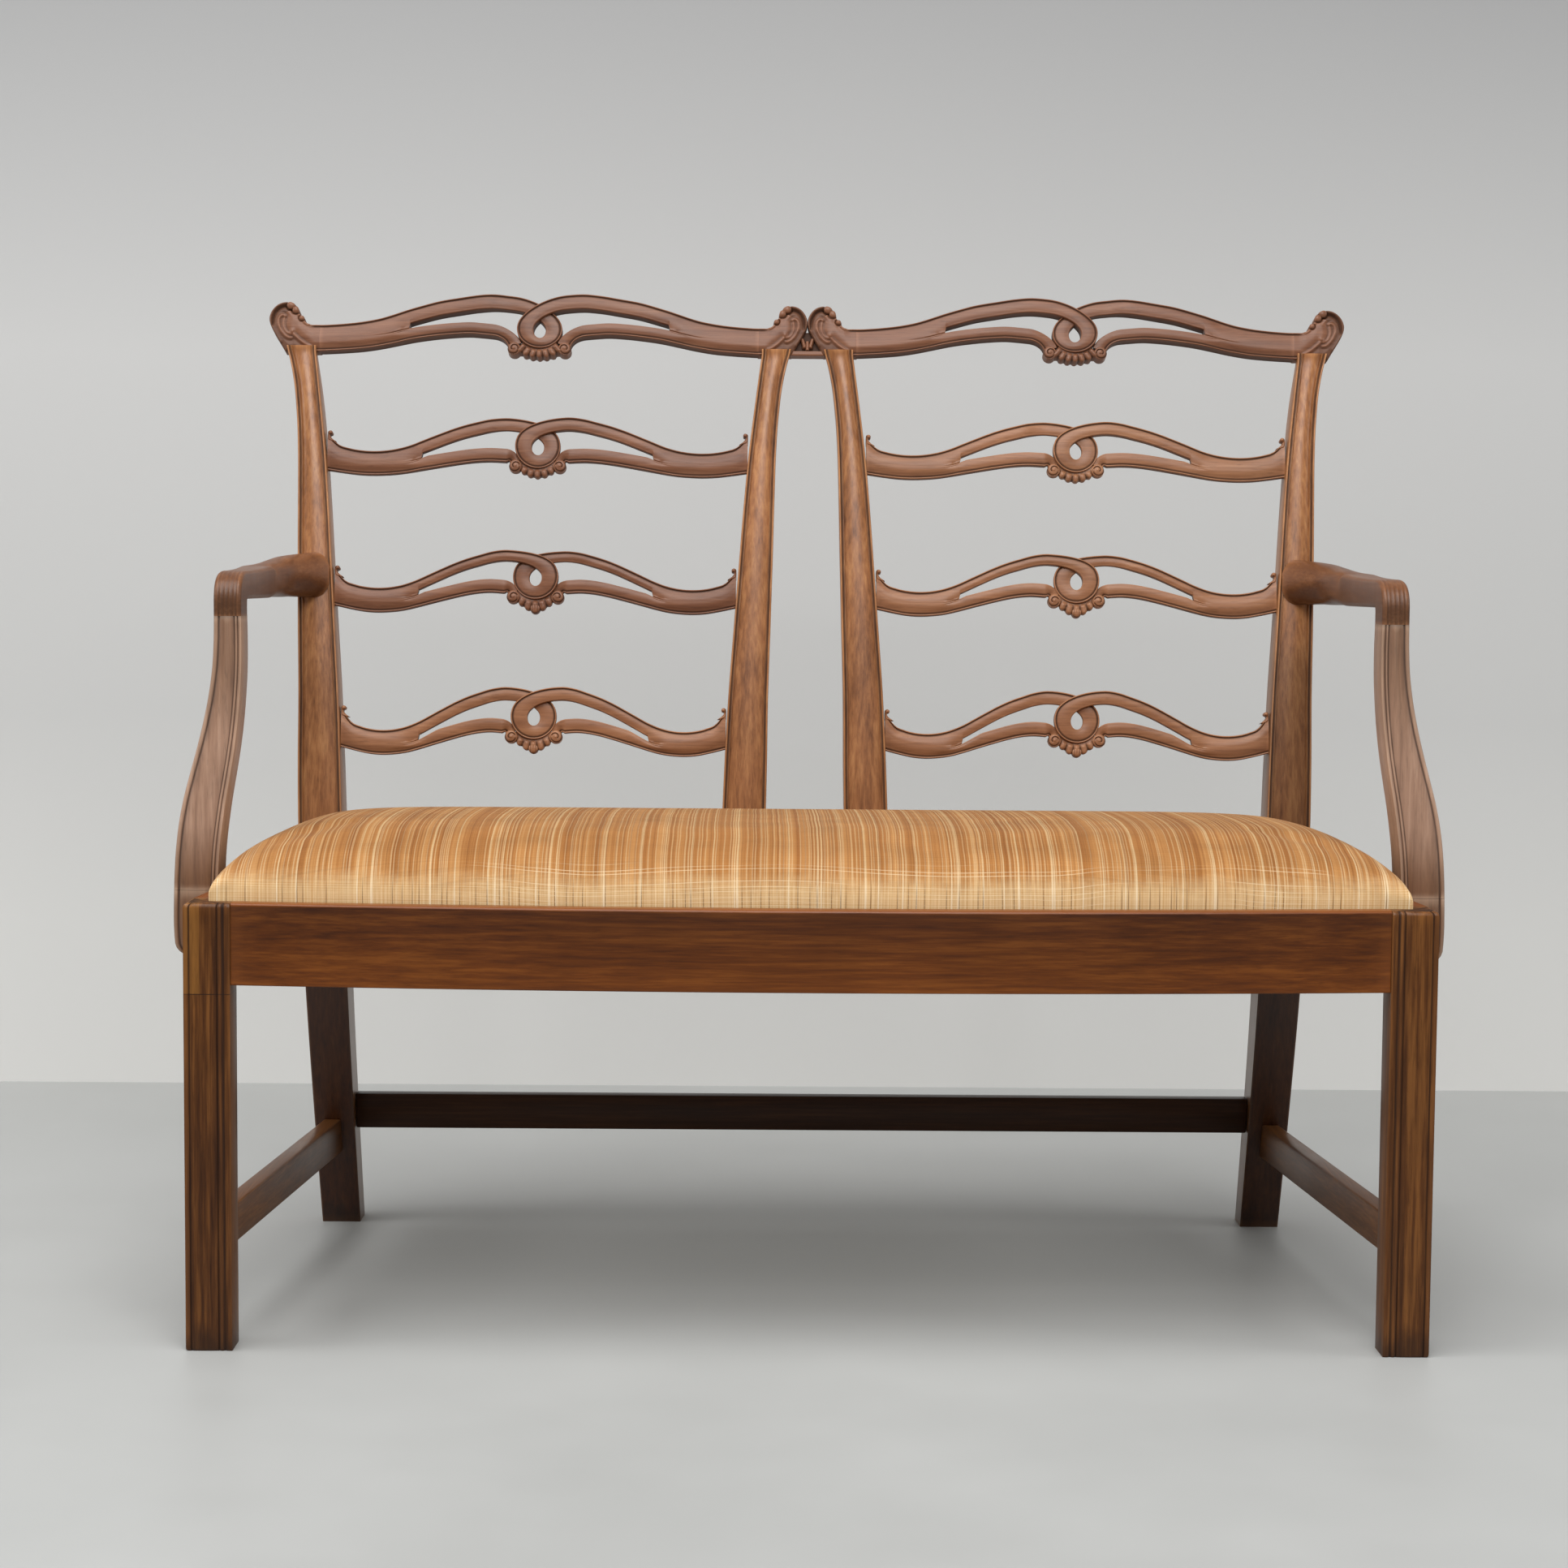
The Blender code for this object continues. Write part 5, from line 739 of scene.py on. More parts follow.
def foot_edge(line, x, end, way, pulls):
    """One edge of a lower strand, which ends in a bend down to the foot of the loop."""
    strand = np.stack([x, line(x)], 1)
    bend = bezier(strand[-1], (-STEP, heading(line, x[-1])[1]), end, way, *pulls, FOOT_BEND_STEPS)
    return np.concatenate([strand, bend[1:]])


def lower_band(shape, place, design, side):
    """The lower strand of one side, from the post to the foot of the loop."""
    nearest, eye = design["foot_start"], design["eye"]
    x = strand_places(design, nearest)
    (outer_x, outer_z), (inner_x, inner_z) = design["foot_ends"]
    run = nearest - outer_x
    outer = foot_edge(design["low"], x, (outer_x, eye + outer_z), (-0.25, -1.0), (run * 0.55, 0.006))
    inner = foot_edge(design["split_low"], x, (inner_x, eye + inner_z), (-0.3, -1.0), (run * 0.75, 0.010))
    heights = np.full(len(outer), design["low_height"])
    free = np.ones(FOOT_BEND_STEPS - 1)
    heights[-len(free):] -= 0.0030 * smoothed(np.linspace(0.1, 1, len(free)))
    split, crease = joint_shares(design, x)
    turned = np.array([side, 1.0])
    band(shape, place, outer * turned, inner * turned, heights, design["thickness"],
         np.concatenate([split, free]), np.concatenate([crease, free]))


# Carved plates
def soft_edge(distance, reach):
    """Height share of a rounded edge: 0 at the rim, 1 from a distance inwards."""
    return np.sqrt(np.clip(distance / reach, 0, 1))


def swell(distance, width):
    """Round ridge along a line, 1 at its top."""
    return np.sqrt(np.clip(1 - (distance / width) ** 2, 0, 1))


def bell(distance, width):
    return np.exp(-(distance / width) ** 2)


def circle(centre, radius, count):
    turn = np.linspace(0, 2 * math.pi, count, endpoint=False)
    return np.stack([centre[0] + radius * np.cos(turn), centre[1] + radius * np.sin(turn)], 1)


def volute(shape, place, design):
    """Rounded disc with a spiral groove and an eye."""
    centre = np.array([design["volute_out"], design["eye"] - VOLUTE_DOWN])
    turn = np.linspace(0, 2.3 * math.pi, 40)
    reach = mix(VOLUTE_RADIUS * 0.98, VOLUTE_RADIUS * 0.36, turn / turn[-1])
    start = math.radians(25)
    spiral = centre + np.stack([reach * np.cos(start - turn), reach * np.sin(start - turn)], 1)
    base = design["thickness"] - 0.0022

    def relief(points, distance):
        away = np.linalg.norm(points - centre, axis=1)
        dome = swell(away, VOLUTE_RADIUS * 1.15) * 0.0030 - 0.0022
        edge = soft_edge(distance, 0.0014) * 0.0014 - 0.0014
        groove = smoothed(1 - edge_distance(spiral, points, closed=False) / 0.0010)
        boss = smoothed(1 - away / 0.0020)
        height = base + dome + edge - 0.0013 * groove * (1 - boss) + 0.0007 * boss
        return height, np.clip(groove * (1 - boss), 0, 1) * 0.9
    relief_plate(shape, place, circle(centre, VOLUTE_RADIUS, 36), relief, design["thickness"], 0.0006)


def segments(line, closed=True):
    """Pairs of neighbouring points along a line."""
    return zip(line, np.roll(line, -1, 0)) if closed else zip(line[:-1], line[1:])


def inside(polygon, points):
    """Which points lie in a closed polygon."""
    x, y = points[:, 0], points[:, 1]
    found = np.zeros(len(points), bool)
    for a, b in segments(polygon):
        crosses = (a[1] > y) != (b[1] > y)
        with np.errstate(divide="ignore", invalid="ignore"):
            at = (b[0] - a[0]) * (y - a[1]) / (b[1] - a[1]) + a[0]
        found ^= crosses & (x < at)
    return found


def edge_distance(line, points, closed=True):
    """Distance from each point to a line of points."""
    best = np.full(len(points), np.inf)
    for a, b in segments(line, closed):
        way = b - a
        length = float(way @ way)
        if length < 1e-14:
            continue
        t = np.clip(((points - a) @ way) / length, 0, 1)
        best = np.minimum(best, np.linalg.norm(points - a - t[:, None] * way, axis=1))
    return best


def dense(line, step, closed=True):
    """A line of points with none further apart than a step."""
    line = np.asarray(line, float)
    made = []
    for a, b in segments(line, closed):
        count = max(1, int(math.ceil(np.linalg.norm(b - a) / step)))
        made += [a + (b - a) * k / count for k in range(count)]
    if not closed:
        made.append(line[-1])
    return np.array(made)


def rounded(line, per_side=6, closed=True):
    """Smooth line through corner points."""
    line = np.asarray(line, float)
    n = len(line)
    made = []
    last = n if closed else n - 1
    for i in range(last):
        p0 = line[(i - 1) % n] if closed or i > 0 else line[0]
        p1 = line[i]
        p2 = line[(i + 1) % n]
        p3 = line[(i + 2) % n] if closed or i + 2 < n else line[-1]
        for k in range(per_side):
            t = k / per_side
            made.append(0.5 * (2 * p1 + (p2 - p0) * t + (2 * p0 - 5 * p1 + 4 * p2 - p3) * t * t
                               + (3 * p1 - p0 - 3 * p2 + p3) * t ** 3))
    if not closed:
        made.append(line[-1])
    return np.array(made)


def relief_plate(shape, place, outline, relief, thickness, spacing=0.0008):
    """A plate in a sloping plane whose front is raised by relief(points, edge distance)."""
    return raise_plate(shape, place, flat_plate(outline, spacing), relief, thickness)


def flat_plate(outline, spacing):
    """Points, triangles and edge distances of an evenly filled outline."""
    rim = dense(outline, spacing)
    low, high = rim.min(0), rim.max(0)
    columns = np.arange(low[0], high[0], spacing)
    rows = np.arange(low[1], high[1], spacing * 0.87)
    grid = np.array([(x + (0.5 * spacing if k % 2 else 0), y) for k, y in enumerate(rows) for x in columns])
    grid = grid[inside(rim, grid)]
    grid = grid[edge_distance(rim, grid) > spacing * 0.45]
    points = np.concatenate([rim, grid])
    found = delaunay_2d_cdt([Vector(p) for p in points], [], [list(range(len(rim)))], 1, 1e-9)
    flat = np.array([tuple(v) for v in found[0]])
    return flat, [tuple(f) for f in found[2]], edge_distance(rim, flat)


def raise_plate(shape, place, plate, relief, thickness):
    flat, faces, distance = plate
    height, carve = relief(flat, distance)
    front = place(flat[:, 0], flat[:, 1], thickness - height)
    back = place(flat[:, 0], flat[:, 1], thickness + 0 * height)
    n = len(flat)
    sides = {}
    for face in faces:
        for a, b in zip(face, face[1:] + face[:1]):
            if (b, a) in sides:
                del sides[(b, a)]
            else:
                sides[(a, b)] = True
    all_faces = faces + [tuple(i + n for i in reversed(f)) for f in faces]
    all_faces += [(b, a, a + n, b + n) for a, b in sides]
    # Plate backs are painted somewhat darker.
    carves = np.concatenate([carve, BACK_DARKENING + 0 * carve])
    return shape.add(np.concatenate([front, back]), all_faces, carves)


SHELL_REACH = math.radians(47)
SHELL_FLUTES = 3.3
SCALLOP = 0.0017


def shell_outline(design):
    """Scalloped apron below the loop."""
    eye = design["eye"]
    turn = np.linspace(-SHELL_REACH, SHELL_REACH, 97)
    share = np.abs(turn) / SHELL_REACH
    side_reach = math.hypot(design["volute_out"] - 0.004, VOLUTE_DOWN + 0.004)
    scallop = np.abs(np.sin(math.pi * turn / (SHELL_REACH / SHELL_FLUTES))) ** 3
    reach = mix(design["shell_drop"] + eye, side_reach, share ** design["apron_power"]) - SCALLOP * scallop
    lower = np.stack([reach * np.sin(turn), eye - reach * np.cos(turn)], 1)
    return np.concatenate([lower, [(0.016, eye - 0.012), (-0.016, eye - 0.012)]])


def shell(shape, place, design):
    """Fluted apron."""
    eye, ring = design["eye"], design["ring_height"]
    pitch = SHELL_REACH / SHELL_FLUTES
    base = design["thickness"] - 0.0044

    def relief(points, distance):
        fall = eye - points[:, 1]
        turn = np.arctan2(points[:, 0], np.maximum(fall, 1e-4))
        reach = np.hypot(points[:, 0], fall)
        flute = np.abs(np.cos(math.pi * turn / pitch))
        outward = smoothed((reach - ring - 0.0005) / 0.0045)
        middle = smoothed(1 - np.abs(turn) / (pitch * 0.62))
        height = base - 0.0016 + 0.0016 * soft_edge(distance, 0.0022)
        height = height + 0.0021 * flute ** 0.7 * outward + 0.0009 * middle * outward
        carve = np.clip(1 - 1.5 * flute, 0, 1) * outward
        return height, np.maximum(carve, 0.55 * smoothed(1 - (reach - ring) / 0.0022))
    relief_plate(shape, place, shell_outline(design), relief, design["thickness"], 0.0007)


LOBE_RADIUS = 0.0052


def lobe(shape, place, design):
    """Round fluted lobe at the middle of an apron."""
    centre = np.array([0.0, -design["shell_drop"] + LOBE_RADIUS - 0.0004])

    def relief(points, distance):
        away = np.linalg.norm(points - centre, axis=1) / LOBE_RADIUS
        dome = swell(away, 1)
        flute = np.abs(np.cos(math.pi * (points[:, 0] / LOBE_RADIUS * 1.75 + 0.5)))
        height = design["thickness"] - 0.0046 + 0.0030 * dome + 0.0007 * flute * (dome > 0.3)
        return height, np.clip(0.75 - 1.6 * flute, 0, 1) * (dome > 0.35) + 0.5 * (away > 0.88)
    relief_plate(shape, place, circle(centre, LOBE_RADIUS, 40), relief, design["thickness"], 0.0005)


HOOK = ((0.0003, -0.0040), (0.0003, 0.0050), (-0.0004, 0.0068), (-0.0022, 0.0077), (-0.0041, 0.0070),
        (-0.0049, 0.0053), (-0.0042, 0.0038), (-0.0029, 0.0034), (-0.0021, 0.0022), (-0.0026, 0.0006),
        (-0.0050, -0.0018), (-0.0090, -0.0045))


def hook(shape, place, design):
    """Small curl where a slat's top edge meets the stile."""
    half = design["half"]
    top = float(design["top"](half * 0.985))
    outline = np.array([(half + x, top + z) for x, z in rounded(HOOK, 3, closed=False)])
    boss = np.array([half - 0.0028, top + 0.0053])

    def relief(points, distance):
        edge = soft_edge(distance, 0.0018) * 0.0018
        ball = swell(np.linalg.norm(points - boss, axis=1), 0.0024) * 0.0010
        return design["low_height"] - 0.0028 + edge + ball, 0.5 * smoothed(1 - distance / 0.0009)
    relief_plate(shape, place, outline, relief, design["thickness"], 0.0006)


def edge_line(half, low, high, shares):
    """Height along an edge, from the middle outwards."""
    share = curve(shares)
    return lambda x: mix(low, high, share(np.asarray(x) / half))


def slat_design(row):
    half, dip = SLAT_HALVES[row], -SLAT_DIPS[row]
    design = {"half": half, "top": edge_line(half, dip, SLAT_PEAKS[row], TOP_SHARES),
              "low": edge_line(half, dip - SLAT_BAND, -SLAT_ARCH, LOW_SHARES), "band_end": half,
              "thickness": SLAT_THICKNESS, "low_height": SLAT_THICKNESS - 0.0014, "eye": SLAT_EYE_RISE,
              "ring_height": RING_RADIUS, "volute_out": 0.0236, "shell_drop": SLAT_SHELL_DROPS[row],
              "apron_power": SLAT_APRON_POWERS[row], "reach": SLAT_SLOT_REACHES[row],
              "crease": SLAT_CREASE, "foot_start": 0.034,
              "foot_ends": ((0.0290, -0.0195), (0.0190, -0.0150))}
    add_splits(design, SLAT_STRANDS[row], SLAT_LOWER_STRANDS[row], 0.5)
    return design


def crest_design():
    half = CREST_HALF
    design = {"half": half, "top": edge_line(half, CREST_DIP, CREST_PEAK, CREST_TOP_SHARES),
              "low": edge_line(half, -CREST_DROP, -CREST_ARCH, CREST_LOW_SHARES), "band_end": half * 0.985,
              "thickness": CREST_THICKNESS, "low_height": CREST_THICKNESS - 0.0016, "eye": 0.0,
              "ring_height": 0.0212, "volute_out": 0.0272, "shell_drop": CREST_SHELL_DROP,
              "apron_power": 1.6, "reach": CREST_SLOT_REACH, "crease": CREST_CREASE,
              "foot_start": 0.050, "foot_ends": ((0.0335, -0.0195), (0.0195, -0.0150))}
    add_splits(design, CREST_STRAND, CREST_LOWER_STRAND, 0.40)
    return design


def add_splits(design, strand, lower_strand, meeting_share):
    """Edges of the slot, which meet in a crease beyond its end."""
    top_at, low_at, reach = design["top"], design["low"], design["reach"]

    def split_low_at(x):
        slot_low = np.minimum(low_at(x) + lower_strand, top_at(x) - strand - SLOT_MOUTH)
        middle = mix(low_at(x), top_at(x), meeting_share)
        return mix(slot_low, middle, smoothed((x - reach) / 0.045))

    def split_at(x):
        return mix(top_at(x) - strand, split_low_at(x), np.clip((x - reach) / SLOT_END, 0, 1))
    design["split"] = split_at
    design["split_low"] = split_low_at


def interlaced(shape, place, design, over):
    """The two strands of a slat or crest rail with their loop, volutes and apron."""
    loop_band(shape, place, design, over)
    for side in (-1, 1):
        lower_band(shape, place, design, side)
        volute(shape, moved(place, side), design)
    shell(shape, place, design)


OVER = (-1, 1, -1)
LOBED_ROWS = (0, 1)


def build_slats():
    for label, direction in SIDES:
        for row, name in enumerate(ROW_NAMES):
            design = slat_design(row)
            flat_place = sloping_frame(RAIL_TOP + SLAT_RISE_SHARES[row] * CREST_HEIGHT, SLAT_SETBACK)
            place = moved(flat_place, shift=direction * BACK_CENTRE)
            shape = Shape()
            interlaced(shape, place, design, OVER[row])
            if row in LOBED_ROWS:
                lobe(shape, place, design)
            for side in (-1, 1):
                hook(shape, moved(place, side), design)
            material = slat_wood if label == "left" and row > 0 else warm_slat_wood
            make_piece("carved_slat_%s_%s" % (label, name), shape, material,
                       ["back_slat_%s_%s" % (label, name)])


# Drawing of an ear in millimetres from the band's end, outwards and up
EAR_WIDTH = 51.5
EAR_OUTLINE = ((9.5, 4.0), (12.6, 6.2), (13.2, 9.6), (15.0, 12.6), (17.4, 13.4), (18.7, 14.2), (19.0, 17.0),
               (20.6, 21.6), (25.0, 26.0), (31.0, 28.3), (37.5, 28.0), (43.5, 25.2), (48.3, 20.0),
               (51.0, 14.0), (51.5, 8.5), (49.7, 2.0), (45.4, -6.5), (39.8, -15.5))
EAR_FOOT = (33.4, -26.2)
LOW_RIDGE = ((-12.0, -24.4), (-2.0, -23.4), (7.0, -21.0), (14.0, -17.2), (20.0, -12.4), (24.0, -8.6))
SCROLL_OUTER = ((27.5, -12.6), (32.0, -10.6), (36.4, -6.4), (39.8, -0.5), (41.6, 5.2), (40.8, 10.4),
                (37.4, 13.4), (34.6, 12.2))
SCROLL_INNER = ((35.4, 8.8), (36.0, 3.2), (34.8, -2.0), (32.0, -6.0), (28.4, -7.8))
HEAD_GROOVE = ((48.2, 3.0), (47.6, 10.0), (45.6, 16.0), (41.6, 21.0), (36.0, 23.4), (30.0, 22.4),
               (25.6, 18.6))
EAR_KNOB = (26.4, -5.2)
LEAF_LOBES = ((28.4, 24.2, 4.6), (22.8, 19.0, 4.2), (16.3, 9.9, 3.1))


def ear_points(rows, reach):
    """Drawing points in metres, for an ear that ends at a reach."""
    width = (reach - CREST_HALF) / (EAR_WIDTH * MM)
    return np.array([(CREST_HALF + x * MM * (width if x > 0 else 1), z * MM) for x, z in rows])


def ear_outline(reach):
    """Crest end from the top of the band, round the scroll, to the bottom at the stile."""
    top_at = crest_design()["top"]
    band_top = [(CREST_HALF - back * MM, float(top_at(CREST_HALF - back * MM)) - sunk * MM)
                for back, sunk in ((4.6, 0.4), (3.6, 0.0), (1.8, 0.0), (0.0, 0.0))]
    turn = ear_points([(2.6, 2.7), (6.0, 3.2)], reach)
    head = rounded(ear_points(EAR_OUTLINE, reach), 4, closed=False)
    foot = ear_points([EAR_FOOT], reach)
    finish = [(CREST_HALF - 3.6 * MM, -CREST_DROP), (CREST_HALF - 4.6 * MM, -CREST_DROP + 0.0004)]
    return np.concatenate([band_top, turn, head, foot, finish])


def band_profile(distance, half_width):
    """Height and carve across half of the joined band, from its edge."""
    offsets = [row[0] for row in EDGE_BEAD]
    share = np.clip((distance - BEAD_REACH) / (half_width - JOIN_INSET - BEAD_REACH), 0, 1)
    body = JOINED_CROWN * (1 - share) ** 2
    sunk = JOINED_CROWN - FREE_CROWN
    bead = -np.interp(distance, offsets, [row[1] * GROOVE for row in EDGE_BEAD]) - sunk
    height = np.where(distance < BEAD_REACH, bead, -body)
    return height, np.interp(distance, offsets, [row[2] for row in EDGE_BEAD]) * (distance < BEAD_REACH)


def ear_relief(reach):
    """The band's face turning up into a round head, a rolled rim, a C-scroll, a knob and leaf tips."""
    def line(rows):
        return rounded(ear_points(rows, reach), 5, closed=False)
    low_ridge, outer, inner = line(LOW_RIDGE), line(SCROLL_OUTER), line(SCROLL_INNER)
    groove = line(HEAD_GROOVE)
    rim_line = rounded(ear_points(EAR_OUTLINE, reach), 4, closed=False)
    knob_at = ear_points([EAR_KNOB], reach)[0]
    leaf = [(ear_points([(x, z)], reach)[0], radius * MM) for x, z, radius in LEAF_LOBES]
    design = crest_design()
    base, top_at = design["low_height"], design["top"]

    def relief(points, distance):
        x, z = points[:, 0], points[:, 1]
        on_ear = smoothed((x - CREST_HALF - 0.001) / 0.010)
        width = top_at(np.minimum(x, CREST_HALF)) + CREST_DROP
        upper, upper_carve = band_profile(np.maximum(top_at(np.minimum(x, CREST_HALF)) - z, 0), width * 0.6)
        lower, lower_carve = band_profile(np.maximum(z + CREST_DROP, 0), width * 0.4)
        use_low = (z + CREST_DROP) < width * 0.4
        band_height = base + np.where(use_low, lower, upper)
        band_carve = np.where(use_low, lower_carve, upper_carve)
        low, far, near = [edge_distance(part, points, closed=False) for part in (low_ridge, outer, inner)]
        in_groove = edge_distance(groove, points, closed=False)
        from_rim = edge_distance(rim_line, points, closed=False)
        nearest = np.minimum(np.minimum(low, far), near)
        sweep = np.clip(np.minimum(np.minimum(nearest, in_groove), distance) / 0.0095, 0, 1)
        below = smoothed(ear_side(points, low_ridge, outer) / 0.0045)
        height = base - 0.0024 * (1 - sweep) ** 2 - 0.0014 * below
        height -= 0.0016 * bell(in_groove, 0.0017)
        height += 0.0020 * bell(from_rim - 0.0008, 0.0017)
        height += 0.0022 * bell(low, 0.0017) + 0.0019 * bell(far, 0.0016) + 0.0017 * bell(near, 0.0014)
        hollow = bell(far - 0.0026, 0.0013) * bell(near - 0.0026, 0.0013)
        height -= 0.0008 * hollow
        knob_away = np.linalg.norm(points - knob_at, axis=1)
        height += 0.0016 * bell(knob_away, 0.0026)
        edge = soft_edge(distance, 0.0016) * 0.0012 - 0.0012
        # The carve values here paint shade: in the groove under the rim, along both sides of the ridges, in
        # the hollow, below the scroll and in the gaps between the leaf lobes.
        carve = 0.95 * bell(in_groove, 0.0016)
        carve = np.maximum(carve, 0.55 * hollow)
        carve = np.maximum(carve, 0.50 * bell(nearest - 0.0026, 0.0011) * (knob_away > 0.0034))
        carve = np.maximum(carve, 0.55 * below)
        lobes = [np.linalg.norm(points - lobe_at, axis=1) / radius for lobe_at, radius in leaf]
        lobe_near = np.minimum(np.minimum(lobes[0], lobes[1]), lobes[2])
        dome = swell(lobe_near, 1)
        height = np.where(dome > 0, np.maximum(height, base - 0.0014 + 0.0030 * dome), height)
        gap = bell(lobe_near - 1.16, 0.16)
        height -= 0.0012 * gap
        carve = np.clip(np.maximum(carve * (lobe_near > 1), 0.85 * gap), 0, 1)
        height = mix(band_height, height + edge, on_ear)
        height -= 0.0006 * smoothed((CREST_HALF - 0.0037 - x) / 0.0008)
        return np.minimum(height, CREST_THICKNESS + 0.0022), mix(band_carve, carve, on_ear)
    return relief


def ear_side(points, low_ridge, outer):
    """How far points lie outside the line of the low ridge and the scroll, 0 where they are inside."""
    line = np.concatenate([low_ridge, outer[3:-6]])
    best = np.full(len(points), np.inf)
    sign = np.zeros(len(points))
    for a, b in segments(line, closed=False):
        way = b - a
        length = math.hypot(*way)
        if length < 1e-9:
            continue
        t = np.clip(((points - a) @ way) / length ** 2, 0, 1)
        reach = np.linalg.norm(points - a - t[:, None] * way, axis=1)
        turned = (way[0] * (points[:, 1] - a[1]) - way[1] * (points[:, 0] - a[0])) / length
        closer = reach < best
        best = np.where(closer, reach, best)
        sign = np.where(closer, turned, sign)
    return np.where(sign < 0, best, 0.0)


def build_crests():
    design = crest_design()
    flat_place = sloping_frame(RAIL_TOP + CREST_HEIGHT, 0)
    ears = {reach: flat_plate(ear_outline(reach), 0.00065) for reach in (EAR_REACH_OUTER, EAR_REACH_INNER)}
    for label, direction in SIDES:
        place = moved(flat_place, shift=direction * BACK_CENTRE)
        shape = Shape()
        interlaced(shape, place, design, direction)
        for side in (-1, 1):
            reach = EAR_REACH_OUTER if side == direction else EAR_REACH_INNER
            raise_plate(shape, moved(place, side), ears[reach], ear_relief(reach), CREST_THICKNESS)
        make_piece("carved_crest_" + label, shape, slat_wood, ["crest_rail_" + label])


def link_relief(points, distance):
    """Bellflower of three petals above a plain bar, with painted shadow in the recess round them."""
    x, z = points[:, 0], points[:, 1]
    bar = smoothed((-0.0205 - z) / 0.0010)
    rise = z + 0.0195
    spread = 0.0034 + 0.28 * np.clip(rise - 0.004, 0, 1)
    petal = swell(np.abs(x) - spread, 0.0024) * smoothed(rise / 0.003) * smoothed((0.0135 - rise) / 0.0016)
    middle = swell(x, 0.0022) * smoothed((rise + 0.002) / 0.002) * smoothed((0.0105 - rise) / 0.0016)
    flower = np.maximum(petal, middle)
    height = 0.0062 + 0.0050 * bar + soft_edge(distance, 0.0014) * 0.0010 + 0.0052 * flower * (1 - bar)
    # A high carve round the flower and petals paints the shadow in the recess.
    return height, np.clip(0.95 - 0.9 * bar - 1.3 * flower, 0, 1)


def build_link():
    """The tapered block between the two middle ears."""
    top, bottom = 0.0010, -CREST_DROP - 0.0002
    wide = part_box("crest_link")[1].x - 0.0004
    shoulder = (wide * 0.72, mix(bottom, top, 0.45))
    outline = rounded([(-wide, bottom), (wide, bottom), shoulder, (0.0022, top), (-0.0022, top),
                       (-shoulder[0], shoulder[1])], 1)
    shape = Shape()
    relief_plate(shape, sloping_frame(RAIL_TOP + CREST_HEIGHT, 0.005), outline, link_relief, 0.0130, 0.0006)
    make_piece("carved_link", shape, slat_wood, ["crest_link"])


# Uprights
def sliced(node, z):
    """(least x, most x, least y, most y) of a CAD node where a level plane cuts it."""
    source = frame["nodes"][node]
    points = places_of(source)
    edges = np.array([e.vertices for e in source.data.edges])
    a, b = points[edges[:, 0]], points[edges[:, 1]]
    crossing = (a[:, 2] - z) * (b[:, 2] - z) <= 0
    a, b = a[crossing], b[crossing]
    t = (z - a[:, 2]) / np.where(np.abs(b[:, 2] - a[:, 2]) < 1e-9, 1, b[:, 2] - a[:, 2])
    cut = a + (b - a) * np.clip(t, 0, 1)[:, None]
    return cut[:, 0].min(), cut[:, 0].max(), cut[:, 1].min(), cut[:, 1].max()


def sides_of(node, heights):
    """Smooth functions of height for the four sides of an upright CAD node."""
    rows = [sliced(node, z) for z in heights]
    return [curve([(z, row[k]) for z, row in zip(heights, rows)]) for k in range(4)]


UPRIGHT_STATIONS = 90
UPRIGHT_TRIM = ((0.30, 0.0), (0.22, 0.0010), (0.14, 0.0026), (0.07, 0.0038), (0.035, 0.0032),
                (0.014, 0.0012), (0.0, -0.0014))
UPRIGHT_CROWN = 0.0026
BEAD_SCALE = 1.35
BACK_ROUND = 0.0035
POST_LEVELS = (0.0, 0.12, 0.235, 0.335, RAIL_TOP)
STILE_LEVELS = (0.43, 0.50, 0.578, 0.65, 0.716, 0.777, 0.833, 0.888)


def upright(name, node, material, low, side_heights, moulded_from, outer):
    """An upright with a bead down each front edge, slimmer on its outer side and flared at its top."""
    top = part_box("rear_post_left")[1].z
    high = top - 0.0065
    cad_left, cad_right, front, back = sides_of(node, [*side_heights, *STILE_LEVELS, top - 0.013])
    trimmed = curve([(high - above, amount) for above, amount in UPRIGHT_TRIM])
    bend = high - 0.06
    z = np.concatenate([np.linspace(low, bend, UPRIGHT_STATIONS), np.linspace(bend, high, 16)[1:]])
    trim = np.where(z > high - UPRIGHT_TRIM[0][0], trimmed(z), 0)
    left = cad_left(z) + (trim if outer < 0 else 0)
    right = cad_right(z) - (trim if outer > 0 else 0)
    width = right - left
    moulding = smoothed((z - moulded_from) / 0.004)
    rings = []
    carves = []
    for offset, relief, carve in band_columns(width, crown=UPRIGHT_CROWN, scale=BEAD_SCALE):
        plain = np.maximum(0.0012 - np.minimum(offset, width - offset), 0) * 0.8
        rings.append(np.stack([left + offset, front(z) + mix(plain, -relief, moulding), z], 1))
        carves.append(carve * moulding * UPRIGHT_POLISH)
    for side, inset, forward in ((1, 0, 1), (1, 0.3, 0.3), (1, 1, 0), (0, 1, 0), (0, 0.3, 0.3), (0, 0, 1)):
        x = mix(left + BACK_ROUND * inset, right - BACK_ROUND * inset, side)
        rings.append(np.stack([x, back(z) - BACK_ROUND * forward, z], 1))
        carves.append(0 * z)
    shape = Shape().loft(np.stack(rings, 1), np.stack(carves, 1))
    make_piece(name, shape, material, [node], 35)


def build_uprights():
    for label, side, post_wood in (("left", -1, back_wood), ("right", 1, right_post_painted_shade_wood)):
        upright("moulded_post_" + label, "rear_post_" + label, post_wood, 0.0, POST_LEVELS,
                RAIL_TOP + 0.002, side)
        upright("moulded_stile_" + label, "inner_stile_" + label, back_wood, RAIL_TOP + GAP,
                [RAIL_TOP + 0.001], RAIL_TOP, -side)


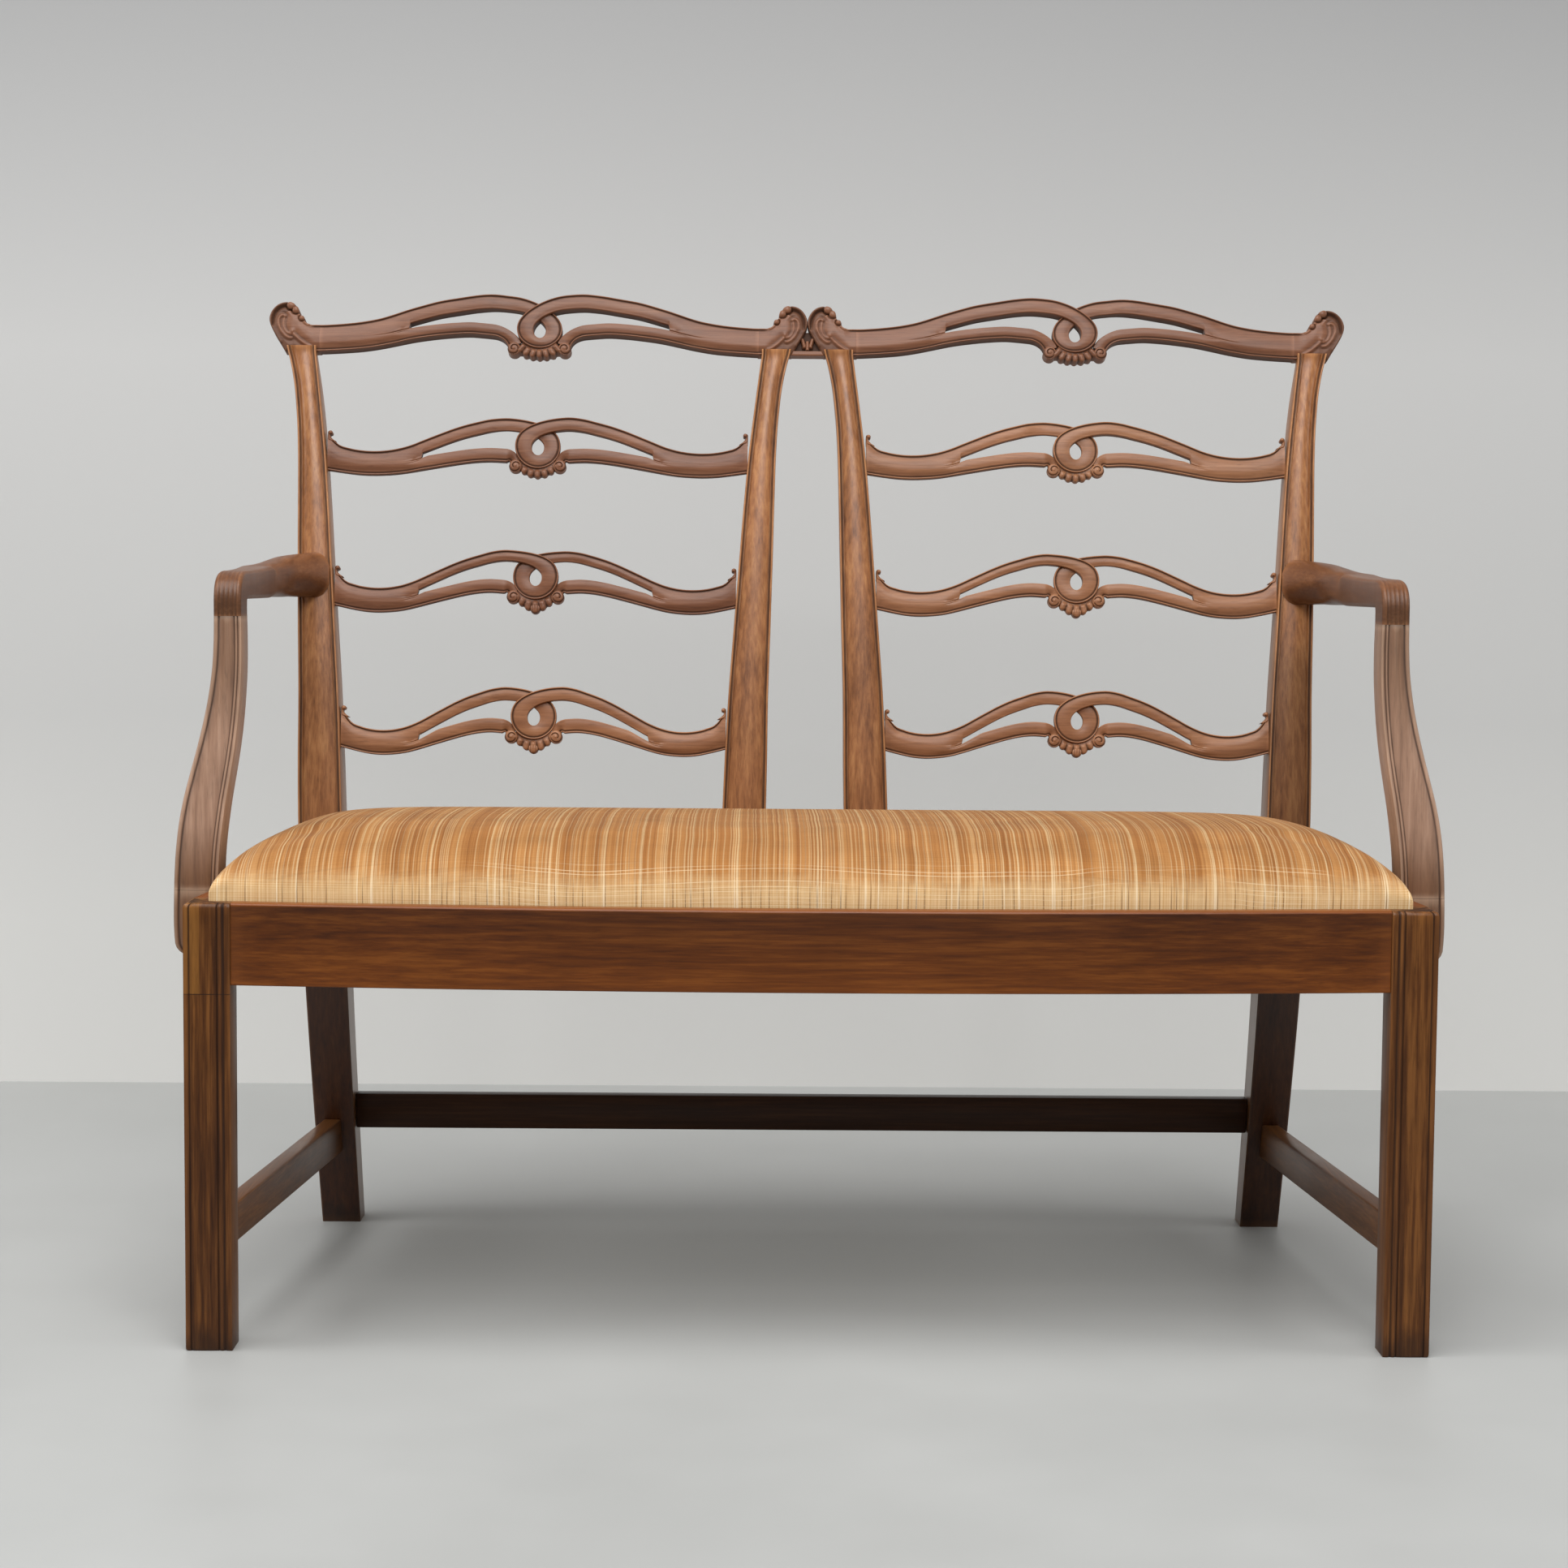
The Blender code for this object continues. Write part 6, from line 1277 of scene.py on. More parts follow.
# Frame members that keep their CAD shape, with softened edges
def softened(node, material, width):
    """A copy of a CAD node with its edges rounded over."""
    source = frame["nodes"][node]
    mesh = source.data.copy()
    paint(mesh, material)

    def cleaned(work):
        bmesh.ops.remove_doubles(work, verts=work.verts, dist=1e-5)
        bmesh.ops.dissolve_limit(work, angle_limit=math.radians(1.5), verts=work.verts, edges=work.edges)
    edit_mesh(mesh, cleaned)
    obj = linked(node + "_finished", mesh)
    bevel = obj.modifiers.new("edge", "BEVEL")
    bevel.width = width
    bevel.segments = 2
    bevel.limit_method = "ANGLE"
    bevel.angle_limit = math.radians(32)
    bevel.use_clamp_overlap = True
    apply_modifiers(obj)
    obj.data.shade_smooth()
    obj.data.set_sharp_from_angle(angle=math.radians(35))
    body = next(body for body, empty in frame["bodies"].items() if source.parent == empty)
    dress(obj, body, [node])


def apply_modifiers(obj):
    """Keeps the result of a piece's modifiers as its mesh."""
    graph = bpy.context.evaluated_depsgraph_get()
    made = bpy.data.meshes.new_from_object(obj.evaluated_get(graph))
    obj.modifiers.clear()
    old = obj.data
    obj.data = made
    bpy.data.meshes.remove(old)


def build_members():
    softened("rear_seat_rail", rear_wood, 0.0015)
    softened("rear_stretcher", rear_wood, 0.0014)
    for label in ("left", "right"):
        softened("side_seat_rail_" + label, side_rail_wood, 0.0015)
        softened("side_stretcher_" + label, side_stretcher_wood, 0.0016)
        for place in ("front", "rear"):
            softened("corner_block_%s_%s" % (place, label), secondary_wood, 0.0010)
            for number in (1, 2):
                paint(frame["nodes"]["block_screw_%s_%s_%d" % (place, label, number)].data, screw_steel)
        for screw in ("arm_rest_screw_%s", "arm_support_screw_%s_1", "arm_support_screw_%s_2"):
            paint(frame["nodes"][screw % label].data, screw_steel)
    softened("centre_seat_brace", side_secondary_wood, 0.0010)
    for bar in ("front", "rear"):
        softened("seat_frame_" + bar, secondary_wood, 0.0010)
    for bar in ("left", "right", "centre"):
        softened("seat_frame_" + bar, side_secondary_wood, 0.0010)


# Front rail with a rounded top edge
RAIL_THICKNESS = 0.026
SEAT_RECESS = 0.014
LIP_FRONT = 0.016
LIP_SIDE = 0.0165
LIP_ROUND = 0.0034
# Painted highlight along the lip's rounded top edge, lightened like a worn edge.
LIP_PAINTED_HIGHLIGHT = -0.42
LIP_STEPS = 6


def build_front_rail():
    low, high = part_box("front_seat_rail")
    shoulder = LEG_OUTER - LEG_SIDE - GAP
    stations = np.linspace(-shoulder, shoulder, 81)
    front = FRONT_Y + RAIL_SETBACK - FRONT_BOW * (1 - (stations / shoulder) ** 2)
    ledge = high.z - SEAT_RECESS
    section = [(0.0, low.z + 0.0008), (0.0, high.z - LIP_ROUND)]
    for angle in (math.pi / 2 * k / LIP_STEPS for k in range(1, LIP_STEPS + 1)):
        section.append((LIP_ROUND * (1 - math.cos(angle)), high.z - LIP_ROUND * (1 - math.sin(angle))))
    section += [(LIP_FRONT - 0.0006, high.z), (LIP_FRONT, high.z - 0.0006), (LIP_FRONT, ledge),
                (RAIL_THICKNESS, ledge), (RAIL_THICKNESS, low.z), (0.0008, low.z)]
    rings = [np.stack([stations, front + inward, np.full(len(stations), z)], 1) for inward, z in section]
    carves = np.zeros((len(stations), len(section)))
    carves[:, 1] = 0.5
    # The lip's rounding gets the painted highlight.
    carves[:, 3:9] = LIP_PAINTED_HIGHLIGHT
    make_piece("bowed_front_rail", Shape().loft(np.stack(rings, 1), carves), rail_wood,
               ["front_seat_rail"], 35)


# Front legs. Their moulding is (offset, drop, carve), in millimetres.
LEG_PROFILE = ((0.0, 0.9, 0.2), (0.4, 0.25, 0.0), (2.4, 0.0, 0.0), (4.3, 0.25, 0.1), (4.9, 1.0, 0.9),
               (5.5, 1.1, 1.0), (6.3, 0.4, 0.2), (9.0, 0.1, 0.0), (17.0, 0.0, 0.0), (25.0, 0.15, 0.0),
               (29.6, 0.5, 0.2), (30.4, 1.3, 1.0), (31.0, 1.1, 0.8), (32.0, 0.35, 0.1), (33.2, 0.0, 0.0),
               (34.4, 0.35, 0.1), (35.4, 1.1, 0.8), (36.0, 1.3, 1.0), (36.6, 1.1, 0.8), (37.6, 0.35, 0.1),
               (39.0, 0.0, 0.0), (41.0, 0.15, 0.0), (42.1, 0.3, 0.0), (42.5, 0.9, 0.2))
LEG_CHAMFER = 0.007
LEG_TOP_STEPS = ((0.0045, 0.0), (0.0024, 0.0006), (0.0010, 0.0018), (0.0002, 0.0034))
FOOT_STEPS = ((0.0, 0.0014), (0.0012, 0.0003), (0.003, 0.0))


def leg_ring(side, z, inset, notched):
    """Plan of a front leg: mouldings on the front and outer faces, and the seat's corner cut out."""
    rows = [(offset * MM, drop * MM, carve) for offset, drop, carve in LEG_PROFILE]
    rows = [(max(offset, drop) + inset * (1 - offset / LEG_SIDE), drop + inset, carve)
            for offset, drop, carve in rows]
    points = [(LEG_OUTER - along, FRONT_Y + inward, carve) for along, inward, carve in rows]
    inner = LEG_OUTER - LEG_SIDE
    back = FRONT_Y + LEG_SIDE
    if notched:
        corner_x = LEG_OUTER - RAIL_SETBACK - LIP_SIDE
        corner_y = FRONT_Y + RAIL_SETBACK + LIP_FRONT
        points += [(inner, corner_y, 0.3), (corner_x, corner_y, 0.3), (corner_x, back, 0.3)]
    else:
        points += [(inner, back - LEG_CHAMFER, 0), (inner + LEG_CHAMFER * 0.5, back - LEG_CHAMFER * 0.5, 0),
                   (inner + LEG_CHAMFER, back, 0)]
    points += [(LEG_OUTER - inward, FRONT_Y + along, carve) for along, inward, carve in rows[:0:-1]]
    ring = [(side * x, y, z) for x, y, carve in points]
    return ring, [carve for x, y, carve in points]


def build_front_legs():
    for label, side in SIDES:
        ledge = RAIL_TOP - SEAT_RECESS
        lower = [leg_ring(side, z, inset, False) for z, inset in FOOT_STEPS]
        lower += [leg_ring(side, z, 0.0, False) for z in np.linspace(0.02, ledge, 12)]
        upper = [leg_ring(side, ledge, 0.0, True)]
        upper += [leg_ring(side, RAIL_TOP - drop, inset, True) for drop, inset in LEG_TOP_STEPS]
        shape = Shape()
        shape.loft(np.array([ring for ring, carve in lower]), np.array([carve for ring, carve in lower]))
        shape.loft(np.array([ring for ring, carve in upper]), np.array([carve for ring, carve in upper]))
        material = patched_leg_wood if side < 0 else leg_wood
        make_piece("reeded_leg_" + label, shape, material, ["front_leg_" + label], 38)


# Arms, drawn for the +X side
ARM_TURN_BACK = 0.150
ARM_FRONT = 0.107
ARM_JOINT = RAIL_TOP + 0.256
ARM_TURN_HEIGHT = ARM_JOINT + 0.011
ARM_TURN_RADIUS = 0.004
ARM_TOP_FRONT = ARM_JOINT + 0.0415
ARM_SECTIONS = (0.12, 0.32, 0.55, 0.72, 0.84, 0.93)
KNUCKLE_INNER = 0.5315
KNUCKLE_OUTER = 0.5573
FLUTES = 5
FLUTE_DEPTH = 0.0004
TOP_STEPS = 40
RIDGE_START = 0.50
ROUND_FROM = 0.52
ARM_POST_HEIGHT = 0.7005


def rounded_box(half_width, half_height, radius):
    """Section as (across, up) points from the inner top corner round to it again, inner side first.

    The top comes last and is finely divided, so that flutes can be cut in it.
    """
    points = []
    for centre_u, centre_v, start in ((-1, 1, 90), (-1, -1, 180), (1, -1, 270), (1, 1, 0)):
        for t in np.linspace(0, math.pi / 2, 7):
            angle = math.radians(start) + t
            points.append((centre_u * (half_width - radius) + radius * math.cos(angle),
                           centre_v * (half_height - radius) + radius * math.sin(angle)))
    u = np.linspace(half_width - radius, -(half_width - radius), TOP_STEPS + 2)[1:-1]
    points += [(value, half_height) for value in u]
    return np.array(points)


def arm_slices():
    """Limits of the CAD arm's sections, from the turn to the post."""
    points = places_of(frame["nodes"]["arm_rest_right"])
    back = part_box("arm_rest_right")[1].y
    post_face = float(lean_at(ARM_POST_HEIGHT)) - GAP
    rows = []
    for share in ARM_SECTIONS:
        y = mix(ARM_TURN_BACK + FRONT_Y, post_face + GAP, share)
        near = points[np.abs(points[:, 1] - y) < 2e-4]
        rows.append((share, near[:, 0].min(), near[:, 0].max(), near[:, 2].min(), near[:, 2].max()))
    end = points[points[:, 1] > back - 0.02]
    rows.append((1.0, end[:, 0].min(), end[:, 0].max(), end[:, 2].min(), end[:, 2].max()))
    rows.insert(0, (0.0, KNUCKLE_INNER, KNUCKLE_OUTER, ARM_TURN_HEIGHT + ARM_TURN_RADIUS, ARM_TOP_FRONT))
    return [curve([(row[0], row[k]) for row in rows]) for k in (1, 2, 3, 4)], post_face


def twist(section, share):
    """The arris that winds from the top over the inner side to the underside near the post."""
    if share < RIDGE_START:
        return section
    t = (share - RIDGE_START) / (1 - RIDGE_START)
    angle = np.arctan2(section[:, 1], section[:, 0]) % (2 * math.pi)
    middle = math.radians(mix(128, 238, float(smoothed(t * 1.15))))
    strength = float(smoothed(t * 2.5)) * float(smoothed((1 - t) * 4))
    raised = 0.05 * bell(angle - middle, 0.15) - 0.17 * bell(angle - middle + 0.52, 0.42)
    return section * (1 + strength * raised)[:, None]


def fluted(section, radius, half_width, weight):
    """Cuts flutes in the last points of a section, which lie along its top."""
    u = section[-TOP_STEPS:, 0]
    reach = half_width - radius * 0.6
    depth = np.abs(np.sin(math.pi * FLUTES * (u / reach + 1) / 2)) ** 0.8
    section = section.copy()
    section[-TOP_STEPS:, 1] -= FLUTE_DEPTH * weight * depth * (np.abs(u) < reach)
    carve = np.zeros(len(section))
    carve[-TOP_STEPS:] = 0.15 * weight * depth
    return section, carve


def build_arms():
    (inner_at, outer_at, low_at, high_at), post_face = arm_slices()
    rings = []
    carves = []
    turn_y = ARM_TURN_BACK + FRONT_Y
    for share in np.linspace(1.0, 0.0, 60)[:-1]:
        inner, outer, low, high = (float(f(share)) for f in (inner_at, outer_at, low_at, high_at))
        half_width, half_height = (outer - inner) / 2, (high - low) / 2
        round_share = mix(0.30, 0.85, float(smoothed((share - 0.55) / 0.35)))
        radius = min(half_width, half_height) * round_share
        section = rounded_box(half_width, half_height, radius)
        turn = np.arctan2(section[:, 1] / half_height, section[:, 0] / half_width)
        oval = np.stack([half_width * np.cos(turn), half_height * np.sin(turn)], 1)
        section = twist(mix(section, oval, float(smoothed((share - ROUND_FROM) / 0.30))), share)
        section, carve = fluted(section, radius, half_width, float(smoothed(1 - share / 0.045)))
        y = mix(turn_y, post_face, share)
        middle_z = (low + high) / 2
        ring = [((inner + outer) / 2 + u, y, middle_z + v) for u, v in section]
        if share > 0.999:
            ring = [(x, float(lean_at(z)) - GAP, z) for x, y, z in ring]
        rings.append(ring)
        carves.append(carve)
    middle_x = (KNUCKLE_INNER + KNUCKLE_OUTER) / 2
    half_width = (KNUCKLE_OUTER - KNUCKLE_INNER) / 2
    up, forward = ARM_TOP_FRONT - ARM_TURN_HEIGHT, ARM_TURN_BACK - ARM_FRONT
    turns = [(t, 0.0) for t in np.linspace(0, math.pi / 2, 22)]
    turns += [(math.pi / 2, drop) for drop in np.linspace(0, ARM_TURN_HEIGHT - ARM_JOINT, 6)[1:]]
    for angle, drop in turns:
        reach = 1 / ((math.cos(angle) / up) ** 2.6 + (math.sin(angle) / forward) ** 2.6) ** (1 / 2.6)
        half_height = (reach - ARM_TURN_RADIUS) / 2
        radius = 0.30 * half_width
        section, carve = fluted(rounded_box(half_width, half_height, radius), radius, half_width, 1.0)
        rings.append([(middle_x + u, turn_y - (ARM_TURN_RADIUS + half_height + v) * math.sin(angle),
                       ARM_TURN_HEIGHT + (ARM_TURN_RADIUS + half_height + v) * math.cos(angle) - drop)
                      for u, v in section])
        carves.append(carve)
    rings = np.array(rings)
    for label, side in SIDES:
        shape = Shape().loft(rings * np.array([side, 1, 1]), np.array(carves))
        make_piece("scrolled_arm_" + label, shape, arm_wood, ["arm_rest_" + label], 50)


# Arm supports. Their mouldings are (offset, drop, carve), in millimetres.
SUPPORT_FOOT = RAIL_TOP - 0.061
SUPPORT_PROFILE = ((0.0, 2.2, 0.2), (0.5, 0.9, 0.0), (1.6, 0.1, 0.0), (2.8, 0.0, 0.0), (3.9, 0.3, 0.2),
                   (4.5, 1.2, 1.0), (5.2, 1.1, 0.8), (6.4, 0.4, 0.2))
SUPPORT_INNER_PROFILE = ((7.6, 0.35, 0.1), (6.8, 1.1, 0.9), (6.0, 0.3, 0.1), (5.2, 0.0, 0.0),
                         (4.4, 0.3, 0.1), (3.7, 1.1, 0.9), (3.0, 0.3, 0.1), (1.6, 0.0, 0.0),
                         (0.5, 0.4, 0.0), (0.0, 1.4, 0.1))
SUPPORT_SWELL = 0.0032
SUPPORT_BACK_ROUND = 0.005


def support_section(outer, width, front, depth, lap):
    """Plan section of a support from its outer front edge, clipped to the part outside the side rail."""
    columns = [(offset * MM, drop * MM, carve) for offset, drop, carve in SUPPORT_PROFILE]
    start, finish = columns[-1][0], width - SUPPORT_INNER_PROFILE[0][0] * MM
    for share in (0.2, 0.4, 0.6, 0.8):
        dip = SUPPORT_SWELL * (1 - (2 * share - 1) ** 2)
        columns.append((mix(start, finish, share), 0.0004 - dip + SUPPORT_SWELL * 0.5, 0.0))
    columns += [(width - offset * MM, drop * MM, carve) for offset, drop, carve in SUPPORT_INNER_PROFILE]
    points = [(outer - min(offset, lap), front + drop, carve) for offset, drop, carve in columns]
    inner = outer - min(width, lap)
    back = front + depth
    r = SUPPORT_BACK_ROUND
    for centre_x, start_angle in ((inner + r, 180), (outer - r, 90)):
        for t in np.linspace(0, 90, 5):
            angle = math.radians(start_angle - t)
            points.append((centre_x + r * math.cos(angle), back - r + r * math.sin(angle), 0.0))
    return points


def build_supports():
    top = ARM_JOINT - 0.00004
    shares = [0.0] + [mix(0.08, 1, k / 12) for k in range(13)]
    heights = [mix(SUPPORT_FOOT, top, share) for share in shares]
    rows = [sliced("arm_support_right", min(max(z, SUPPORT_FOOT + 1e-5), ARM_JOINT - GAP - 2e-5))
            for z in heights]
    outer_at, front_at, back_at = (curve([(z, row[k]) for z, row in zip(heights, rows)]) for k in (1, 2, 3))
    free = [(z, row[1] - row[0]) for z, row in zip(heights, rows) if z > RAIL_TOP]
    width_at = curve([(SUPPORT_FOOT, free[0][1])] + free)
    lap_at = curve([(z, row[1] - row[0]) for z, row in zip(heights, rows) if z < RAIL_TOP])
    low_z = SUPPORT_FOOT + np.array([0.0, 0.0006, 0.002, 0.004, 0.007, 0.011, 0.018])
    low_z = np.concatenate([low_z, np.linspace(SUPPORT_FOOT + 0.028, RAIL_TOP, 5)])
    high_z = np.linspace(RAIL_TOP + GAP, top, 70)
    for label, side in SIDES:
        shape = Shape()
        for levels, lapped in ((low_z, True), (high_z, False)):
            rings = []
            carves = []
            for z in levels:
                near_foot = max(0.0, 1 - (z - SUPPORT_FOOT) / 0.012)
                rounding = 0.012 * (1 - math.sqrt(max(0.0, 1 - near_foot ** 2)))
                outer = float(outer_at(z)) - rounding
                lap = float(lap_at(z)) - rounding if lapped else 1.0
                section = support_section(outer, float(width_at(z)), float(front_at(z)) + rounding * 0.3,
                                          float(back_at(z) - front_at(z)) - rounding * 0.6, lap)
                rings.append([(side * x, y, z) for x, y, carve in section])
                joint = 0.7 * float(smoothed(1 - (top - z) / 0.0012))
                carves.append([max(carve, joint) for x, y, carve in section])
            shape.loft(np.array(rings), np.array(carves))
        make_piece("moulded_support_" + label, shape, support_wood,
                   ["arm_support_" + label], 42)


# Seat
SEAT_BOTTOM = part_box("seat_cover")[0].z
CROWN_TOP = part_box("seat_cover")[1].z
CROWN_EDGE = RAIL_TOP + 0.0060
SEAT_CLEARANCE = 0.0015
COVER_THICKNESS = 0.0020
COVER_SINK = 0.0012
FILLING_SINK = 0.0075
FILLING_INSET = 0.0050
HESSIAN_INSET = 0.0040
HESSIAN_SLACK = 0.00015
LONG_POWER, CROSS_POWER, ROUND_POWER = 11.0, 5.0, 0.29
LONG_HALF, CROSS_HALF = 0.54, 0.24
RISE_STEPS = (0.0, 0.15, 0.30, 0.44, 0.56, 0.66, 0.74, 0.80, 0.85, 0.89, 0.925, 0.95, 0.968, 0.98, 0.988,
              0.995)
INNER_STEP = 0.009
DOME_RISE = 0.0069
DOME_FALL = 0.13
DOME_DEPTH = 0.11
CLOTH = (("quality", 5), ("mass", 0.3), ("tension_stiffness", 12), ("compression_stiffness", 12),
         ("bending_stiffness", 0.6), ("use_pressure", True), ("uniform_pressure_force", 4))
CLOTH_STEPS = 20
SWELL_CAP = 0.0045
SWELL_START = 0.034
FOLD_HEIGHT = 0.0009
WEB_WIDTH = 0.050
WEBS_ALONG, WEBS_ACROSS = 3, 6


def seat_side(y, inset):
    """Half width of the seat at a depth behind the legs' front."""
    points = places_of(frame["nodes"]["seat_cover"])
    depth = points[:, 1] - FRONT_Y
    rear = np.abs(points[depth > depth.max() - 1e-4, 0]).max()
    front_point = points[np.abs(points[:, 0]).argmax()]
    front, front_depth = abs(front_point[0]), front_point[1] - FRONT_Y
    return mix(front, rear, (y - front_depth) / (depth.max() - front_depth)) - inset


def seat_front(x, inset):
    shoulder = LEG_OUTER - LEG_SIDE
    reach = np.minimum(np.abs(x), shoulder)
    return RAIL_SETBACK - FRONT_BOW * (1 - (reach / shoulder) ** 2) + LIP_FRONT + SEAT_CLEARANCE + inset


def crowned_steps(power, half):
    """Places from -1 to 1 that are close together where the crown rises."""
    rising = [(1 - rise ** (1 / ROUND_POWER)) ** (1 / power) for rise in RISE_STEPS]
    count = int(rising[-1] * half / INNER_STEP)
    right = rising + list(np.linspace(rising[-1], 0, count + 1)[1:])
    return np.array([-u for u in right] + right[-2::-1])


def crown_grid(inset, edge, top):
    """Rows of points of the crowned face, from the front to the back."""
    u, v = np.meshgrid(crowned_steps(LONG_POWER, LONG_HALF), crowned_steps(CROSS_POWER, CROSS_HALF))
    corner = seat_side(float(seat_front(LEG_OUTER, inset)), inset)
    rear = SEAT_DEPTH - SEAT_CLEARANCE - inset
    y = mix(seat_front(u * corner, inset), rear, (v + 1) / 2)
    x = u * seat_side(y, inset)
    rise = np.clip(1 - np.abs(u) ** LONG_POWER, 0, 1) * np.clip(1 - np.abs(v) ** CROSS_POWER, 0, 1)
    dome = DOME_RISE - DOME_FALL * (y - DOME_DEPTH) ** 2
    return np.stack([x, y + FRONT_Y, mix(edge, top + dome, rise ** ROUND_POWER)], -1)


def grid_faces(rows, columns):
    """Faces of a grid of points, and the points round its rim in order."""
    faces = [(j * columns + i, j * columns + i + 1, (j + 1) * columns + i + 1, (j + 1) * columns + i)
             for j in range(rows - 1) for i in range(columns - 1)]
    rim = list(range(columns)) + [(j + 1) * columns - 1 for j in range(1, rows)]
    rim += [(rows - 1) * columns + i for i in range(columns - 2, -1, -1)]
    return faces, rim + [j * columns for j in range(rows - 2, 0, -1)]


def wall_faces(upper, lower):
    """Faces between two rings of points."""
    return [(a, b, c, d) for a, b, c, d in zip(upper, lower, lower[1:] + lower[:1], upper[1:] + upper[:1])]


def closed_crown(grid, low_levels):
    """Points and faces of a crowned grid closed by a skirt and a flat underside, and its held points."""
    points = [tuple(p) for p in grid.reshape(-1, 3)]
    faces, rim = grid_faces(*grid.shape[:2])
    last, fixed = rim, list(rim)
    for level in low_levels:
        ring = list(range(len(points), len(points) + len(rim)))
        points += [(points[k][0], points[k][1], level) for k in rim]
        faces += wall_faces(last, ring)
        last = ring
        fixed += ring
    faces.append(tuple(last))
    return points, faces, fixed


def inflate(obj, fixed):
    """Lets the pad swell as cloth under pressure, no point moving further than a cap."""
    before = places_of(obj)
    group = obj.vertex_groups.new(name="held")
    group.add(fixed, 1.0, "REPLACE")
    cloth = obj.modifiers.new("swell", "CLOTH")
    for key, value in CLOTH:
        setattr(cloth.settings, key, value)
    cloth.settings.vertex_group_mass = "held"
    cloth.settings.effector_weights.gravity = 0
    cloth.collision_settings.use_collision = False
    cloth.point_cache.frame_start = 1
    cloth.point_cache.frame_end = CLOTH_STEPS
    for step in range(1, CLOTH_STEPS + 1):
        bpy.context.scene.frame_set(step)
    apply_modifiers(obj)
    bpy.context.scene.frame_set(1)
    moved_by = places_of(obj) - before
    length = np.linalg.norm(moved_by, axis=1)
    moved_by *= (np.minimum(length, SWELL_CAP) / np.maximum(length, 1e-9))[:, None]
    moved_by *= smoothed((before[:, 2] - CROWN_EDGE) / SWELL_START)[:, None]
    obj.data.vertices.foreach_set("co", (before + moved_by).astype(np.float32).ravel())
    obj.data.update()
    obj.vertex_groups.clear()


def corner_folds(points):
    """Small folds that run in from the four corners of the cover."""
    corner_x, rear = np.abs(points[:, 0]).max(), points[:, 1].max()
    lift = np.zeros(len(points))
    for side in (-1, 1):
        for y in (points[:, 1].min() + FRONT_BOW, rear):
            inward, along = (points[:, 0] - side * corner_x) * -side, np.abs(points[:, 1] - y)
            turn = np.arctan2(along, np.maximum(inward, 1e-5))
            lift += FOLD_HEIGHT * np.sin(turn * 11 + side) * bell(np.hypot(inward, along) - 0.018, 0.016)
    return lift


def build_seat():
    grid = crown_grid(0.0008, CROWN_EDGE, CROWN_TOP - COVER_SINK)
    points, faces, fixed = closed_crown(grid, (RAIL_TOP - 0.002, SEAT_BOTTOM))
    obj = new_object("upholstered_seat", points, faces, striped_cover)
    inflate(obj, fixed)
    places = places_of(obj)
    normals = np.array([v.normal for v in obj.data.vertices])
    free = places[:, 2] > CROWN_EDGE
    places += normals * (corner_folds(places) * free)[:, None]
    obj.data.vertices.foreach_set("co", places.astype(np.float32).ravel())
    edit_mesh(obj.data, lambda work: bmesh.ops.delete(
        work, geom=[f for f in work.faces if len(f.verts) > 4], context="FACES_ONLY"))
    finer = obj.modifiers.new("finer", "SUBSURF")
    finer.levels = finer.render_levels = 1
    cloth = obj.modifiers.new("cloth", "SOLIDIFY")
    cloth.thickness = COVER_THICKNESS
    cloth.offset = -1
    apply_modifiers(obj)
    obj.data.shade_smooth()
    dress(obj, "drop_in_seat", ["seat_cover"])


def build_filling():
    """Fibre pad under the cover."""
    grid = crown_grid(FILLING_INSET, CROWN_EDGE - 0.001, CROWN_TOP - FILLING_SINK)[::2, ::2]
    lumps = 0.0006 * np.sin(grid[..., 0] * 71 + 3 * np.sin(grid[..., 1] * 40)) * np.cos(grid[..., 1] * 57)
    grid[1:-1, 1:-1, 2] += lumps[1:-1, 1:-1] - 0.0006
    points, faces = closed_crown(grid, (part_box("seat_padding")[0].z,))[:2]
    obj = new_object("seat_filling", points, faces, padding_felt)
    dress(obj, "drop_in_seat", ["seat_padding"])


def strap(shape, start, end, over, crossings, low, thickness):
    """A strap between two points that passes over and under the ones that cross it."""
    length = math.dist(start, end)
    stations = np.linspace(0, length, int(length / 0.008) + 1)
    weave_height = np.zeros(len(stations))
    for k, place in enumerate(crossings):
        weave_height += (over if k % 2 else -over) * np.exp(-((stations - place) / (WEB_WIDTH * 0.55)) ** 4)
    one = thickness * 0.46
    middle = low + thickness / 2 + np.clip(weave_height, -1, 1) * (thickness - one) / 2
    still = 0 * stations
    rings = []
    for across, up in ((-0.5, -0.3), (-0.47, -0.5), (0.47, -0.5), (0.5, -0.3), (0.5, 0.3), (0.47, 0.5),
                       (-0.47, 0.5), (-0.5, 0.3)):
        if start[1] == end[1]:
            x, y = start[0] + stations, start[1] + across * WEB_WIDTH + still
        else:
            x, y = start[0] + across * WEB_WIDTH + still, start[1] + stations
        rings.append(np.stack([x, y, middle + up * one], 1))
    shape.loft(np.stack(rings, 1))


def build_webbing():
    low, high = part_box("seat_webbing")
    thickness = high.z - low.z
    xs = [mix(low.x, high.x, (k + 0.5) / WEBS_ACROSS) for k in range(WEBS_ACROSS)]
    ys = [mix(low.y, high.y, (k + 0.5) / WEBS_ALONG) for k in range(WEBS_ALONG)]
    shape = Shape()
    for k, y in enumerate(ys):
        strap(shape, (low.x, y), (high.x, y), 1 if k % 2 else -1, [x - low.x for x in xs], low.z, thickness)
    for k, x in enumerate(xs):
        strap(shape, (x, low.y), (x, high.y), -1 if k % 2 else 1, [y - low.y for y in ys], low.z, thickness)
    make_piece("woven_straps", shape, jute, ["seat_webbing"], body="drop_in_seat")


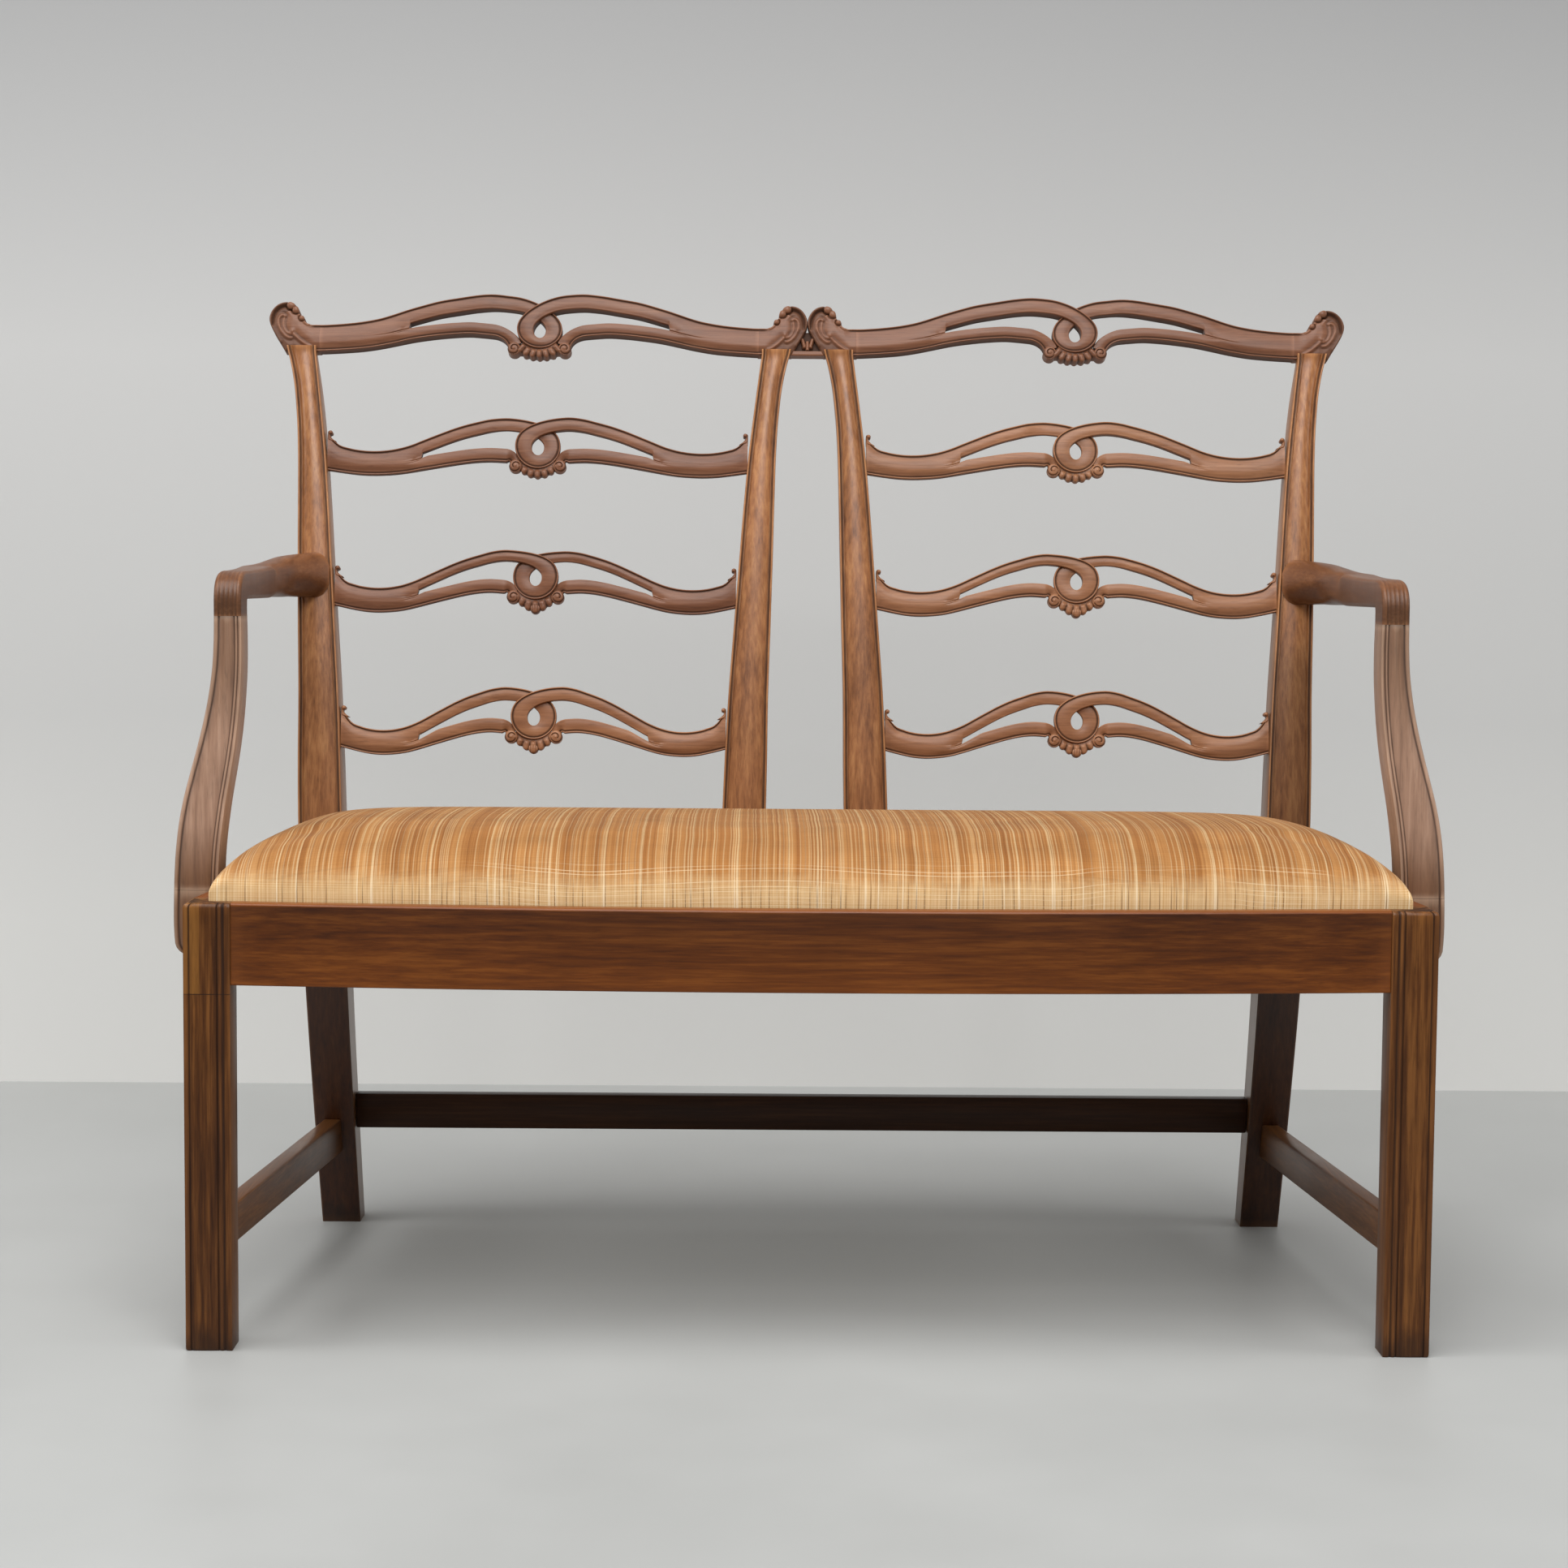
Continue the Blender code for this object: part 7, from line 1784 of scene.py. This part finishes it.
def build_hessian():
    """Stretched cloth over the straps."""
    low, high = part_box("seat_hessian")
    grid = crown_grid(HESSIAN_INSET, low.z, low.z)[::2, ::2]
    ripple = HESSIAN_SLACK * np.sin(grid[..., 0] * 90) * np.sin(grid[..., 1] * 110)
    still = 0 * ripple
    top = grid + np.stack([still, still, high.z - low.z - HESSIAN_SLACK + ripple], -1)
    bottom = grid + np.stack([still, still, HESSIAN_SLACK + ripple], -1)
    faces, rim = grid_faces(*grid.shape[:2])
    n = grid.shape[0] * grid.shape[1]
    faces += [tuple(k + n for k in reversed(face)) for face in faces]
    faces += [(a, b, b + n, a + n) for a, b in zip(rim, rim[1:] + rim[:1])]
    points = np.concatenate([top.reshape(-1, 3), bottom.reshape(-1, 3)])
    obj = new_object("stretched_hessian", points, faces, hessian)
    dress(obj, "drop_in_seat", ["seat_hessian"])


# Studio
CAMERA_PLACE = (-0.0487, -3.0587, 0.7427)
CAMERA_YAW = -0.0081
CAMERA_PITCH = 0.0794
CAMERA_ROLL = -0.0078
PHOTO_FOCAL = 3800.0
PHOTO_SIDE = 1932.0
SENSOR = 36.0


def build_camera():
    camera = bpy.data.cameras.new("camera")
    camera.sensor_width = SENSOR
    camera.lens = SENSOR * PHOTO_FOCAL / PHOTO_SIDE
    camera.clip_start = 0.05
    camera.clip_end = 60
    obj = linked("camera", camera)
    obj.matrix_world = (Matrix.Translation(CAMERA_PLACE) @ Matrix.Rotation(CAMERA_YAW, 4, "Z")
                        @ Matrix.Rotation(math.pi / 2 - CAMERA_PITCH, 4, "X")
                        @ Matrix.Rotation(-CAMERA_ROLL, 4, "Z"))
    bpy.context.scene.camera = obj


FLOOR_TONES = ((0.3, (0.375, 0.380, 0.370)), (0.7, (0.430, 0.435, 0.425)))
WALL_PAINTED_LIGHT_TONES = ((0.0, (0.645, 0.640, 0.620)), (0.10, (0.600, 0.597, 0.580)), (0.22, (0.500, 0.499, 0.490)),
              (0.42, (0.475, 0.474, 0.468)), (0.62, (0.300, 0.300, 0.300)))
STUDIO_HALF = 6
WALL_Y = 1.09
WALL_HEIGHT = 5


def floor_paint():
    m = Nodes("studio_floor")
    stain = m.noise(m.place, 1.6, 4.0, 0.6)
    return m.surface(m.ramp(stain, FLOOR_TONES), m.ramp(stain, ((0.3, 0.42), (0.7, 0.55))))


def wall_paint():
    """Painted light: paler near the floor and darker towards the top, and clear from behind."""
    m = Nodes("studio_wall")
    rise = m.plus(m.math("DIVIDE", m.axis("Z"), 2.4), m.times(m.noise(m.place, 0.9, 2.0), 0.02))
    backside = m.node("ShaderNodeNewGeometry").outputs["Backfacing"]
    return m.surface(m.ramp(rise, WALL_PAINTED_LIGHT_TONES), 0.9, Alpha=m.math("SUBTRACT", 1.0, backside))


def build_studio():
    wide, high = STUDIO_HALF, WALL_HEIGHT
    floor = [(-wide, -wide, 0), (wide, -wide, 0), (wide, wide, 0), (-wide, wide, 0)]
    wall = [(-wide, WALL_Y, 0), (wide, WALL_Y, 0), (wide, WALL_Y, high), (-wide, WALL_Y, high)]
    new_object("floor", floor, [(0, 1, 2, 3)], floor_paint(), closed=False)
    new_object("wall", wall, [(0, 1, 2, 3)], wall_paint(), closed=False)


def area_light(name, place, target, size, power):
    light = bpy.data.lights.new(name, "AREA")
    light.shape = "RECTANGLE"
    light.size, light.size_y = size
    light.energy = power
    obj = linked(name, light)
    obj.location = place
    obj.rotation_euler = (Vector(target) - Vector(place)).to_track_quat("-Z", "Y").to_euler()
    obj.visible_camera = False


def build_lights():
    world = bpy.data.worlds.new("studio")
    bpy.context.scene.world = world
    world.use_nodes = True
    background = world.node_tree.nodes["Background"]
    background.inputs["Color"].default_value = (1.0, 1.0, 1.0, 1)
    background.inputs["Strength"].default_value = 0.20
    area_light("key", (-0.5, -1.2, 3.3), (0, 0.3, 0.4), (3.2, 2.2), 110)
    area_light("front", (0.3, -3.4, 3.2), (0, 0.2, 0.5), (2.8, 1.4), 78)
    area_light("left_side", (-3.2, -0.6, 2.0), (0, 0.2, 0.5), (1.4, 1.8), 32)
    area_light("right_side", (3.2, -0.6, 2.0), (0, 0.2, 0.5), (1.4, 1.8), 26)


build_slats()
build_crests()
build_link()
build_uprights()
build_front_rail()
build_front_legs()
build_members()
build_supports()
build_arms()
build_seat()
build_filling()
build_webbing()
build_hessian()
build_camera()
build_studio()
build_lights()
bpy.context.scene.view_settings.view_transform = "Standard"
